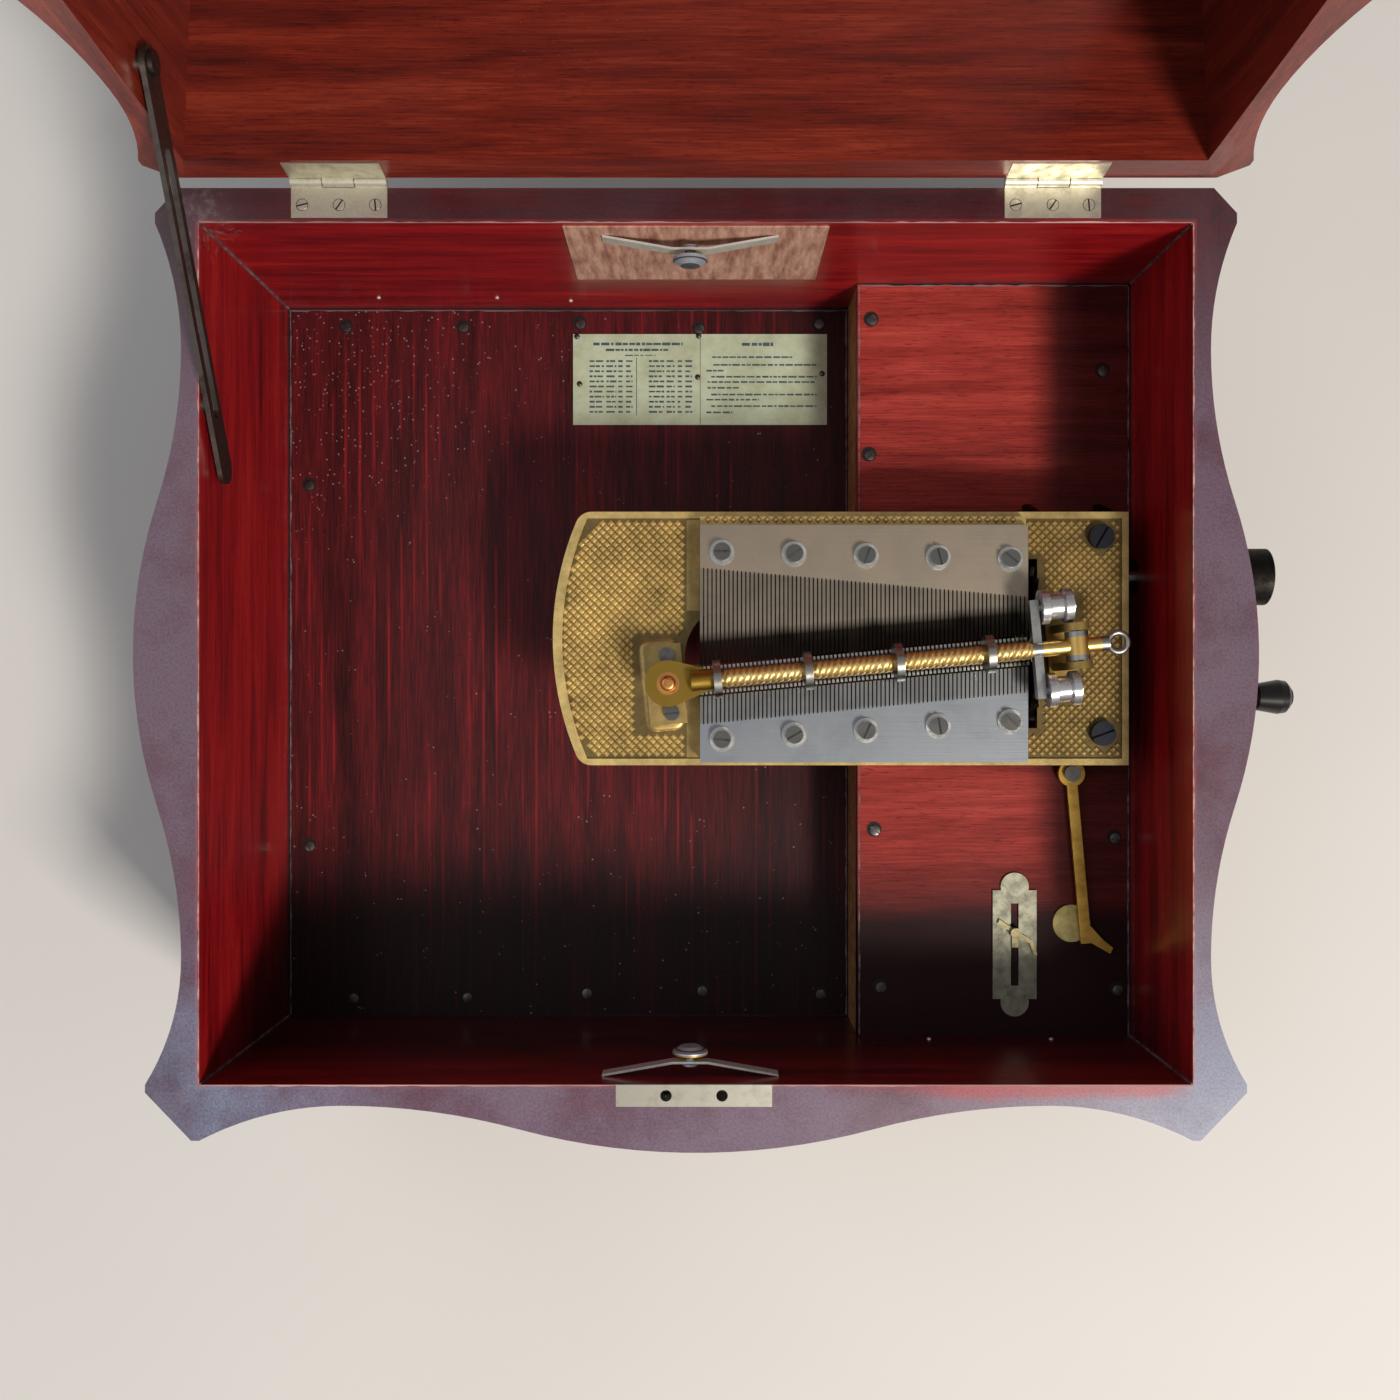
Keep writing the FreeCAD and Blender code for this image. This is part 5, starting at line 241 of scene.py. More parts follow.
@dataclass(frozen=True)
class PolishedMahogany(Finish):
    """Stained mahogany, French polished: dark pores, ribbon figure, a clear warm gloss.

    Upward faces at the rim carry a painted sheen, the reflection of the light in their hazed polish; bloom is its
    colour.
    """

    along: Along = Along.X
    dark: str = "#440608"
    middle: str = "#97121a"
    light: str = "#c02a26"
    bloom_sheen: str = "#786579"
    hazy_sheen: float = 0.0
    painted_shade: float = 0.0
    gloss: float = 0.26
    coat: float = 0.35
    shine: float = 0.5
    outer: Place = (250 * MM, 217 * MM)
    rim_corner: Point = (265 * MM, -235 * MM, 190 * MM)
    dusty_corner: Point = (-250 * MM, 222 * MM, 180 * MM)

    def paint(self, tree: Tree, where: Socket) -> dict:
        """Ribbon figure about 14 mm wide under pores about 0.6 mm wide."""
        figure = add(tree, "TexNoise", self.stretched(tree, where, self.along, 160, 14), 1.0, 6.0, 0.62, 0.5)
        fibres = add(tree, "TexNoise", self.stretched(tree, where, self.along, 34, 0.9), 1.0, 3.0, 0.6)
        both = add(tree, "Mix", "FLOAT", 0.38, figure, fibres)
        stops = [(0.34, self.dark), (0.52, self.middle), (0.68, self.light)]
        stain = add(tree, "ValToRGB", both, stops)
        pores = add(tree, "TexNoise", self.stretched(tree, where, self.along, 7, 0.55), 1.0, 1.0)
        pits = add(tree, "MapRange", pores, 0.62, 0.7, 0.0, 0.5)
        colour = add(tree, "Mix", "RGBA", pits, stain, "#1c0405")
        if self.hazy_sheen:
            colour = self.coats_and_painted_shadow(tree, where, colour)
        colour = self.worn(tree, where, colour)
        if self.hazy_sheen:
            colour = self.haze_and_painted_sheen(tree, where, colour)
        # painted shade: the shadows of the front wall and the right wall darken the deck towards the front and the
        # right edge
        if self.painted_shade:
            front, side = (-0.105, -0.15, self.painted_shade), (0.19, 0.207, self.painted_shade * 0.72)
            colour = self.painted_front_and_side_shade(tree, where, colour, front, side, "#1a070b")
        rubbed = add(tree, "TexNoise", where, 14.0, 5.0)
        gloss = add(tree, "MapRange", rubbed, 0.3, 0.7, self.gloss, self.gloss + 0.2)
        grain = add(tree, "Bump", both, 0.12, 0.0004)
        return {
            "Base Color": colour, "Roughness": gloss, "Normal": grain, "Coat Weight": self.coat, "Coat Roughness": 0.16,
            "Specular IOR Level": self.shine,
        }

    def coats_and_painted_shadow(self, tree: Tree, where: Socket, colour: Node) -> Node:
        """Deepens the stain on the outer faces, which had more coats, and paints the front wall's shadow, nearly black,
        into the low front of the well.

        Args:
            tree: the material's node tree.
            where: object coordinates.
            colour: the stain so far.

        Returns:
            The colour, darker there.
        """
        place = add(tree, "SeparateXYZ", where).outputs
        far = add(tree, "SeparateXYZ", add(tree, "VectorMath", "ABSOLUTE", where)).outputs
        aside = add(tree, "Math", "GREATER_THAN", far["X"], self.outer[0])
        ahead = add(tree, "Math", "GREATER_THAN", far["Y"], self.outer[1])
        mask = add(tree, "Math", "MAXIMUM", aside, ahead)
        coated = add(tree, "Mix", "RGBA", mask, colour, "#8a7a74", blend_type="MULTIPLY")
        # painted shadow: the front wall's shadow falls on the inner walls below a line that rises towards the front
        depth = add(tree, "Math", "MULTIPLY_ADD", place["Z"], 0.6, place["Y"])
        low = add(tree, "MapRange", depth, -0.085, -0.15, 0.0, 0.8)
        inside = add(tree, "Math", "SUBTRACT", 1.0, mask)
        painted_front_shadow = add(tree, "Math", "MULTIPLY", low, inside)
        return add(tree, "Mix", "RGBA", painted_front_shadow, coated, "#12060a")

    def worn(self, tree: Tree, where: Socket, colour: Node) -> Node:
        """Scatters fine pale dust in patches, with a few crumbs of it in the case's dusty corner.

        Args:
            tree: the material's node tree.
            where: object coordinates.
            colour: the stain so far.

        Returns:
            The colour with its dust.
        """
        specks = add(tree, "TexVoronoi", where, 260.0)
        dust = add(tree, "MapRange", specks, 0.1, 0.03, 0.0, 0.4)
        patches = add(tree, "TexNoise", where, 11.0, 3.0)
        patches = add(tree, "MapRange", patches, 0.52, 0.66)
        amount = add(tree, "Math", "MULTIPLY", dust, patches)
        kept = (0.68, 0.8, 0.55 if self.hazy_sheen else 0.0)
        crumbs = self.heaped(tree, where, self.dusty_corner, (0.04, 0.005, 0.22), (170.0, 8.0, 0.8), kept)
        amount = add(tree, "Math", "MAXIMUM", amount, crumbs)
        return add(tree, "Mix", "RGBA", amount, colour, "#a08c8c")

    def haze_and_painted_sheen(self, tree: Tree, where: Socket, colour: Node) -> Node:
        """Paints a clouded sheen, the light's reflection in a hazed polish, on faces that look straight up, more at the
        front than at the back.

        Args:
            tree: the material's node tree.
            where: object coordinates.
            colour: the stain so far.

        Returns:
            The colour with its painted sheen.
        """
        facing = add(tree, "SeparateXYZ", add(tree, "NewGeometry").outputs["Normal"]).outputs
        place = add(tree, "SeparateXYZ", where).outputs
        amount = add(tree, "MapRange", facing["Z"], 0.8, 0.98)
        front = add(tree, "MapRange", place["Y"], 0.225, 0.12, 0.62, 1.0)
        clouds = add(tree, "TexNoise", where, 13.0, 8.0, 0.72)
        patchy = add(tree, "MapRange", clouds, 0.36, 0.56, 0.45, 1.0)
        grain = add(tree, "TexNoise", where, 800.0, 2.0)
        grain = add(tree, "MapRange", grain, 0.36, 0.64, 0.72, 1.1)
        for share in (front, patchy, self.hazy_sheen):
            amount = add(tree, "Math", "MULTIPLY", amount, share)
        amount = add(tree, "Math", "MULTIPLY", amount, grain, use_clamp=True)
        tint = self.rim_tints(tree, place, clouds)
        return add(tree, "Mix", "RGBA", amount, colour, tint)

    def rim_tints(self, tree: Tree, place: Sockets, clouds: Node) -> Node:
        """Colours the painted sheen: mauve in front, dark behind, cold at the front corners, crimson at the front
        right.

        Args:
            tree: the material's node tree.
            place: object coordinates by axis.
            clouds: the clouds in the painted sheen.

        Returns:
            The painted sheen's colour.
        """
        back = add(tree, "MapRange", place["Y"], 0.12, 0.225)
        grey = add(tree, "Mix", "RGBA", back, self.bloom_sheen, "#46343a")
        aside = add(tree, "Math", "ABSOLUTE", place["X"])
        either = add(tree, "CombineXYZ", aside, place["Y"], place["Z"])
        cold = add(tree, "VectorMath", "DISTANCE", either, self.rim_corner)
        cold = add(tree, "MapRange", cold, 0.12, 0.03)
        tint = add(tree, "Mix", "RGBA", cold, grey, "#7f86a0")
        wander = add(tree, "Math", "MULTIPLY_ADD", clouds, 14 * MM, place["Y"])
        crimson_strip = add(tree, "MapRange", wander, -216 * MM, -211 * MM, 0.0, 0.85)
        ahead = add(tree, "Math", "LESS_THAN", place["Y"], -214.5 * MM)
        right = add(tree, "MapRange", place["X"], 0.06, 0.13)
        short = add(tree, "MapRange", place["X"], 0.25, 0.232)
        for share in (ahead, right, short):
            crimson_strip = add(tree, "Math", "MULTIPLY", crimson_strip, share)
        return add(tree, "Mix", "RGBA", crimson_strip, tint, "#a83a44")


@dataclass(frozen=True)
class StainedSpruce(Finish):
    """Quarter-sawn spruce under a dark stain: straight fine fibres that the stain took unevenly.

    Some stretches are a lively red, others almost black, and dust lies thickest in the back left corner.
    """

    dark: str = "#1a0709"
    middle: str = "#4c1418"
    light: str = "#7a1c22"
    red: str = "#a8242a"
    dust: str = "#a08a8e"
    dusty_corner: Point = (-245 * MM, 212 * MM, 40 * MM)

    def paint(self, tree: Tree, where: Socket) -> dict:
        """Fibres about 1 mm wide run front to back, with bright year lines about 7 mm apart."""
        fibre = add(tree, "TexNoise", self.stretched(tree, where, Along.Y, 30, 1.0), 1.0, 5.0, 0.75)
        broad = add(tree, "TexNoise", self.stretched(tree, where, Along.Y, 180, 16), 1.0, 3.0, 0.6, 0.4)
        both = add(tree, "Mix", "FLOAT", 0.62, broad, fibre)
        stops = [(0.34, self.dark), (0.5, self.middle), (0.66, self.light)]
        base = add(tree, "ValToRGB", both, stops)
        years = add(
            tree, "TexWave", self.stretched(tree, where, Along.Y, 110, 8), 0.314, 9.0, 3.0, 0.16, 0.55,
            bands_direction="X",
        ).outputs["Fac"]
        line = add(tree, "MapRange", years, 0.86, 1.0)
        lively = add(tree, "TexNoise", self.stretched(tree, where, Along.Y, 90, 22), 1.0, 5.0)
        lively = add(tree, "MapRange", lively, 0.48, 0.66, 0.0, 0.6)
        amount = add(tree, "Math", "MULTIPLY", line, lively)
        colour = add(tree, "Mix", "RGBA", amount, base, self.red)
        # painted shade: under the bedplate and towards the front, where the bedplate and the front wall cast their
        # shadows, the stain is painted nearly black
        colour = self.painted_front_and_side_shade(tree, where, colour, (-0.085, -0.16, 0.85), (-0.03, 0.05, 0.5), "#0d0504")
        colour = add(tree, "Mix", "RGBA", self.dusty(tree, where), colour, self.dust)
        bump = add(tree, "Bump", both, 0.3, 0.0005)
        return {"Base Color": colour, "Normal": bump, "Roughness": 0.42, "Specular IOR Level": 0.25}

    def dusty(self, tree: Tree, where: Socket) -> Node:
        """Specks of dust, thick in the back left corner and thin elsewhere.

        Args:
            tree: the material's node tree.
            where: object coordinates.

        Returns:
            How far dust covers the wood, from 0 to 1.
        """
        specks = add(tree, "TexVoronoi", where, 310.0)
        dots = add(tree, "MapRange", specks, 0.2, 0.08, 0.0, 0.85)
        near, grains, kept = (0.16, 0.02, 0.34), (120.0, 2.0, 0.5), (0.6, 0.66, 1.0)
        heap = self.heaped(tree, where, self.dusty_corner, near, grains, kept)
        return add(tree, "Math", "MULTIPLY", dots, heap)


@dataclass(frozen=True)
class PlainWood(Finish):
    """Planed softwood that nobody sees: pale brown with soft rings, no polish."""

    light: str = "#a9804f"
    dark: str = "#7c5730"

    def paint(self, tree: Tree, where: Socket) -> dict:
        """Rings about 6 mm apart along X."""
        rings = add(tree, "TexNoise", self.stretched(tree, where, Along.X, 120, 6), 1.0, 4.0)
        colour = add(tree, "ValToRGB", rings, [(0.35, self.dark), (0.65, self.light)])
        return {"Base Color": colour, "Roughness": 0.75}


@dataclass(frozen=True)
class Metal(Finish):
    """A metal surface with its tarnish; brushed along one way where that is given."""

    clean: str = "#b4b1aa"
    tarnish: str = "#6d6860"
    roughness: float = 0.28
    patch_mm: float = 9.0
    patches: float = 0.5
    brushed: Along | None = None
    brush_mm: float = 0.5
    depth: float = 0.1
    bare: float = 1.0

    def paint(self, tree: Tree, where: Socket) -> dict:
        """Tarnish lies in soft patches; the brush leaves lines that scatter the gloss."""
        stain = add(tree, "TexNoise", where, 1 / (self.patch_mm * MM), 6.0, 0.65)
        amount = add(tree, "MapRange", stain, 0.42, 0.66, 0.0, self.patches)
        colour = add(tree, "Mix", "RGBA", amount, self.clean, self.tarnish)
        dulled = min(self.roughness + 0.28, 0.9)
        rough = add(tree, "MapRange", amount, 0.0, 1.0, self.roughness, dulled)
        if self.brushed is None:
            marks = add(tree, "TexNoise", where, 900.0, 2.0)
        else:
            marks = add(tree, "TexNoise", self.stretched(tree, where, self.brushed, 40, self.brush_mm), 1.0, 3.0)
        bump = add(tree, "Bump", marks, self.depth, 0.0002)
        colour = self.zoned(tree, where, colour)
        return {"Base Color": colour, "Roughness": rough, "Normal": bump, "Metallic": self.bare}

    def zoned(self, tree: Tree, where: Socket, colour: Node) -> Node:
        """Lets a finish with two metals in it change the colour from place to place.

        Args:
            tree: the material's node tree.
            where: object coordinates.
            colour: the metal's colour so far.

        Returns:
            The colour to use; a plain metal keeps its own.
        """
        return colour

    @staticmethod
    def along_bar(tree: Tree, where: Socket) -> Sockets:
        """Coordinates on the line of the bar: X out from the spindle, Y across.

        Args:
            tree: the material's node tree.
            where: object coordinates.

        Returns:
            The coordinates by axis.
        """
        middle, lean = (SPINDLE[0] * MM, SPINDLE[1] * MM, 0.0), (0.0, 0.0, math.radians(BAR_ANGLE))
        line = add(tree, "Mapping", where, vector_type="TEXTURE", Location=middle, Rotation=lean)
        return add(tree, "SeparateXYZ", line).outputs


@dataclass(frozen=True)
class PartPlatedBar(Metal):
    """Smooth brass bar with nickelled crosshead, axles and finger loop: yellow rod, silver fittings."""

    plate: str = "#a5a6a4"
    bare_half: float = 4.7 * MM
    crosshead: float = 191.2 * MM
    crosshead_half: float = 2.5 * MM
    loop_from: float = 224.0 * MM

    def zoned(self, tree: Tree, where: Socket, colour: Node) -> Node:
        """Nickel lies beside the rod, at the crosshead and past the hinge."""
        place = self.along_bar(tree, where)
        aside = add(tree, "Math", "ABSOLUTE", place["Y"])
        plated = add(tree, "Math", "GREATER_THAN", aside, self.bare_half)
        head = add(tree, "Math", "COMPARE", place["X"], self.crosshead, self.crosshead_half)
        loop = add(tree, "Math", "GREATER_THAN", place["X"], self.loop_from)
        for other in (head, loop):
            plated = add(tree, "Math", "MAXIMUM", plated, other)
        return add(tree, "Mix", "RGBA", plated, colour, self.plate)


@dataclass(frozen=True)
class RubbedRound(Metal):
    """A turned part whose reach from an axis sets its colour: one tone near the axis, another far out."""

    axis_at: Point = (*SPINDLE, 0.0)
    turn: Point = (0.0, 0.0, 0.0)
    flat: Point = (1.0, 1.0, 1e6)
    inner: str = "#c08a4c"
    reach: float = 5.6
    blend_mm: float = 0.6

    def zoned(self, tree: Tree, where: Socket, colour: Node) -> Node:
        """The inner tone gives way to the outer one over a short blend."""
        place = add(
            tree, "Mapping", where, vector_type="TEXTURE", Location=[v * MM for v in self.axis_at],
            Rotation=[math.radians(v) for v in self.turn], Scale=self.flat,
        )
        far = add(tree, "VectorMath", "LENGTH", place)
        outer = add(tree, "MapRange", far, self.reach * MM, (self.reach + self.blend_mm) * MM)
        return add(tree, "Mix", "RGBA", outer, self.inner, colour)


@dataclass(frozen=True)
class CombSteel(Metal):
    """Ground tool steel: a long soft sheen on the base, and darker teeth that were filed and tuned by hand."""

    root_left: float = 47.0
    root_slope: float = -0.0895
    side: float = 1.0
    teeth: str = "#5f5a51"
    bar_shadow_and_oil: float = 0.0

    def zoned(self, tree: Tree, where: Socket, colour: Node) -> Node:
        """The line of the tooth roots parts the base from the teeth, and a painted shadow of the pressure bar, with
        some oil from the wheels, darkens their tips.
        """
        place = add(tree, "SeparateXYZ", where).outputs
        root = add(tree, "Math", "MULTIPLY_ADD", place["X"], self.root_slope, self.root_left * MM)
        past = add(tree, "Math", "SUBTRACT", root, place["Y"])
        past = add(tree, "Math", "MULTIPLY", past, self.side)
        toothed = add(tree, "MapRange", past, -0.4 * MM, 1.2 * MM, 0.0, 0.9)
        colour = add(tree, "Mix", "RGBA", toothed, colour, self.teeth)
        # painted shadow: the pressure bar's shadow, with some oil, darkens the teeth within about 25 mm behind the bar
        shaded_tips = add(tree, "MapRange", self.along_bar(tree, where)["Y"], 25.5 * MM, 20.0 * MM, 0.0, self.bar_shadow_and_oil)
        return add(tree, "Mix", "RGBA", shaded_tips, colour, "#0f0e0c")


@dataclass(frozen=True)
class WasheredScrews(Metal):
    """Screws on washers: bright flat washers under darker domed heads."""

    washer: float = 150.5 * MM
    washer_half: float = 0.52 * MM
    bright: str = "#e2e1dc"

    def zoned(self, tree: Tree, where: Socket, colour: Node) -> Node:
        """Washers lie at one level."""
        height = add(tree, "SeparateXYZ", where).outputs["Z"]
        flat = add(tree, "Math", "COMPARE", height, self.washer, self.washer_half)
        return add(tree, "Mix", "RGBA", flat, colour, self.bright)


@dataclass(frozen=True)
class StackedButton(Metal):
    """A pile of steel washers on a brass stud, seen edge on: blue-grey rings with a yellow one between."""

    middle: float = 204.8 * MM
    half: float = 1.4 * MM
    pitch: float = 1.2 * MM
    stud: str = "#a58a4a"
    gap: str = "#23262c"

    def zoned(self, tree: Tree, where: Socket, colour: Node) -> Node:
        """Brass shows in the middle of the pile, and dark gaps part the washers."""
        depth = add(tree, "Math", "ABSOLUTE", add(tree, "SeparateXYZ", where).outputs["Y"])
        brass = add(tree, "Math", "COMPARE", depth, self.middle, self.half)
        gaps = add(tree, "Math", "PINGPONG", depth, self.pitch)
        gaps = add(tree, "MapRange", gaps, 0.35 * MM, 0.2 * MM, 0.0, 0.8)
        ringed = add(tree, "Mix", "RGBA", gaps, colour, self.gap)
        return add(tree, "Mix", "RGBA", brass, ringed, self.stud)


@dataclass(frozen=True)
class GiltIron(Finish):
    """Cast iron painted with bronze powder: warm gold on what stands up, brown painted shade in what lies low.

    The gold goes browner towards the motor end.
    """

    gold: str = "#ffe092"
    brown: str = "#33220a"
    low: float = 136.75 * MM
    high: float = 137.15 * MM
    steel_above: float = 1.0
    steel: str = "#8f8f8c"

    def paint(self, tree: Tree, where: Socket) -> dict:
        """The height above the field sets how gold it is, with painted shade brown in the hollows; a pin may stand
        above it.
        """
        place = add(tree, "SeparateXYZ", where).outputs
        # painted shade: the lower the surface, the browner, standing in for the shade between the diamonds
        amount = add(tree, "MapRange", place["Z"], self.low, self.high, 0.14)
        mottle = add(tree, "TexNoise", where, 60.0, 7.0, 0.75)
        fade = add(tree, "MapRange", mottle, 0.36, 0.68, 1.0, 0.5)
        browner_rightward = add(tree, "MapRange", place["X"], -0.07, 0.2, 1.0, 0.66)
        for share in (fade, browner_rightward):
            amount = add(tree, "Math", "MULTIPLY", amount, share)
        gilt = add(tree, "Mix", "RGBA", amount, self.brown, self.gold)
        pin = add(tree, "Math", "GREATER_THAN", place["Z"], self.steel_above)
        colour = add(tree, "Mix", "RGBA", pin, gilt, self.steel)
        sand = add(tree, "TexNoise", where, 1100.0, 3.0)
        bump = add(tree, "Bump", sand, 0.3, 0.0002)
        return {"Base Color": colour, "Normal": bump, "Metallic": 0.7, "Roughness": 0.38}


@dataclass(frozen=True)
class PaperCard(Finish):
    """Matt card gone yellow and foxed in soft brown spots; the one on the wall is browner, with runs of damp."""

    paper: str = "#c4d2b6"
    foxed: str = "#a2a986"
    wall_paper: str = "#d2a892"
    wall_foxed: str = "#8f5a4c"
    wall_from: float = 60 * MM

    def paint(self, tree: Tree, where: Socket) -> dict:
        """Foxing about 25 mm across over a fine mottle of fibres."""
        age = add(tree, "TexNoise", where, 38.0, 7.0, 0.7)
        flat = add(tree, "ValToRGB", age, [(0.4, self.paper), (0.72, self.foxed)])
        runs = add(tree, "TexNoise", self.stretched(tree, where, Along.Z, 30, 5), 1.0, 6.0, 0.7)
        upright = add(tree, "ValToRGB", runs, [(0.38, self.wall_paper), (0.66, self.wall_foxed)])
        height = add(tree, "SeparateXYZ", where).outputs["Z"]
        high = add(tree, "Math", "GREATER_THAN", height, self.wall_from)
        colour = add(tree, "Mix", "RGBA", high, flat, upright)
        return {"Base Color": colour, "Roughness": 0.8}


@dataclass(frozen=True)
class Clouded(Finish):
    """A smooth dense surface such as ivorine, dyed pear, ink or studio paper: one colour, faintly clouded."""

    colour: str = "#d8ceaa"
    clouded: str = "#b9a878"
    roughness: float = 0.3
    scale: float = 160.0
    detail: float = 5.0
    stops: Place = (0.4, 0.7)

    def paint(self, tree: Tree, where: Socket) -> dict:
        """Soft clouds, about 6 mm across on a small piece."""
        clouds = add(tree, "TexNoise", where, self.scale, self.detail)
        colour = add(tree, "ValToRGB", clouds, list(zip(self.stops, (self.colour, self.clouded))))
        return {"Base Color": colour, "Roughness": self.roughness}


# polished mahogany reads as deep red wood under a warm gloss, with a painted mauve sheen, the reflection of the light
# in a hazed polish, where the rim looks up
SIDE_WALLS = PolishedMahogany("french_polished_mahogany_side", Along.Y, middle="#a3131b", bloom_sheen="#6c5869", hazy_sheen=1.0)
END_WALLS = PolishedMahogany("french_polished_mahogany_front", Along.X, hazy_sheen=1.0)
POSTS = PolishedMahogany("french_polished_mahogany_post", Along.Z, hazy_sheen=1.0)
# the lid saw more light and went browner; at rest its side rails stand upright, so their grain does too
LID_RAILS = PolishedMahogany("french_polished_mahogany_lid", Along.X, "#421310", "#7a2619", "#9e4029")
LID_SIDES = PolishedMahogany("french_polished_mahogany_lid_side", Along.Z, "#421310", "#7a2619", "#9e4029")
# the deck's polish has bleached to a warm orange red; painted shade darkens it towards the front and the right edge
DECK = PolishedMahogany(
    "french_polished_mahogany_deck", Along.X, "#5c1614", "#9a332c", "#bb4a40", gloss=0.45, painted_shade=0.97, coat=0.05,
    shine=0.16,
)
# bare wood where the polish wore through reads as a thin pink-white line
WORN_EDGE = PlainWood("worn_mahogany_arris", "#c9a49b", "#8d5a55")
# dust packed into a seam reads as a soft grey line
SEAM_DUST = PlainWood("packed_seam_dust", "#8a7378", "#4a3238")
# a gap under the boards is plain dark
SEAM_SHADOW = PlainWood("shrunk_joint_shadow", "#14080a", "#0c0506")
# stained spruce shows straight red and black fibres
SPRUCE = StainedSpruce("dark_stained_spruce")
# planed pine is pale and dull
SOFTWOOD = PlainWood("planed_pine")
# bronze paint on sand-cast iron sparkles a little, and painted shade makes it brown in its hollows
CASTING = GiltIron("bronze_gilt_cast_iron")
GILT_BRACKET = GiltIron("bronze_gilt_bracket", "#c8a860", low=0.13, high=0.135)
GILT_FOOT = GiltIron("bronze_gilt_spindle_foot", "#d2b472", low=0.135, high=0.1365, steel_above=0.1445)
# ground spring steel has long fine lines and dark tuned teeth; its lines are drawn 0.35 mm apart to show
# the rear comb's warm tint, against the front comb's cool one, is a painted reflection of the red case around it
REAR_STEEL = CombSteel(
    "ground_spring_steel_warm_reflection", "#b9ab98", "#8a7d6d", 0.38, 30.0, 0.5, Along.X, 0.35, 0.16, teeth="#8f877a", bar_shadow_and_oil=0.93
)
FRONT_STEEL = CombSteel(
    "ground_spring_steel_cool", "#a6abb1", "#7c8085", 0.36, 30.0, 0.45, Along.X, 0.35, 0.16,
    root_left=-36.0, root_slope=0.098, side=-1.0, teeth="#8a8b8b",
)
# star wheels are bright where the disc rubs their points and dark with old oil at the roots
STAR_STEEL = RubbedRound(
    "oiled_star_wheel_steel", "#d4d3cc", "#8e8b82", 0.2, 5.0, 0.5, axis_at=(*SPINDLE, 147.5),
    turn=(0.0, 0.0, BAR_ANGLE), flat=(1e6, 1.0, 1.0), inner="#4c4a46", reach=6.2, blend_mm=0.8,
)
# nickel plate is a pale mirror gone slightly yellow
NICKEL = Metal("nickel_plated_steel", "#b9b7b0", "#6e6a62", 0.24, 6.0, 0.6)
# screw heads of blued and worn steel sit dark on their bright washers
SCREWS = WasheredScrews("worn_screw_steel", "#8e8d89", "#56544f", 0.25, 6.0, 0.6)
# polished spring strip is whiter than the plate around it
BRIGHT_STEEL = Metal("polished_spring_strip", "#f0f0ea", "#b9b8b0", 0.46, 8.0, 0.5, bare=0.7)
# polished spools throw small hard glints
SPOOL = Metal("polished_steel_spool", "#cdcfd2", "#83817c", 0.22, 7.0, 0.5, bare=0.75)
# plate that wore away shows brown-grey steel
DARK_NICKEL = Metal("worn_nickel_plate", "#6f6a68", "#3c3735", 0.34, 12.0, 0.8)
# the stay went dull with handling and shines only on its edges
STAY_STEEL = Metal("handled_steel_strip", "#736b66", "#3a3330", 0.4, 14.0, 0.8, Along.Y, 0.6, 0.2)
# lacquered brass is a soft yellow with brown spots
BRASS = Metal("lacquered_brass", "#e0b55c", "#8c682c", 0.25, 8.0, 0.5)
BAR_BRASS = PartPlatedBar("lacquered_brass_and_nickel", "#ecc674", "#ac8640", 0.3, 10.0, 0.5)
# brass rubbed by every disc stays paler on the crowns of the rope
ROPE_BRASS = Metal("rubbed_rope_brass", "#f4d28a", "#b8924e", 0.36, 6.0, 0.5)
END_BRASS = RubbedRound("browned_brass_end_plate", "#b08f3e", "#765a24", 0.32, 9.0, 0.6, inner="#dc9c5c")
LEVER_BRASS = Metal("browned_brass_lever", "#e0b85c", "#a8843a", 0.42, 9.0, 0.6)
# silvered brass has lost its silver in patches
PLATED_BRASS = Metal("silvered_brass", "#efebd8", "#b0aa92", 0.42, 7.0, 0.6)
LOCK_PLATE = Metal("polished_lock_plate", "#b4b2a6", "#827f73", 0.42, 9.0, 0.5, Along.X, 0.5, 0.15)
DIAL_PLATE = Metal("dulled_speed_plate", "#a1a18e", "#727161", 0.5, 7.0, 0.6, bare=0.85)
POINTER_BRASS = Metal("rubbed_pointer_brass", "#aca27c", "#7c7250", 0.45, 5.0, 0.5, bare=0.85)
# steel blued by heat is a near-black slate
BLUED = Metal("heat_blued_steel", "#3a3b42", "#1c1d21", 0.36, 5.0, 0.6)
# forge-black steel is dark and matt
BLACKENED = Metal("blackened_steel", "#2b2826", "#151312", 0.5, 6.0, 0.6)
# an oiled spring strip is dark with a blue cast
SPRING_STEEL = Metal("oiled_spring_steel", "#3b3f48", "#22201e", 0.35, 8.0, 0.5)
# steel washers seen edge on are blue-grey rings beside a yellow one
BUTTON = StackedButton("steel_washers_on_brass", "#c2cad6", "#8b929d", 0.42, 6.0, 0.5, bare=0.6)
# old card is a matt greenish cream
CARD = PaperCard("aged_tune_card")
# printer's ink has gone from black to a thin blue grey
INK = Clouded("faded_printing_ink", "#4a626b", "#3b4a50", 0.8)
# ivorine has yellowed to olive
IVORINE = Clouded("ivorine", "#cdbc76", "#a2924b")
# pear wood dyed black and polished is a soft-edged mirror
EBONISED = Clouded("ebonised_pear", "#0c0a09", "#15100d")
# studio paper is pale, matt and barely mottled
PAPER_ROLL = Clouded("studio_paper", "#dcdad6", "#e2e0dc", 0.9, 3.0, 2.0, (0.3, 0.8))


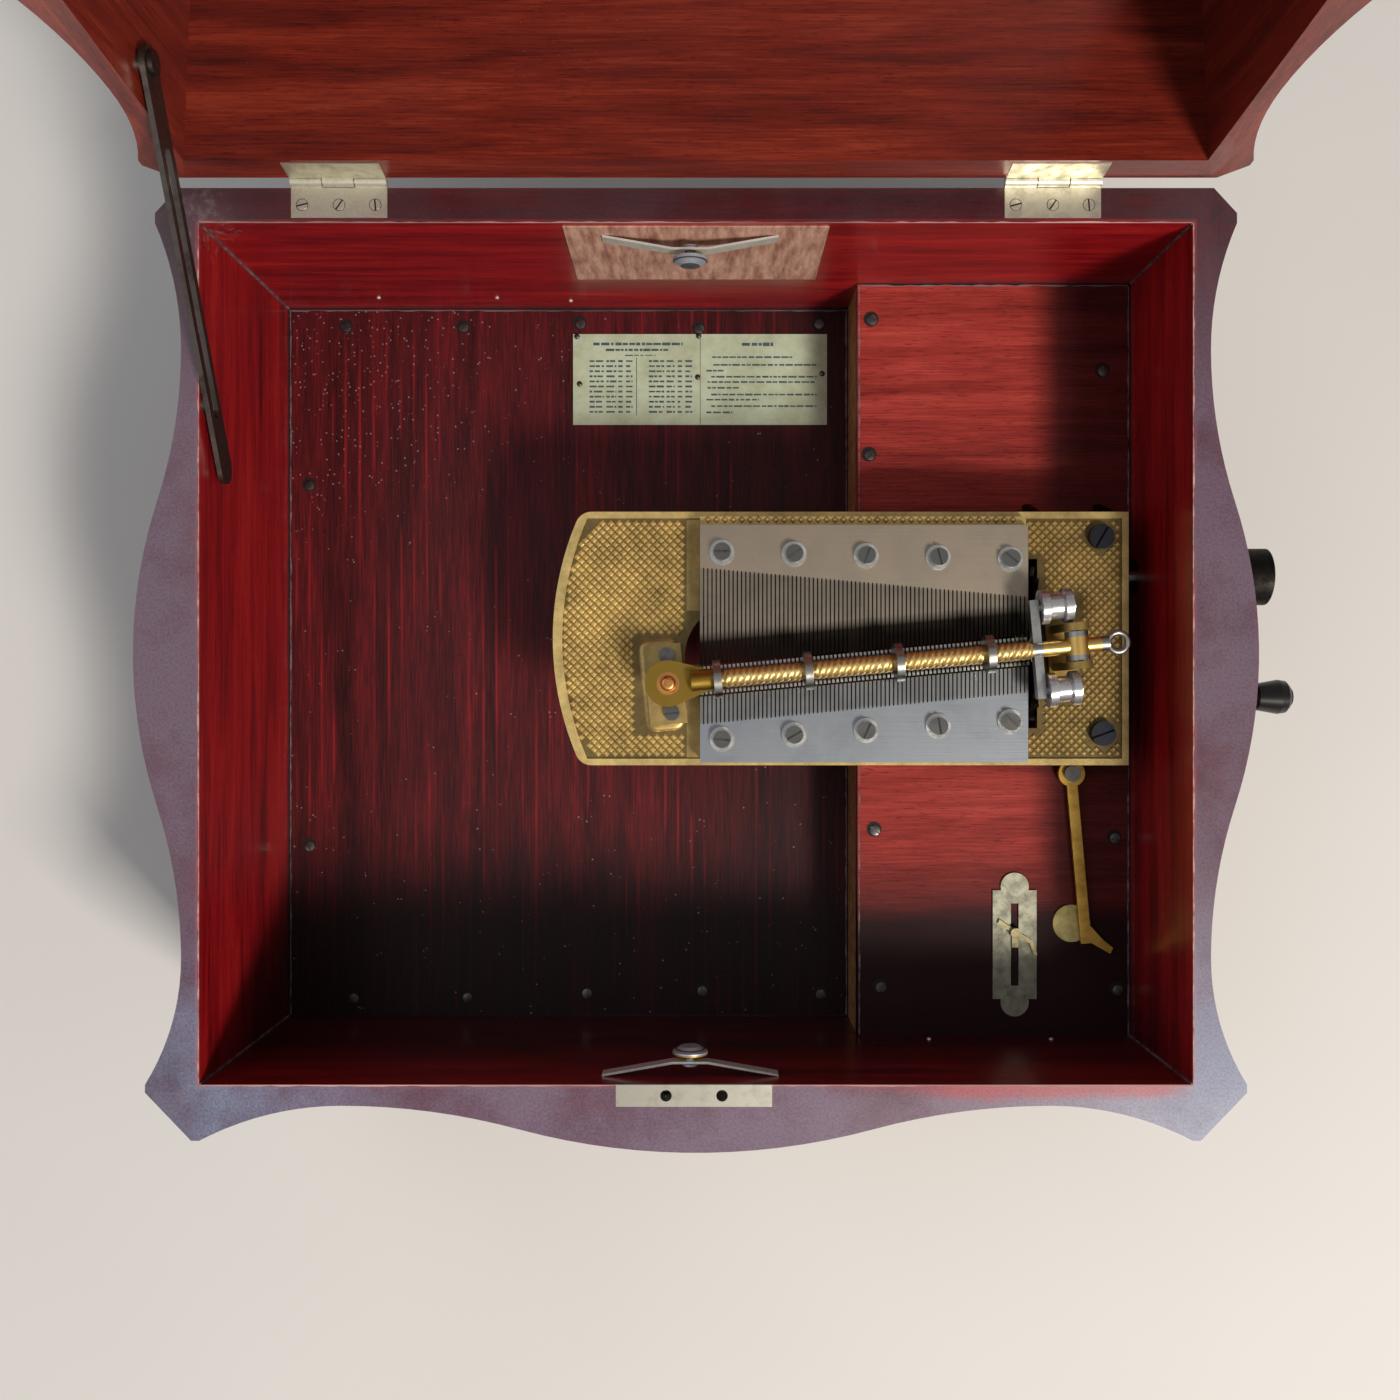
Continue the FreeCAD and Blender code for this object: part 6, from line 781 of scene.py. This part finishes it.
# --- Meshes ---
def piece(name: str, mesh: Mesh, finish: Finish, body: Body, smooth: bool = False) -> None:
    """Turns a mesh into a named piece with its finish, riding on a body.

    Args:
        name: the piece's name.
        mesh: its geometry, in metres, in the part's own frame.
        finish: its surface.
        body: the body that carries it.
        smooth: whether its faces are shaded smooth up to sharp edges.
    """
    bmesh.ops.recalc_face_normals(mesh, faces=mesh.faces)
    for face in mesh.faces:
        face.smooth = smooth
    data = bpy.data.meshes.new(name)
    mesh.to_mesh(data)
    mesh.free()
    made = bpy.data.objects.new(name, data)
    bpy.context.scene.collection.objects.link(made)
    data.materials.append(finish.material())
    if smooth:
        data.set_sharp_from_angle(angle=SHARP)
    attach(made, body.value)
    log.info("%s rides on %s", name, body.value)


def dress(finish: Finish, *nodes: str) -> None:
    """Gives modelled nodes their finish.

    Args:
        finish: the surface.
        nodes: names of the nodes.
    """
    for node in nodes:
        worn_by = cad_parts[node].data.materials
        worn_by.clear()
        worn_by.append(finish.material())
        log.info("%s is %s", node, finish.name)


def soften(width: float, *nodes: str) -> None:
    """Rounds the sharp edges of modelled nodes a little, as sanding and handling do.

    Args:
        width: the rounding in millimetres.
        nodes: names of the nodes.
    """
    for node in nodes:
        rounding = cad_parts[node].modifiers.new("sanded_edges", "BEVEL")
        rounding.width = width * MM
        rounding.segments = 2
        rounding.limit_method = "ANGLE"
        rounding.angle_limit = ARRIS
        log.info("%s has its edges rounded by %.1f mm", node, width)


def skin(mesh: Mesh, rings: list[Ring], *ends: Ring) -> None:
    """Joins each closed ring of corners to the next one and closes the ends that are given.

    Args:
        mesh: the mesh to add to.
        rings: the rings in order; one of a single corner makes a point.
        ends: rings that get a face of their own.
    """
    for low, high in zip(rings, rings[1:]):
        for n in range(len(low)):
            after = n + 1
            around = (low[n], low[after % len(low)], high[after % len(high)], high[n % len(high)])
            mesh.faces.new(list(dict.fromkeys(around)))
    for end in ends:
        mesh.faces.new(end)


def turned(mesh: Mesh, profile: Iterable[Place], place: Matrix, steps: int = 24) -> None:
    """Adds a turned form to a mesh.

    Args:
        mesh: the mesh to add to.
        profile: (radius, height) pairs in millimetres, from the foot to the crown.
        place: where its axis stands, in metres.
        steps: facets round the axis.
    """
    rings = []
    for radius, height in profile:
        corners = [2 * math.pi * step / steps for step in range(steps if radius else 1)]
        rings.append([
            mesh.verts.new(place @ Vector((radius * math.cos(a) * MM, radius * math.sin(a) * MM, height * MM)))
            for a in corners
        ])
    skin(mesh, rings, rings[0][::-1])


def block(mesh: Mesh, low: Point, high: Point) -> None:
    """Adds a block between two corners given in millimetres.

    Args:
        mesh: the mesh to add to.
        low: its lowest corner.
        high: its highest corner.
    """
    middle = Vector([(a + b) / 2 * MM for a, b in zip(low, high)])
    size = Vector([(b - a) * MM for a, b in zip(low, high)])
    bmesh.ops.create_cube(mesh, size=1.0, matrix=Matrix.Translation(middle) @ Matrix.Diagonal((*size, 1.0)))


def edge_line(mesh: Mesh, start: Point, end: Point, inward: Point, width: float, dice: random.Random) -> None:
    """Adds a thin ragged line along an edge, such as a worn arris or dust in a seam.

    Args:
        mesh: the mesh to add to.
        start: where it begins, in millimetres, on the surface it lies on.
        end: where it ends.
        inward: the way in which its ragged side grows, a unit vector.
        width: its usual width in millimetres.
        dice: the source of its raggedness.
    """
    run, grow, thickness = Vector(end) - Vector(start), Vector(inward), Vector((0.0, 0.0, 0.12))
    steps = max(int(run.length / 5), 1)
    rings = []
    for step in range(steps + 1):
        edge = Vector(start) + run * step / steps
        reach = grow * width * dice.uniform(0.35, 1.3)
        corners = (edge, edge + reach, edge + reach + thickness, edge + thickness)
        rings.append([mesh.verts.new(corner * MM) for corner in corners])
    skin(mesh, rings, rings[0], rings[-1][::-1])


def slotted_head(mesh: Mesh, place: Matrix, radius: float, rise: float, slot: float) -> None:
    """Adds a countersunk screw head: a shallow dome cut by a real slot.

    Args:
        mesh: the mesh to add to.
        place: the middle of its seat, its axis along local Z, in metres.
        radius: the head's radius in millimetres.
        rise: how far its crown stands up in millimetres.
        slot: the slot's width in millimetres.
    """
    steps, floor = 12, rise * 0.25
    limit = math.asin(slot / 2 / radius)
    arc = [limit + (math.pi - 2 * limit) * step / steps for step in range(steps + 1)]
    for side in (-1, 1):
        layers = [
            [
                mesh.verts.new(place @ Vector((
                    radius * share * math.cos(a) * MM,
                    side * max(radius * share * math.sin(a), slot / 2) * MM,
                    (floor + (rise - floor) * height) * MM,
                )))
                for a in arc
            ]
            for share, height in ((1.0, 0.0), (0.97, 0.5), (0.6, 0.88))
        ]
        skin(mesh, layers, layers[-1])
    turned(mesh, [(radius, 0.0), (radius, floor), (0, floor)], place, 2 * steps)


def at(x: float, y: float, z: float, turn: float = 0.0, axis: str = "Z") -> Matrix:
    """A place in the part's frame, given in millimetres and degrees."""
    return Matrix.Translation((x * MM, y * MM, z * MM)) @ Matrix.Rotation(math.radians(turn), 4, axis)


# --- Sub-assemblies ---
@dataclass
class Case:
    """The mahogany box: walls, posts, moulding, boards and the small ironwork on them."""

    soundboard_top: float = 40.0
    deck_top: float = 90.0
    rim: float = 190.0
    inner: Place = (248.0, 215.0)
    deck_left: float = 92.0
    lock: Place = (-40.0, 38.0)
    soundboard_screws: tuple[Place, ...] = (
        (-213, 204), (-142, 204), (-71, 206), (1, 203), (74, 206), (-235.5, 108), (-235.5, -111), (-208.7, -203.4),
        (-139.5, -203), (-67, -200.5), (3, -199), (75, -201),
    )
    deck_screws: tuple[Place, ...] = (
        (99.7, 194.7), (98.5, 117.5), (231.7, 165.5), (101.4, -96.7), (238.5, -101.3), (104.8, -186.4), (240, -188),
    )
    wall_pins: tuple[Point, ...] = (
        (131.7, -215, 97), (200.8, -215, 97), (-188, 215, 62), (-118, 215, 62), (-75, 215, 56),
    )
    keyhole: Point = (-1.0, -249.0, 170.0)
    thread: tuple[Point, ...] = ((3.6, 5.6, 0.0), (3.6, 5.6, 0.7), (4.6, 6.6, 1.0), (5.6, 7.6, 0.6), (5.7, 7.7, 0.0))

    def dress(self) -> None:
        """Gives the wooden nodes and the fittings of the case their finishes."""
        dress(SIDE_WALLS, "left_wall", "right_wall")
        dress(END_WALLS, "front_wall", "back_wall", "base_moulding")
        dress(POSTS, "corner_posts")
        dress(SPRUCE, "soundboard")
        dress(DECK, "motor_deck")
        dress(SOFTWOOD, "bottom_board", "board_supports")
        dress(BRIGHT_STEEL, "buffer_springs", "lock_bolt")
        dress(BUTTON, "back_buffer_button", "front_buffer_button")
        dress(PLATED_BRASS, "hinge_case_leaves")
        dress(LOCK_PLATE, "lock")
        dress(DARK_NICKEL, "stay_pin", "crank_bush")
        soften(0.7, "left_wall", "right_wall", "front_wall", "back_wall", "corner_posts", "motor_deck")

    def screws(self) -> None:
        """Puts the countersunk screws, each in its dark hole, into the soundboard and the deck."""
        for name, places, level in (
            ("soundboard_screw", self.soundboard_screws, self.soundboard_top),
            ("deck_screw", self.deck_screws, self.deck_top),
        ):
            heads, holes = bmesh.new(), bmesh.new()
            for number, (x, y) in enumerate(places):
                turned(holes, [(4.3, 0), (4.2, 0.1), (0, 0.1)], at(x, y, level), 20)
                slotted_head(heads, at(x + 0.5, y - 0.7, level + 0.1, 47 * number), 3.0, 0.9, 0.9)
            piece(name + "_heads", heads, DARK_NICKEL, Body.CASE, smooth=True)
            piece(name + "_holes", holes, SEAM_SHADOW, Body.CASE)

    def pins(self) -> None:
        """Drives the small round pins into the front and back walls."""
        heads = bmesh.new()
        for x, y, z in self.wall_pins:
            turned(heads, [(1.3, 0), (1.2, 0.5), (0.7, 0.9), (0, 1.0)], at(x, y, z, 90 if y > 0 else -90, "X"), 14)
        piece("wall_pins", heads, BRIGHT_STEEL, Body.CASE, smooth=True)

    def wear(self) -> None:
        """Draws the worn inner edges of the rim, and the dust and shadow in the seams of the boards."""
        side, end = self.inner
        rim, board, deck, left = self.rim - 0.05, self.soundboard_top, self.deck_top, self.deck_left
        forth, back, right_way, left_way = (0, -1, 0), (0, 1, 0), (1, 0, 0), (-1, 0, 0)
        worn, dust, gap = bmesh.new(), bmesh.new(), bmesh.new()
        dice = random.Random(11)
        for mesh, width, lines in (
            (worn, 0.75, (
                ((-side, -end), (-side, end), rim, left_way),
                ((side, -end), (side, end), rim, right_way),
                ((-side, end), (side, end), rim, back),
                ((-side, -end), (self.lock[0], -end), rim, forth),
                ((self.lock[1], -end), (side, -end), rim, forth),
            )),
            (dust, 0.8, (
                ((-side + 1.2, -end), (-side + 1.2, end), board, right_way),
                ((-side, end - 1.2), (left, end - 1.2), board, forth),
                ((left - 0.9, -end), (left - 0.9, end), board, left_way),
                ((left + 0.6, -end + 1), (left + 0.6, end - 1), deck, right_way),
                ((left, end - 1.0), (side, end - 1.0), deck, forth),
                ((side - 1.0, -end), (side - 1.0, end), deck, left_way),
            )),
            (gap, 1.1, (
                ((-side, -end), (-side, end), board, right_way),
                ((-side, end), (left, end), board, forth),
                ((-side, -end), (left, -end), board, back),
                ((left, end), (side, end), deck, forth),
                ((side, -end), (side, end), deck, left_way),
            )),
        ):
            for start, finish, level, inward in lines:
                edge_line(mesh, (*start, level), (*finish, level), inward, width, dice)
        for x, y in ((-side, end), (side, end), (-side, -end), (side, -end)):
            corner = (x - math.copysign(0.35, x), y - math.copysign(0.35, y))
            foot = board if x < 0 else deck
            block(dust, (corner[0] - 0.5, corner[1] - 0.5, foot), (corner[0] + 0.5, corner[1] + 0.5, rim))
        piece("worn_rim_edges", worn, WORN_EDGE, Body.CASE)
        piece("seam_dust", dust, SEAM_DUST, Body.CASE)
        piece("seam_shadow", gap, SEAM_SHADOW, Body.CASE)

    def escutcheon(self) -> None:
        """Frames the keyhole in the front with an oval brass thread."""
        x, y, z = self.keyhole
        ring = bmesh.new()
        turns = [2 * math.pi * n / 32 for n in range(32)]
        rows = [
            [ring.verts.new(Vector((x + wide * math.cos(a), y - out, z + tall * math.sin(a))) * MM) for a in turns]
            for wide, tall, out in self.thread
        ]
        skin(ring, rows + rows[:1])
        piece("keyhole_escutcheon", ring, BRASS, Body.CASE, smooth=True)

    def build(self) -> None:
        """Builds and dresses the case."""
        self.dress()
        self.screws()
        self.pins()
        self.wear()
        self.escutcheon()


@dataclass
class Cards:
    """Two tune cards on the soundboard and one card on the back wall, printed with plain rules, and their tacks."""

    paper: float = 40.8
    proud: float = 0.06
    sunk: float = 0.02
    row_pitch: float = 3.08
    table_rows: int = 11
    table_top: float = 182.6
    divider: Place = (-36.7, -36.3)
    columns: tuple[Place, ...] = (
        (-65.0, -56.3), (-54.8, -48.7), (-47.6, -44.9), (-42.9, -38.9), (-29.0, -19.7), (-18.3, -13.3), (-11.5, -8.8),
        (-6.9, -2.8),
    )
    headings: tuple[Span, ...] = (
        (-62.7, -8.6, 193.0, 1.8), (-55.1, -17.3, 189.4, 1.5), (-43.5, -24.9, 186.1, 0.7), (27.4, 47.2, 192.8, 2.2),
    )
    lines: tuple[Point, ...] = (
        (9.4, 58.2, 185.0), (10.0, 72.7, 180.3), (5.9, 17.0, 176.8), (8.8, 72.7, 173.1), (6.5, 72.7, 169.9),
        (6.5, 25.6, 166.4), (8.8, 72.7, 162.3), (5.9, 37.8, 159.2), (8.8, 72.7, 155.3), (5.9, 21.6, 151.5),
    )
    tacks: tuple[Place, ...] = ((-71, 168.7), (0.7, 172.8), (76.0, 175.0), (-72.6, 197.5), (1.2, 197.8))

    def words(self, mesh: Mesh, span: Place, y: float, height: float, dice: random.Random) -> None:
        """Lays broken rules over one line of a card, as long as words but without letters.

        Args:
            mesh: the mesh to add to.
            span: where the line begins and ends, in millimetres to the right.
            y: the middle of the line, in millimetres to the back.
            height: how tall the print is in millimetres.
            dice: the source of the lengths.
        """
        x = span[0]
        while x < span[1] - 0.6:
            end = min(x + dice.uniform(1.4, 5.2), span[1])
            rise = height * dice.uniform(0.75, 1.0) / 2
            block(mesh, (x, y - rise, self.paper - self.sunk), (end, y + rise, self.paper + self.proud))
            x = end + dice.uniform(0.5, 1.1)

    def print(self) -> None:
        """Prints the headings, the table with its divider and the paragraph."""
        dice = random.Random(5)
        mesh = bmesh.new()
        for start, end, y, height in self.headings:
            self.words(mesh, (start, end), y, height, dice)
        for row in range(self.table_rows):
            for column in self.columns:
                self.words(mesh, column, self.table_top - row * self.row_pitch, 1.25, dice)
        top, foot = self.table_top + 2.0, self.table_top - self.table_rows * self.row_pitch + 1.0
        left, right = self.divider
        block(mesh, (left, foot, self.paper - self.sunk), (right, top, self.paper + self.proud))
        for start, end, y in self.lines:
            self.words(mesh, (start, end), y, 1.15, dice)
        piece("printed_rules", mesh, INK, Body.CASE)

    def build(self) -> None:
        """Dresses the cards, prints them and pins them down."""
        dress(CARD, "paper_cards")
        self.print()
        heads = bmesh.new()
        for x, y in self.tacks:
            turned(heads, [(1.7, 0), (1.6, 0.5), (1.1, 0.9), (0, 1.1)], at(x, y, self.paper), 16)
        piece("card_tacks", heads, DARK_NICKEL, Body.CASE, smooth=True)


@dataclass
class Hinges:
    """Screws in the hinge leaves of the case."""

    middles: Place = (-178.0, 178.0)
    steps: Point = (-18.5, 0.0, 18.0)
    depth: float = 224.0
    leaf_top: float = 190.35

    def build(self) -> None:
        """Sets three screws in each leaf of the case, nearly flush, so that the lid's leaves close over them."""
        heads, seats = bmesh.new(), bmesh.new()
        for middle in self.middles:
            for number, step in enumerate(self.steps):
                place = at(middle + step, self.depth, self.leaf_top, 40 * number + 15)
                slotted_head(heads, place, 2.8, 0.2, 0.8)
                turned(seats, [(3.1, 0), (3.0, 0.07), (0, 0.07)], place, 20)
        piece("hinge_screws", heads, PLATED_BRASS, Body.CASE, smooth=True)
        piece("hinge_screw_seats", seats, SEAM_SHADOW, Body.CASE)


@dataclass
class Lid:
    """The open lid and its stay."""

    def build(self) -> None:
        """Dresses the lid's nodes."""
        dress(LID_RAILS, "lid_front_rail", "lid_back_rail", "lid_top")
        dress(LID_SIDES, "lid_side_rails")
        dress(PLATED_BRASS, "lid_link_plate", "hinge_lid_leaves")
        dress(STAY_STEEL, "lid_stay")
        dress(DARK_NICKEL, "stay_stud")
        soften(0.7, "lid_front_rail", "lid_back_rail", "lid_side_rails")
        soften(0.5, "lid_stay")


@dataclass
class Bedplate:
    """The gilt casting with its field of small diamonds; spans are left, right, front and back."""

    level: float = 136.8
    pitch: float = 4.5
    rise: float = 0.85
    crown: float = 0.36
    tucked: float = 0.45
    field: Span = (-73.0, 228.0, -54.0, 74.0)
    bow: float = 14.5
    corner: float = 8.0
    ledge: Span = (4.0, 173.5, 70.6, 74.2)
    ledge_level: float = 145.0
    bare: tuple[Span, ...] = (
        (-5.6, 177.6, -60, 80), (176.0, 185.8, -40.2, 55.2), (-31.5, -3, -41, 12), (184, 207, -24, 34),
    )
    bolts: tuple[Place, ...] = ((217, 64.5), (218, -41))
    bolt_clear: float = 8.0
    foot: Span = (-15.0, 7.0, -25.0, 25.0)
    foot_round: float = 6.0
    band: Place = (-5.2, 1.9)
    band_spans: tuple[Place, ...] = ((-53.8, -21.0), (25.0, 73.8))
    mound: tuple[Place, ...] = ((0.0, -0.1), (0.5, 0.45), (1.4, 0.95), (2.4, 1.2))

    def inside(self, x: float, y: float) -> bool:
        """Tells whether a point lies on the diamond field.

        Args:
            x: millimetres to the right.
            y: millimetres to the back.

        Returns:
            Whether a diamond may stand there.
        """
        left, right, front, back = self.field
        aside, half = abs(y - (front + back) / 2), (back - front) / 2
        radius = (half**2 + self.bow**2) / (2 * self.bow)
        edge = left + radius - math.sqrt(max(radius**2 - aside**2, 0))
        if not (edge < x < right and front < y < back):
            return False
        shoulder = left + self.bow + self.corner
        if x < shoulder and aside > half - self.corner:
            return math.hypot(x - shoulder, aside - half + self.corner) < self.corner
        if any(x0 < x < x1 and y0 < y < y1 for x0, x1, y0, y1 in self.bare):
            return False
        return all(math.hypot(x - bx, y - by) > self.bolt_clear for bx, by in self.bolts)

    def diamond(self, mesh: Mesh, x: float, y: float, level: float) -> None:
        """Adds one low diamond with a small flat crown.

        Args:
            mesh: the mesh to add to.
            x: its middle, millimetres to the right.
            y: its middle, millimetres to the back.
            level: the surface it stands on.
        """
        half = self.pitch / 2 * 0.97
        base, crown = (
            [mesh.verts.new(Vector((x + reach * a, y + reach * b, height)) * MM) for a, b in WAYS]
            for reach, height in ((half, level), (half * self.crown, level + self.rise))
        )
        skin(mesh, [base, crown], crown, base[::-1])

    def diamonds(self) -> None:
        """Covers the field, and the ledge behind the rear comb, with low four-sided diamonds."""
        mesh = bmesh.new()
        half = self.pitch / 2
        near = half * self.tucked
        left, right, front, back = self.field
        for column in range(int((right - left) / half) + 1):
            for row in range(column % 2, int((back - front) / half) + 1, 2):
                x, y = left + column * half, front + row * half
                if all(self.inside(x + a * near, y + b * near) for a, b in WAYS):
                    self.diamond(mesh, x, y, self.level)
        left, right, front, back = self.ledge
        for column in range(int((right - left) / self.pitch)):
            self.diamond(mesh, left + (column + 0.5) * self.pitch, front + half, self.ledge_level)
        piece("diamond_field", mesh, CASTING, Body.CASE)

    def foot_mound(self) -> None:
        """Raises the smooth, softly rounded ground round the spindle's foot."""
        mesh = bmesh.new()
        place = at(*SPINDLE, self.level, BAR_ANGLE)
        left, right, front, back = self.foot
        left, right, front, back = (
            left + self.foot_round, right - self.foot_round, front + self.foot_round, back - self.foot_round
        )
        corners = [
            (x, y, math.radians(first + 15 * step))
            for x, y, first in ((right, back, 0), (left, back, 90), (left, front, 180), (right, front, 270))
            for step in range(7)
        ]
        rings = []
        for inset, height in self.mound:
            reach = self.foot_round - inset
            rings.append([
                mesh.verts.new(place @ (Vector((x + reach * math.cos(a), y + reach * math.sin(a), height)) * MM))
                for x, y, a in corners
            ])
        skin(mesh, rings, rings[0][::-1], rings[-1])
        piece("spindle_foot_mound", mesh, GILT_FOOT, Body.CASE, smooth=True)

    def smooth_band(self) -> None:
        """Leaves a smooth gilt band beside the combs, in front of and behind the opening."""
        mesh = bmesh.new()
        for front, back in self.band_spans:
            block(mesh, (self.band[0], front, self.level - 0.05), (self.band[1], back, self.level + 0.4))
        piece("smooth_band", mesh, GILT_FOOT, Body.CASE)

    def build(self) -> None:
        """Dresses the casting and lays its pattern."""
        dress(CASTING, "bedplate")
        dress(BLUED, "bedplate_bolts")
        self.diamonds()
        self.foot_mound()
        self.smooth_band()


@dataclass
class Combs:
    """Combs, star wheels, spindle and the screws that hold them."""

    def build(self) -> None:
        """Dresses the sounding parts."""
        dress(REAR_STEEL, "rear_comb")
        dress(FRONT_STEEL, "front_comb")
        dress(GILT_FOOT, "centre_spindle")
        dress(SCREWS, "movement_screws")
        dress(NICKEL, "star_wheel_brackets")
        dress(STAR_STEEL, "star_wheels")


@dataclass
class PressureBar:
    """The bar over the star wheels, with its rope-turned stretches between the rollers."""

    level: float = 167.0
    radius: float = 4.05
    relief: float = 0.85
    strands: int = 4
    lay: float = 13.0
    ring_step: float = 0.6
    run_out: float = 1.5
    stretches: tuple[Place, ...] = ((28.4, 69.7), (75.3, 116.6), (122.2, 163.5), (169.1, 188.2))

    def rope(self) -> None:
        """Winds the strands round the rod, one stretch between each pair of rollers."""
        mesh = bmesh.new()
        place = at(*SPINDLE, self.level, BAR_ANGLE)
        turns = [2 * math.pi * corner / (self.strands * 10) for corner in range(self.strands * 10)]
        for first, last in self.stretches:
            steps = int((last - first) / self.ring_step)
            rings = []
            for step in range(steps + 1):
                s = first + (last - first) * step / steps
                relief = self.relief * min(1.0, (s - first) / self.run_out, (last - s) / self.run_out)
                ring = []
                for a in turns:
                    wave = abs(math.sin(self.strands / 2 * (a + 2 * math.pi * s / self.lay)))
                    r = (self.radius + relief * wave**0.7) * MM
                    ring.append(mesh.verts.new(place @ Vector((s * MM, r * math.cos(a), r * math.sin(a)))))
                rings.append(ring)
            skin(mesh, rings, rings[0][::-1], rings[-1])
        piece("bar_rope", mesh, ROPE_BRASS, Body.BAR, smooth=True)

    def build(self) -> None:
        """Dresses the bar and its rollers."""
        dress(BAR_BRASS, "pressure_bar")
        dress(END_BRASS, "bar_end_plate")
        dress(GILT_BRACKET, "bar_bracket")
        dress(SPOOL, "edge_roller_front", "edge_roller_back")
        dress(NICKEL, *(f"pressure_roller_{n}" for n in range(1, 5)))
        self.rope()


@dataclass
class Motor:
    """The spring motor, its controls on the deck, and the crank."""

    def build(self) -> None:
        """Dresses the motor and the controls."""
        dress(BLACKENED, "motor_frame", "drive_sprocket", "crank_arm")
        dress(BRASS, "spring_barrel", "worm_wheel_arbor")
        dress(LEVER_BRASS, "stop_lever")
        dress(DIAL_PLATE, "speed_plate")
        dress(POINTER_BRASS, "speed_slider")
        dress(NICKEL, "sprocket_arbor", "winding_arbor", "ratchet_click", "governor")
        dress(SPRING_STEEL, "mainspring")
        dress(IVORINE, "stop_disc")
        dress(EBONISED, "crank_knob")


@dataclass
class Studio:
    """The camera straight above, a pale floor and soft light from the front."""

    rim: float = 190.0
    scale: float = 0.499
    focal_pixels: float = 1385.0
    frame_pixels: float = 1400.0
    stand: Place = (2.0, -23.0)
    sensor: float = 36.0
    sight: float = 20.0
    floor_half: float = 14.0
    air: str = "#e9eaec"
    air_strength: float = 0.36
    aim: Point = (0.0, 0.0, 0.1)

    def camera(self) -> None:
        """Hangs the camera so that the rim has its measured scale."""
        data = bpy.data.cameras.new("camera")
        data.sensor_width = self.sensor
        data.lens = self.sensor * self.focal_pixels / self.frame_pixels
        data.clip_end = self.sight
        height = self.rim + self.scale * self.focal_pixels
        eye = bpy.data.objects.new("camera", data)
        eye.location = (self.stand[0] * MM, self.stand[1] * MM, height * MM)
        bpy.context.scene.collection.objects.link(eye)
        bpy.context.scene.camera = eye

    def lamp(self, name: str, place: Point, size: float, power: float, colour: str) -> None:
        """Adds a soft box that points at the movement.

        Args:
            name: the lamp's name.
            place: where it hangs, in metres.
            size: its side in metres.
            power: its power in watts.
            colour: its light.
        """
        data = bpy.data.lights.new(name, "AREA")
        data.size = size
        data.energy = power
        data.color = linear(colour)[:3]
        lamp = bpy.data.objects.new(name, data)
        lamp.location = place
        lamp.rotation_euler = (Vector(self.aim) - Vector(place)).to_track_quat("-Z", "Y").to_euler()
        bpy.context.scene.collection.objects.link(lamp)

    def floor(self) -> None:
        """Lays the paper roll under the box."""
        mesh = bmesh.new()
        bmesh.ops.create_grid(mesh, x_segments=1, y_segments=1, size=self.floor_half)
        data = bpy.data.meshes.new("floor")
        mesh.to_mesh(data)
        mesh.free()
        roll = bpy.data.objects.new("floor", data)
        data.materials.append(PAPER_ROLL.material())
        bpy.context.scene.collection.objects.link(roll)

    def build(self) -> None:
        """Sets the whole studio up."""
        scene = bpy.context.scene
        scene.view_settings.view_transform = "Standard"
        world = bpy.data.worlds.new("studio")
        world.use_nodes = True
        fill(world.node_tree, world.node_tree.nodes["Background"], {"Color": self.air, "Strength": self.air_strength})
        scene.world = world
        self.camera()
        self.floor()
        self.lamp("key", (1.25, -1.5, 2.4), 0.6, 76.0, "#fff6ec")
        self.lamp("fill", (-1.4, 0.4, 2.0), 1.6, 6.0, "#eef3ff")


def main() -> None:
    """Builds every sub-assembly in order."""
    logging.basicConfig(level=logging.INFO, format="%(message)s")
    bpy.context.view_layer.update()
    for part in (Case(), Cards(), Hinges(), Lid(), Bedplate(), Combs(), PressureBar(), Motor(), Studio()):
        log.info("building %s", type(part).__name__)
        part.build()


if __name__ == "__main__":
    main()
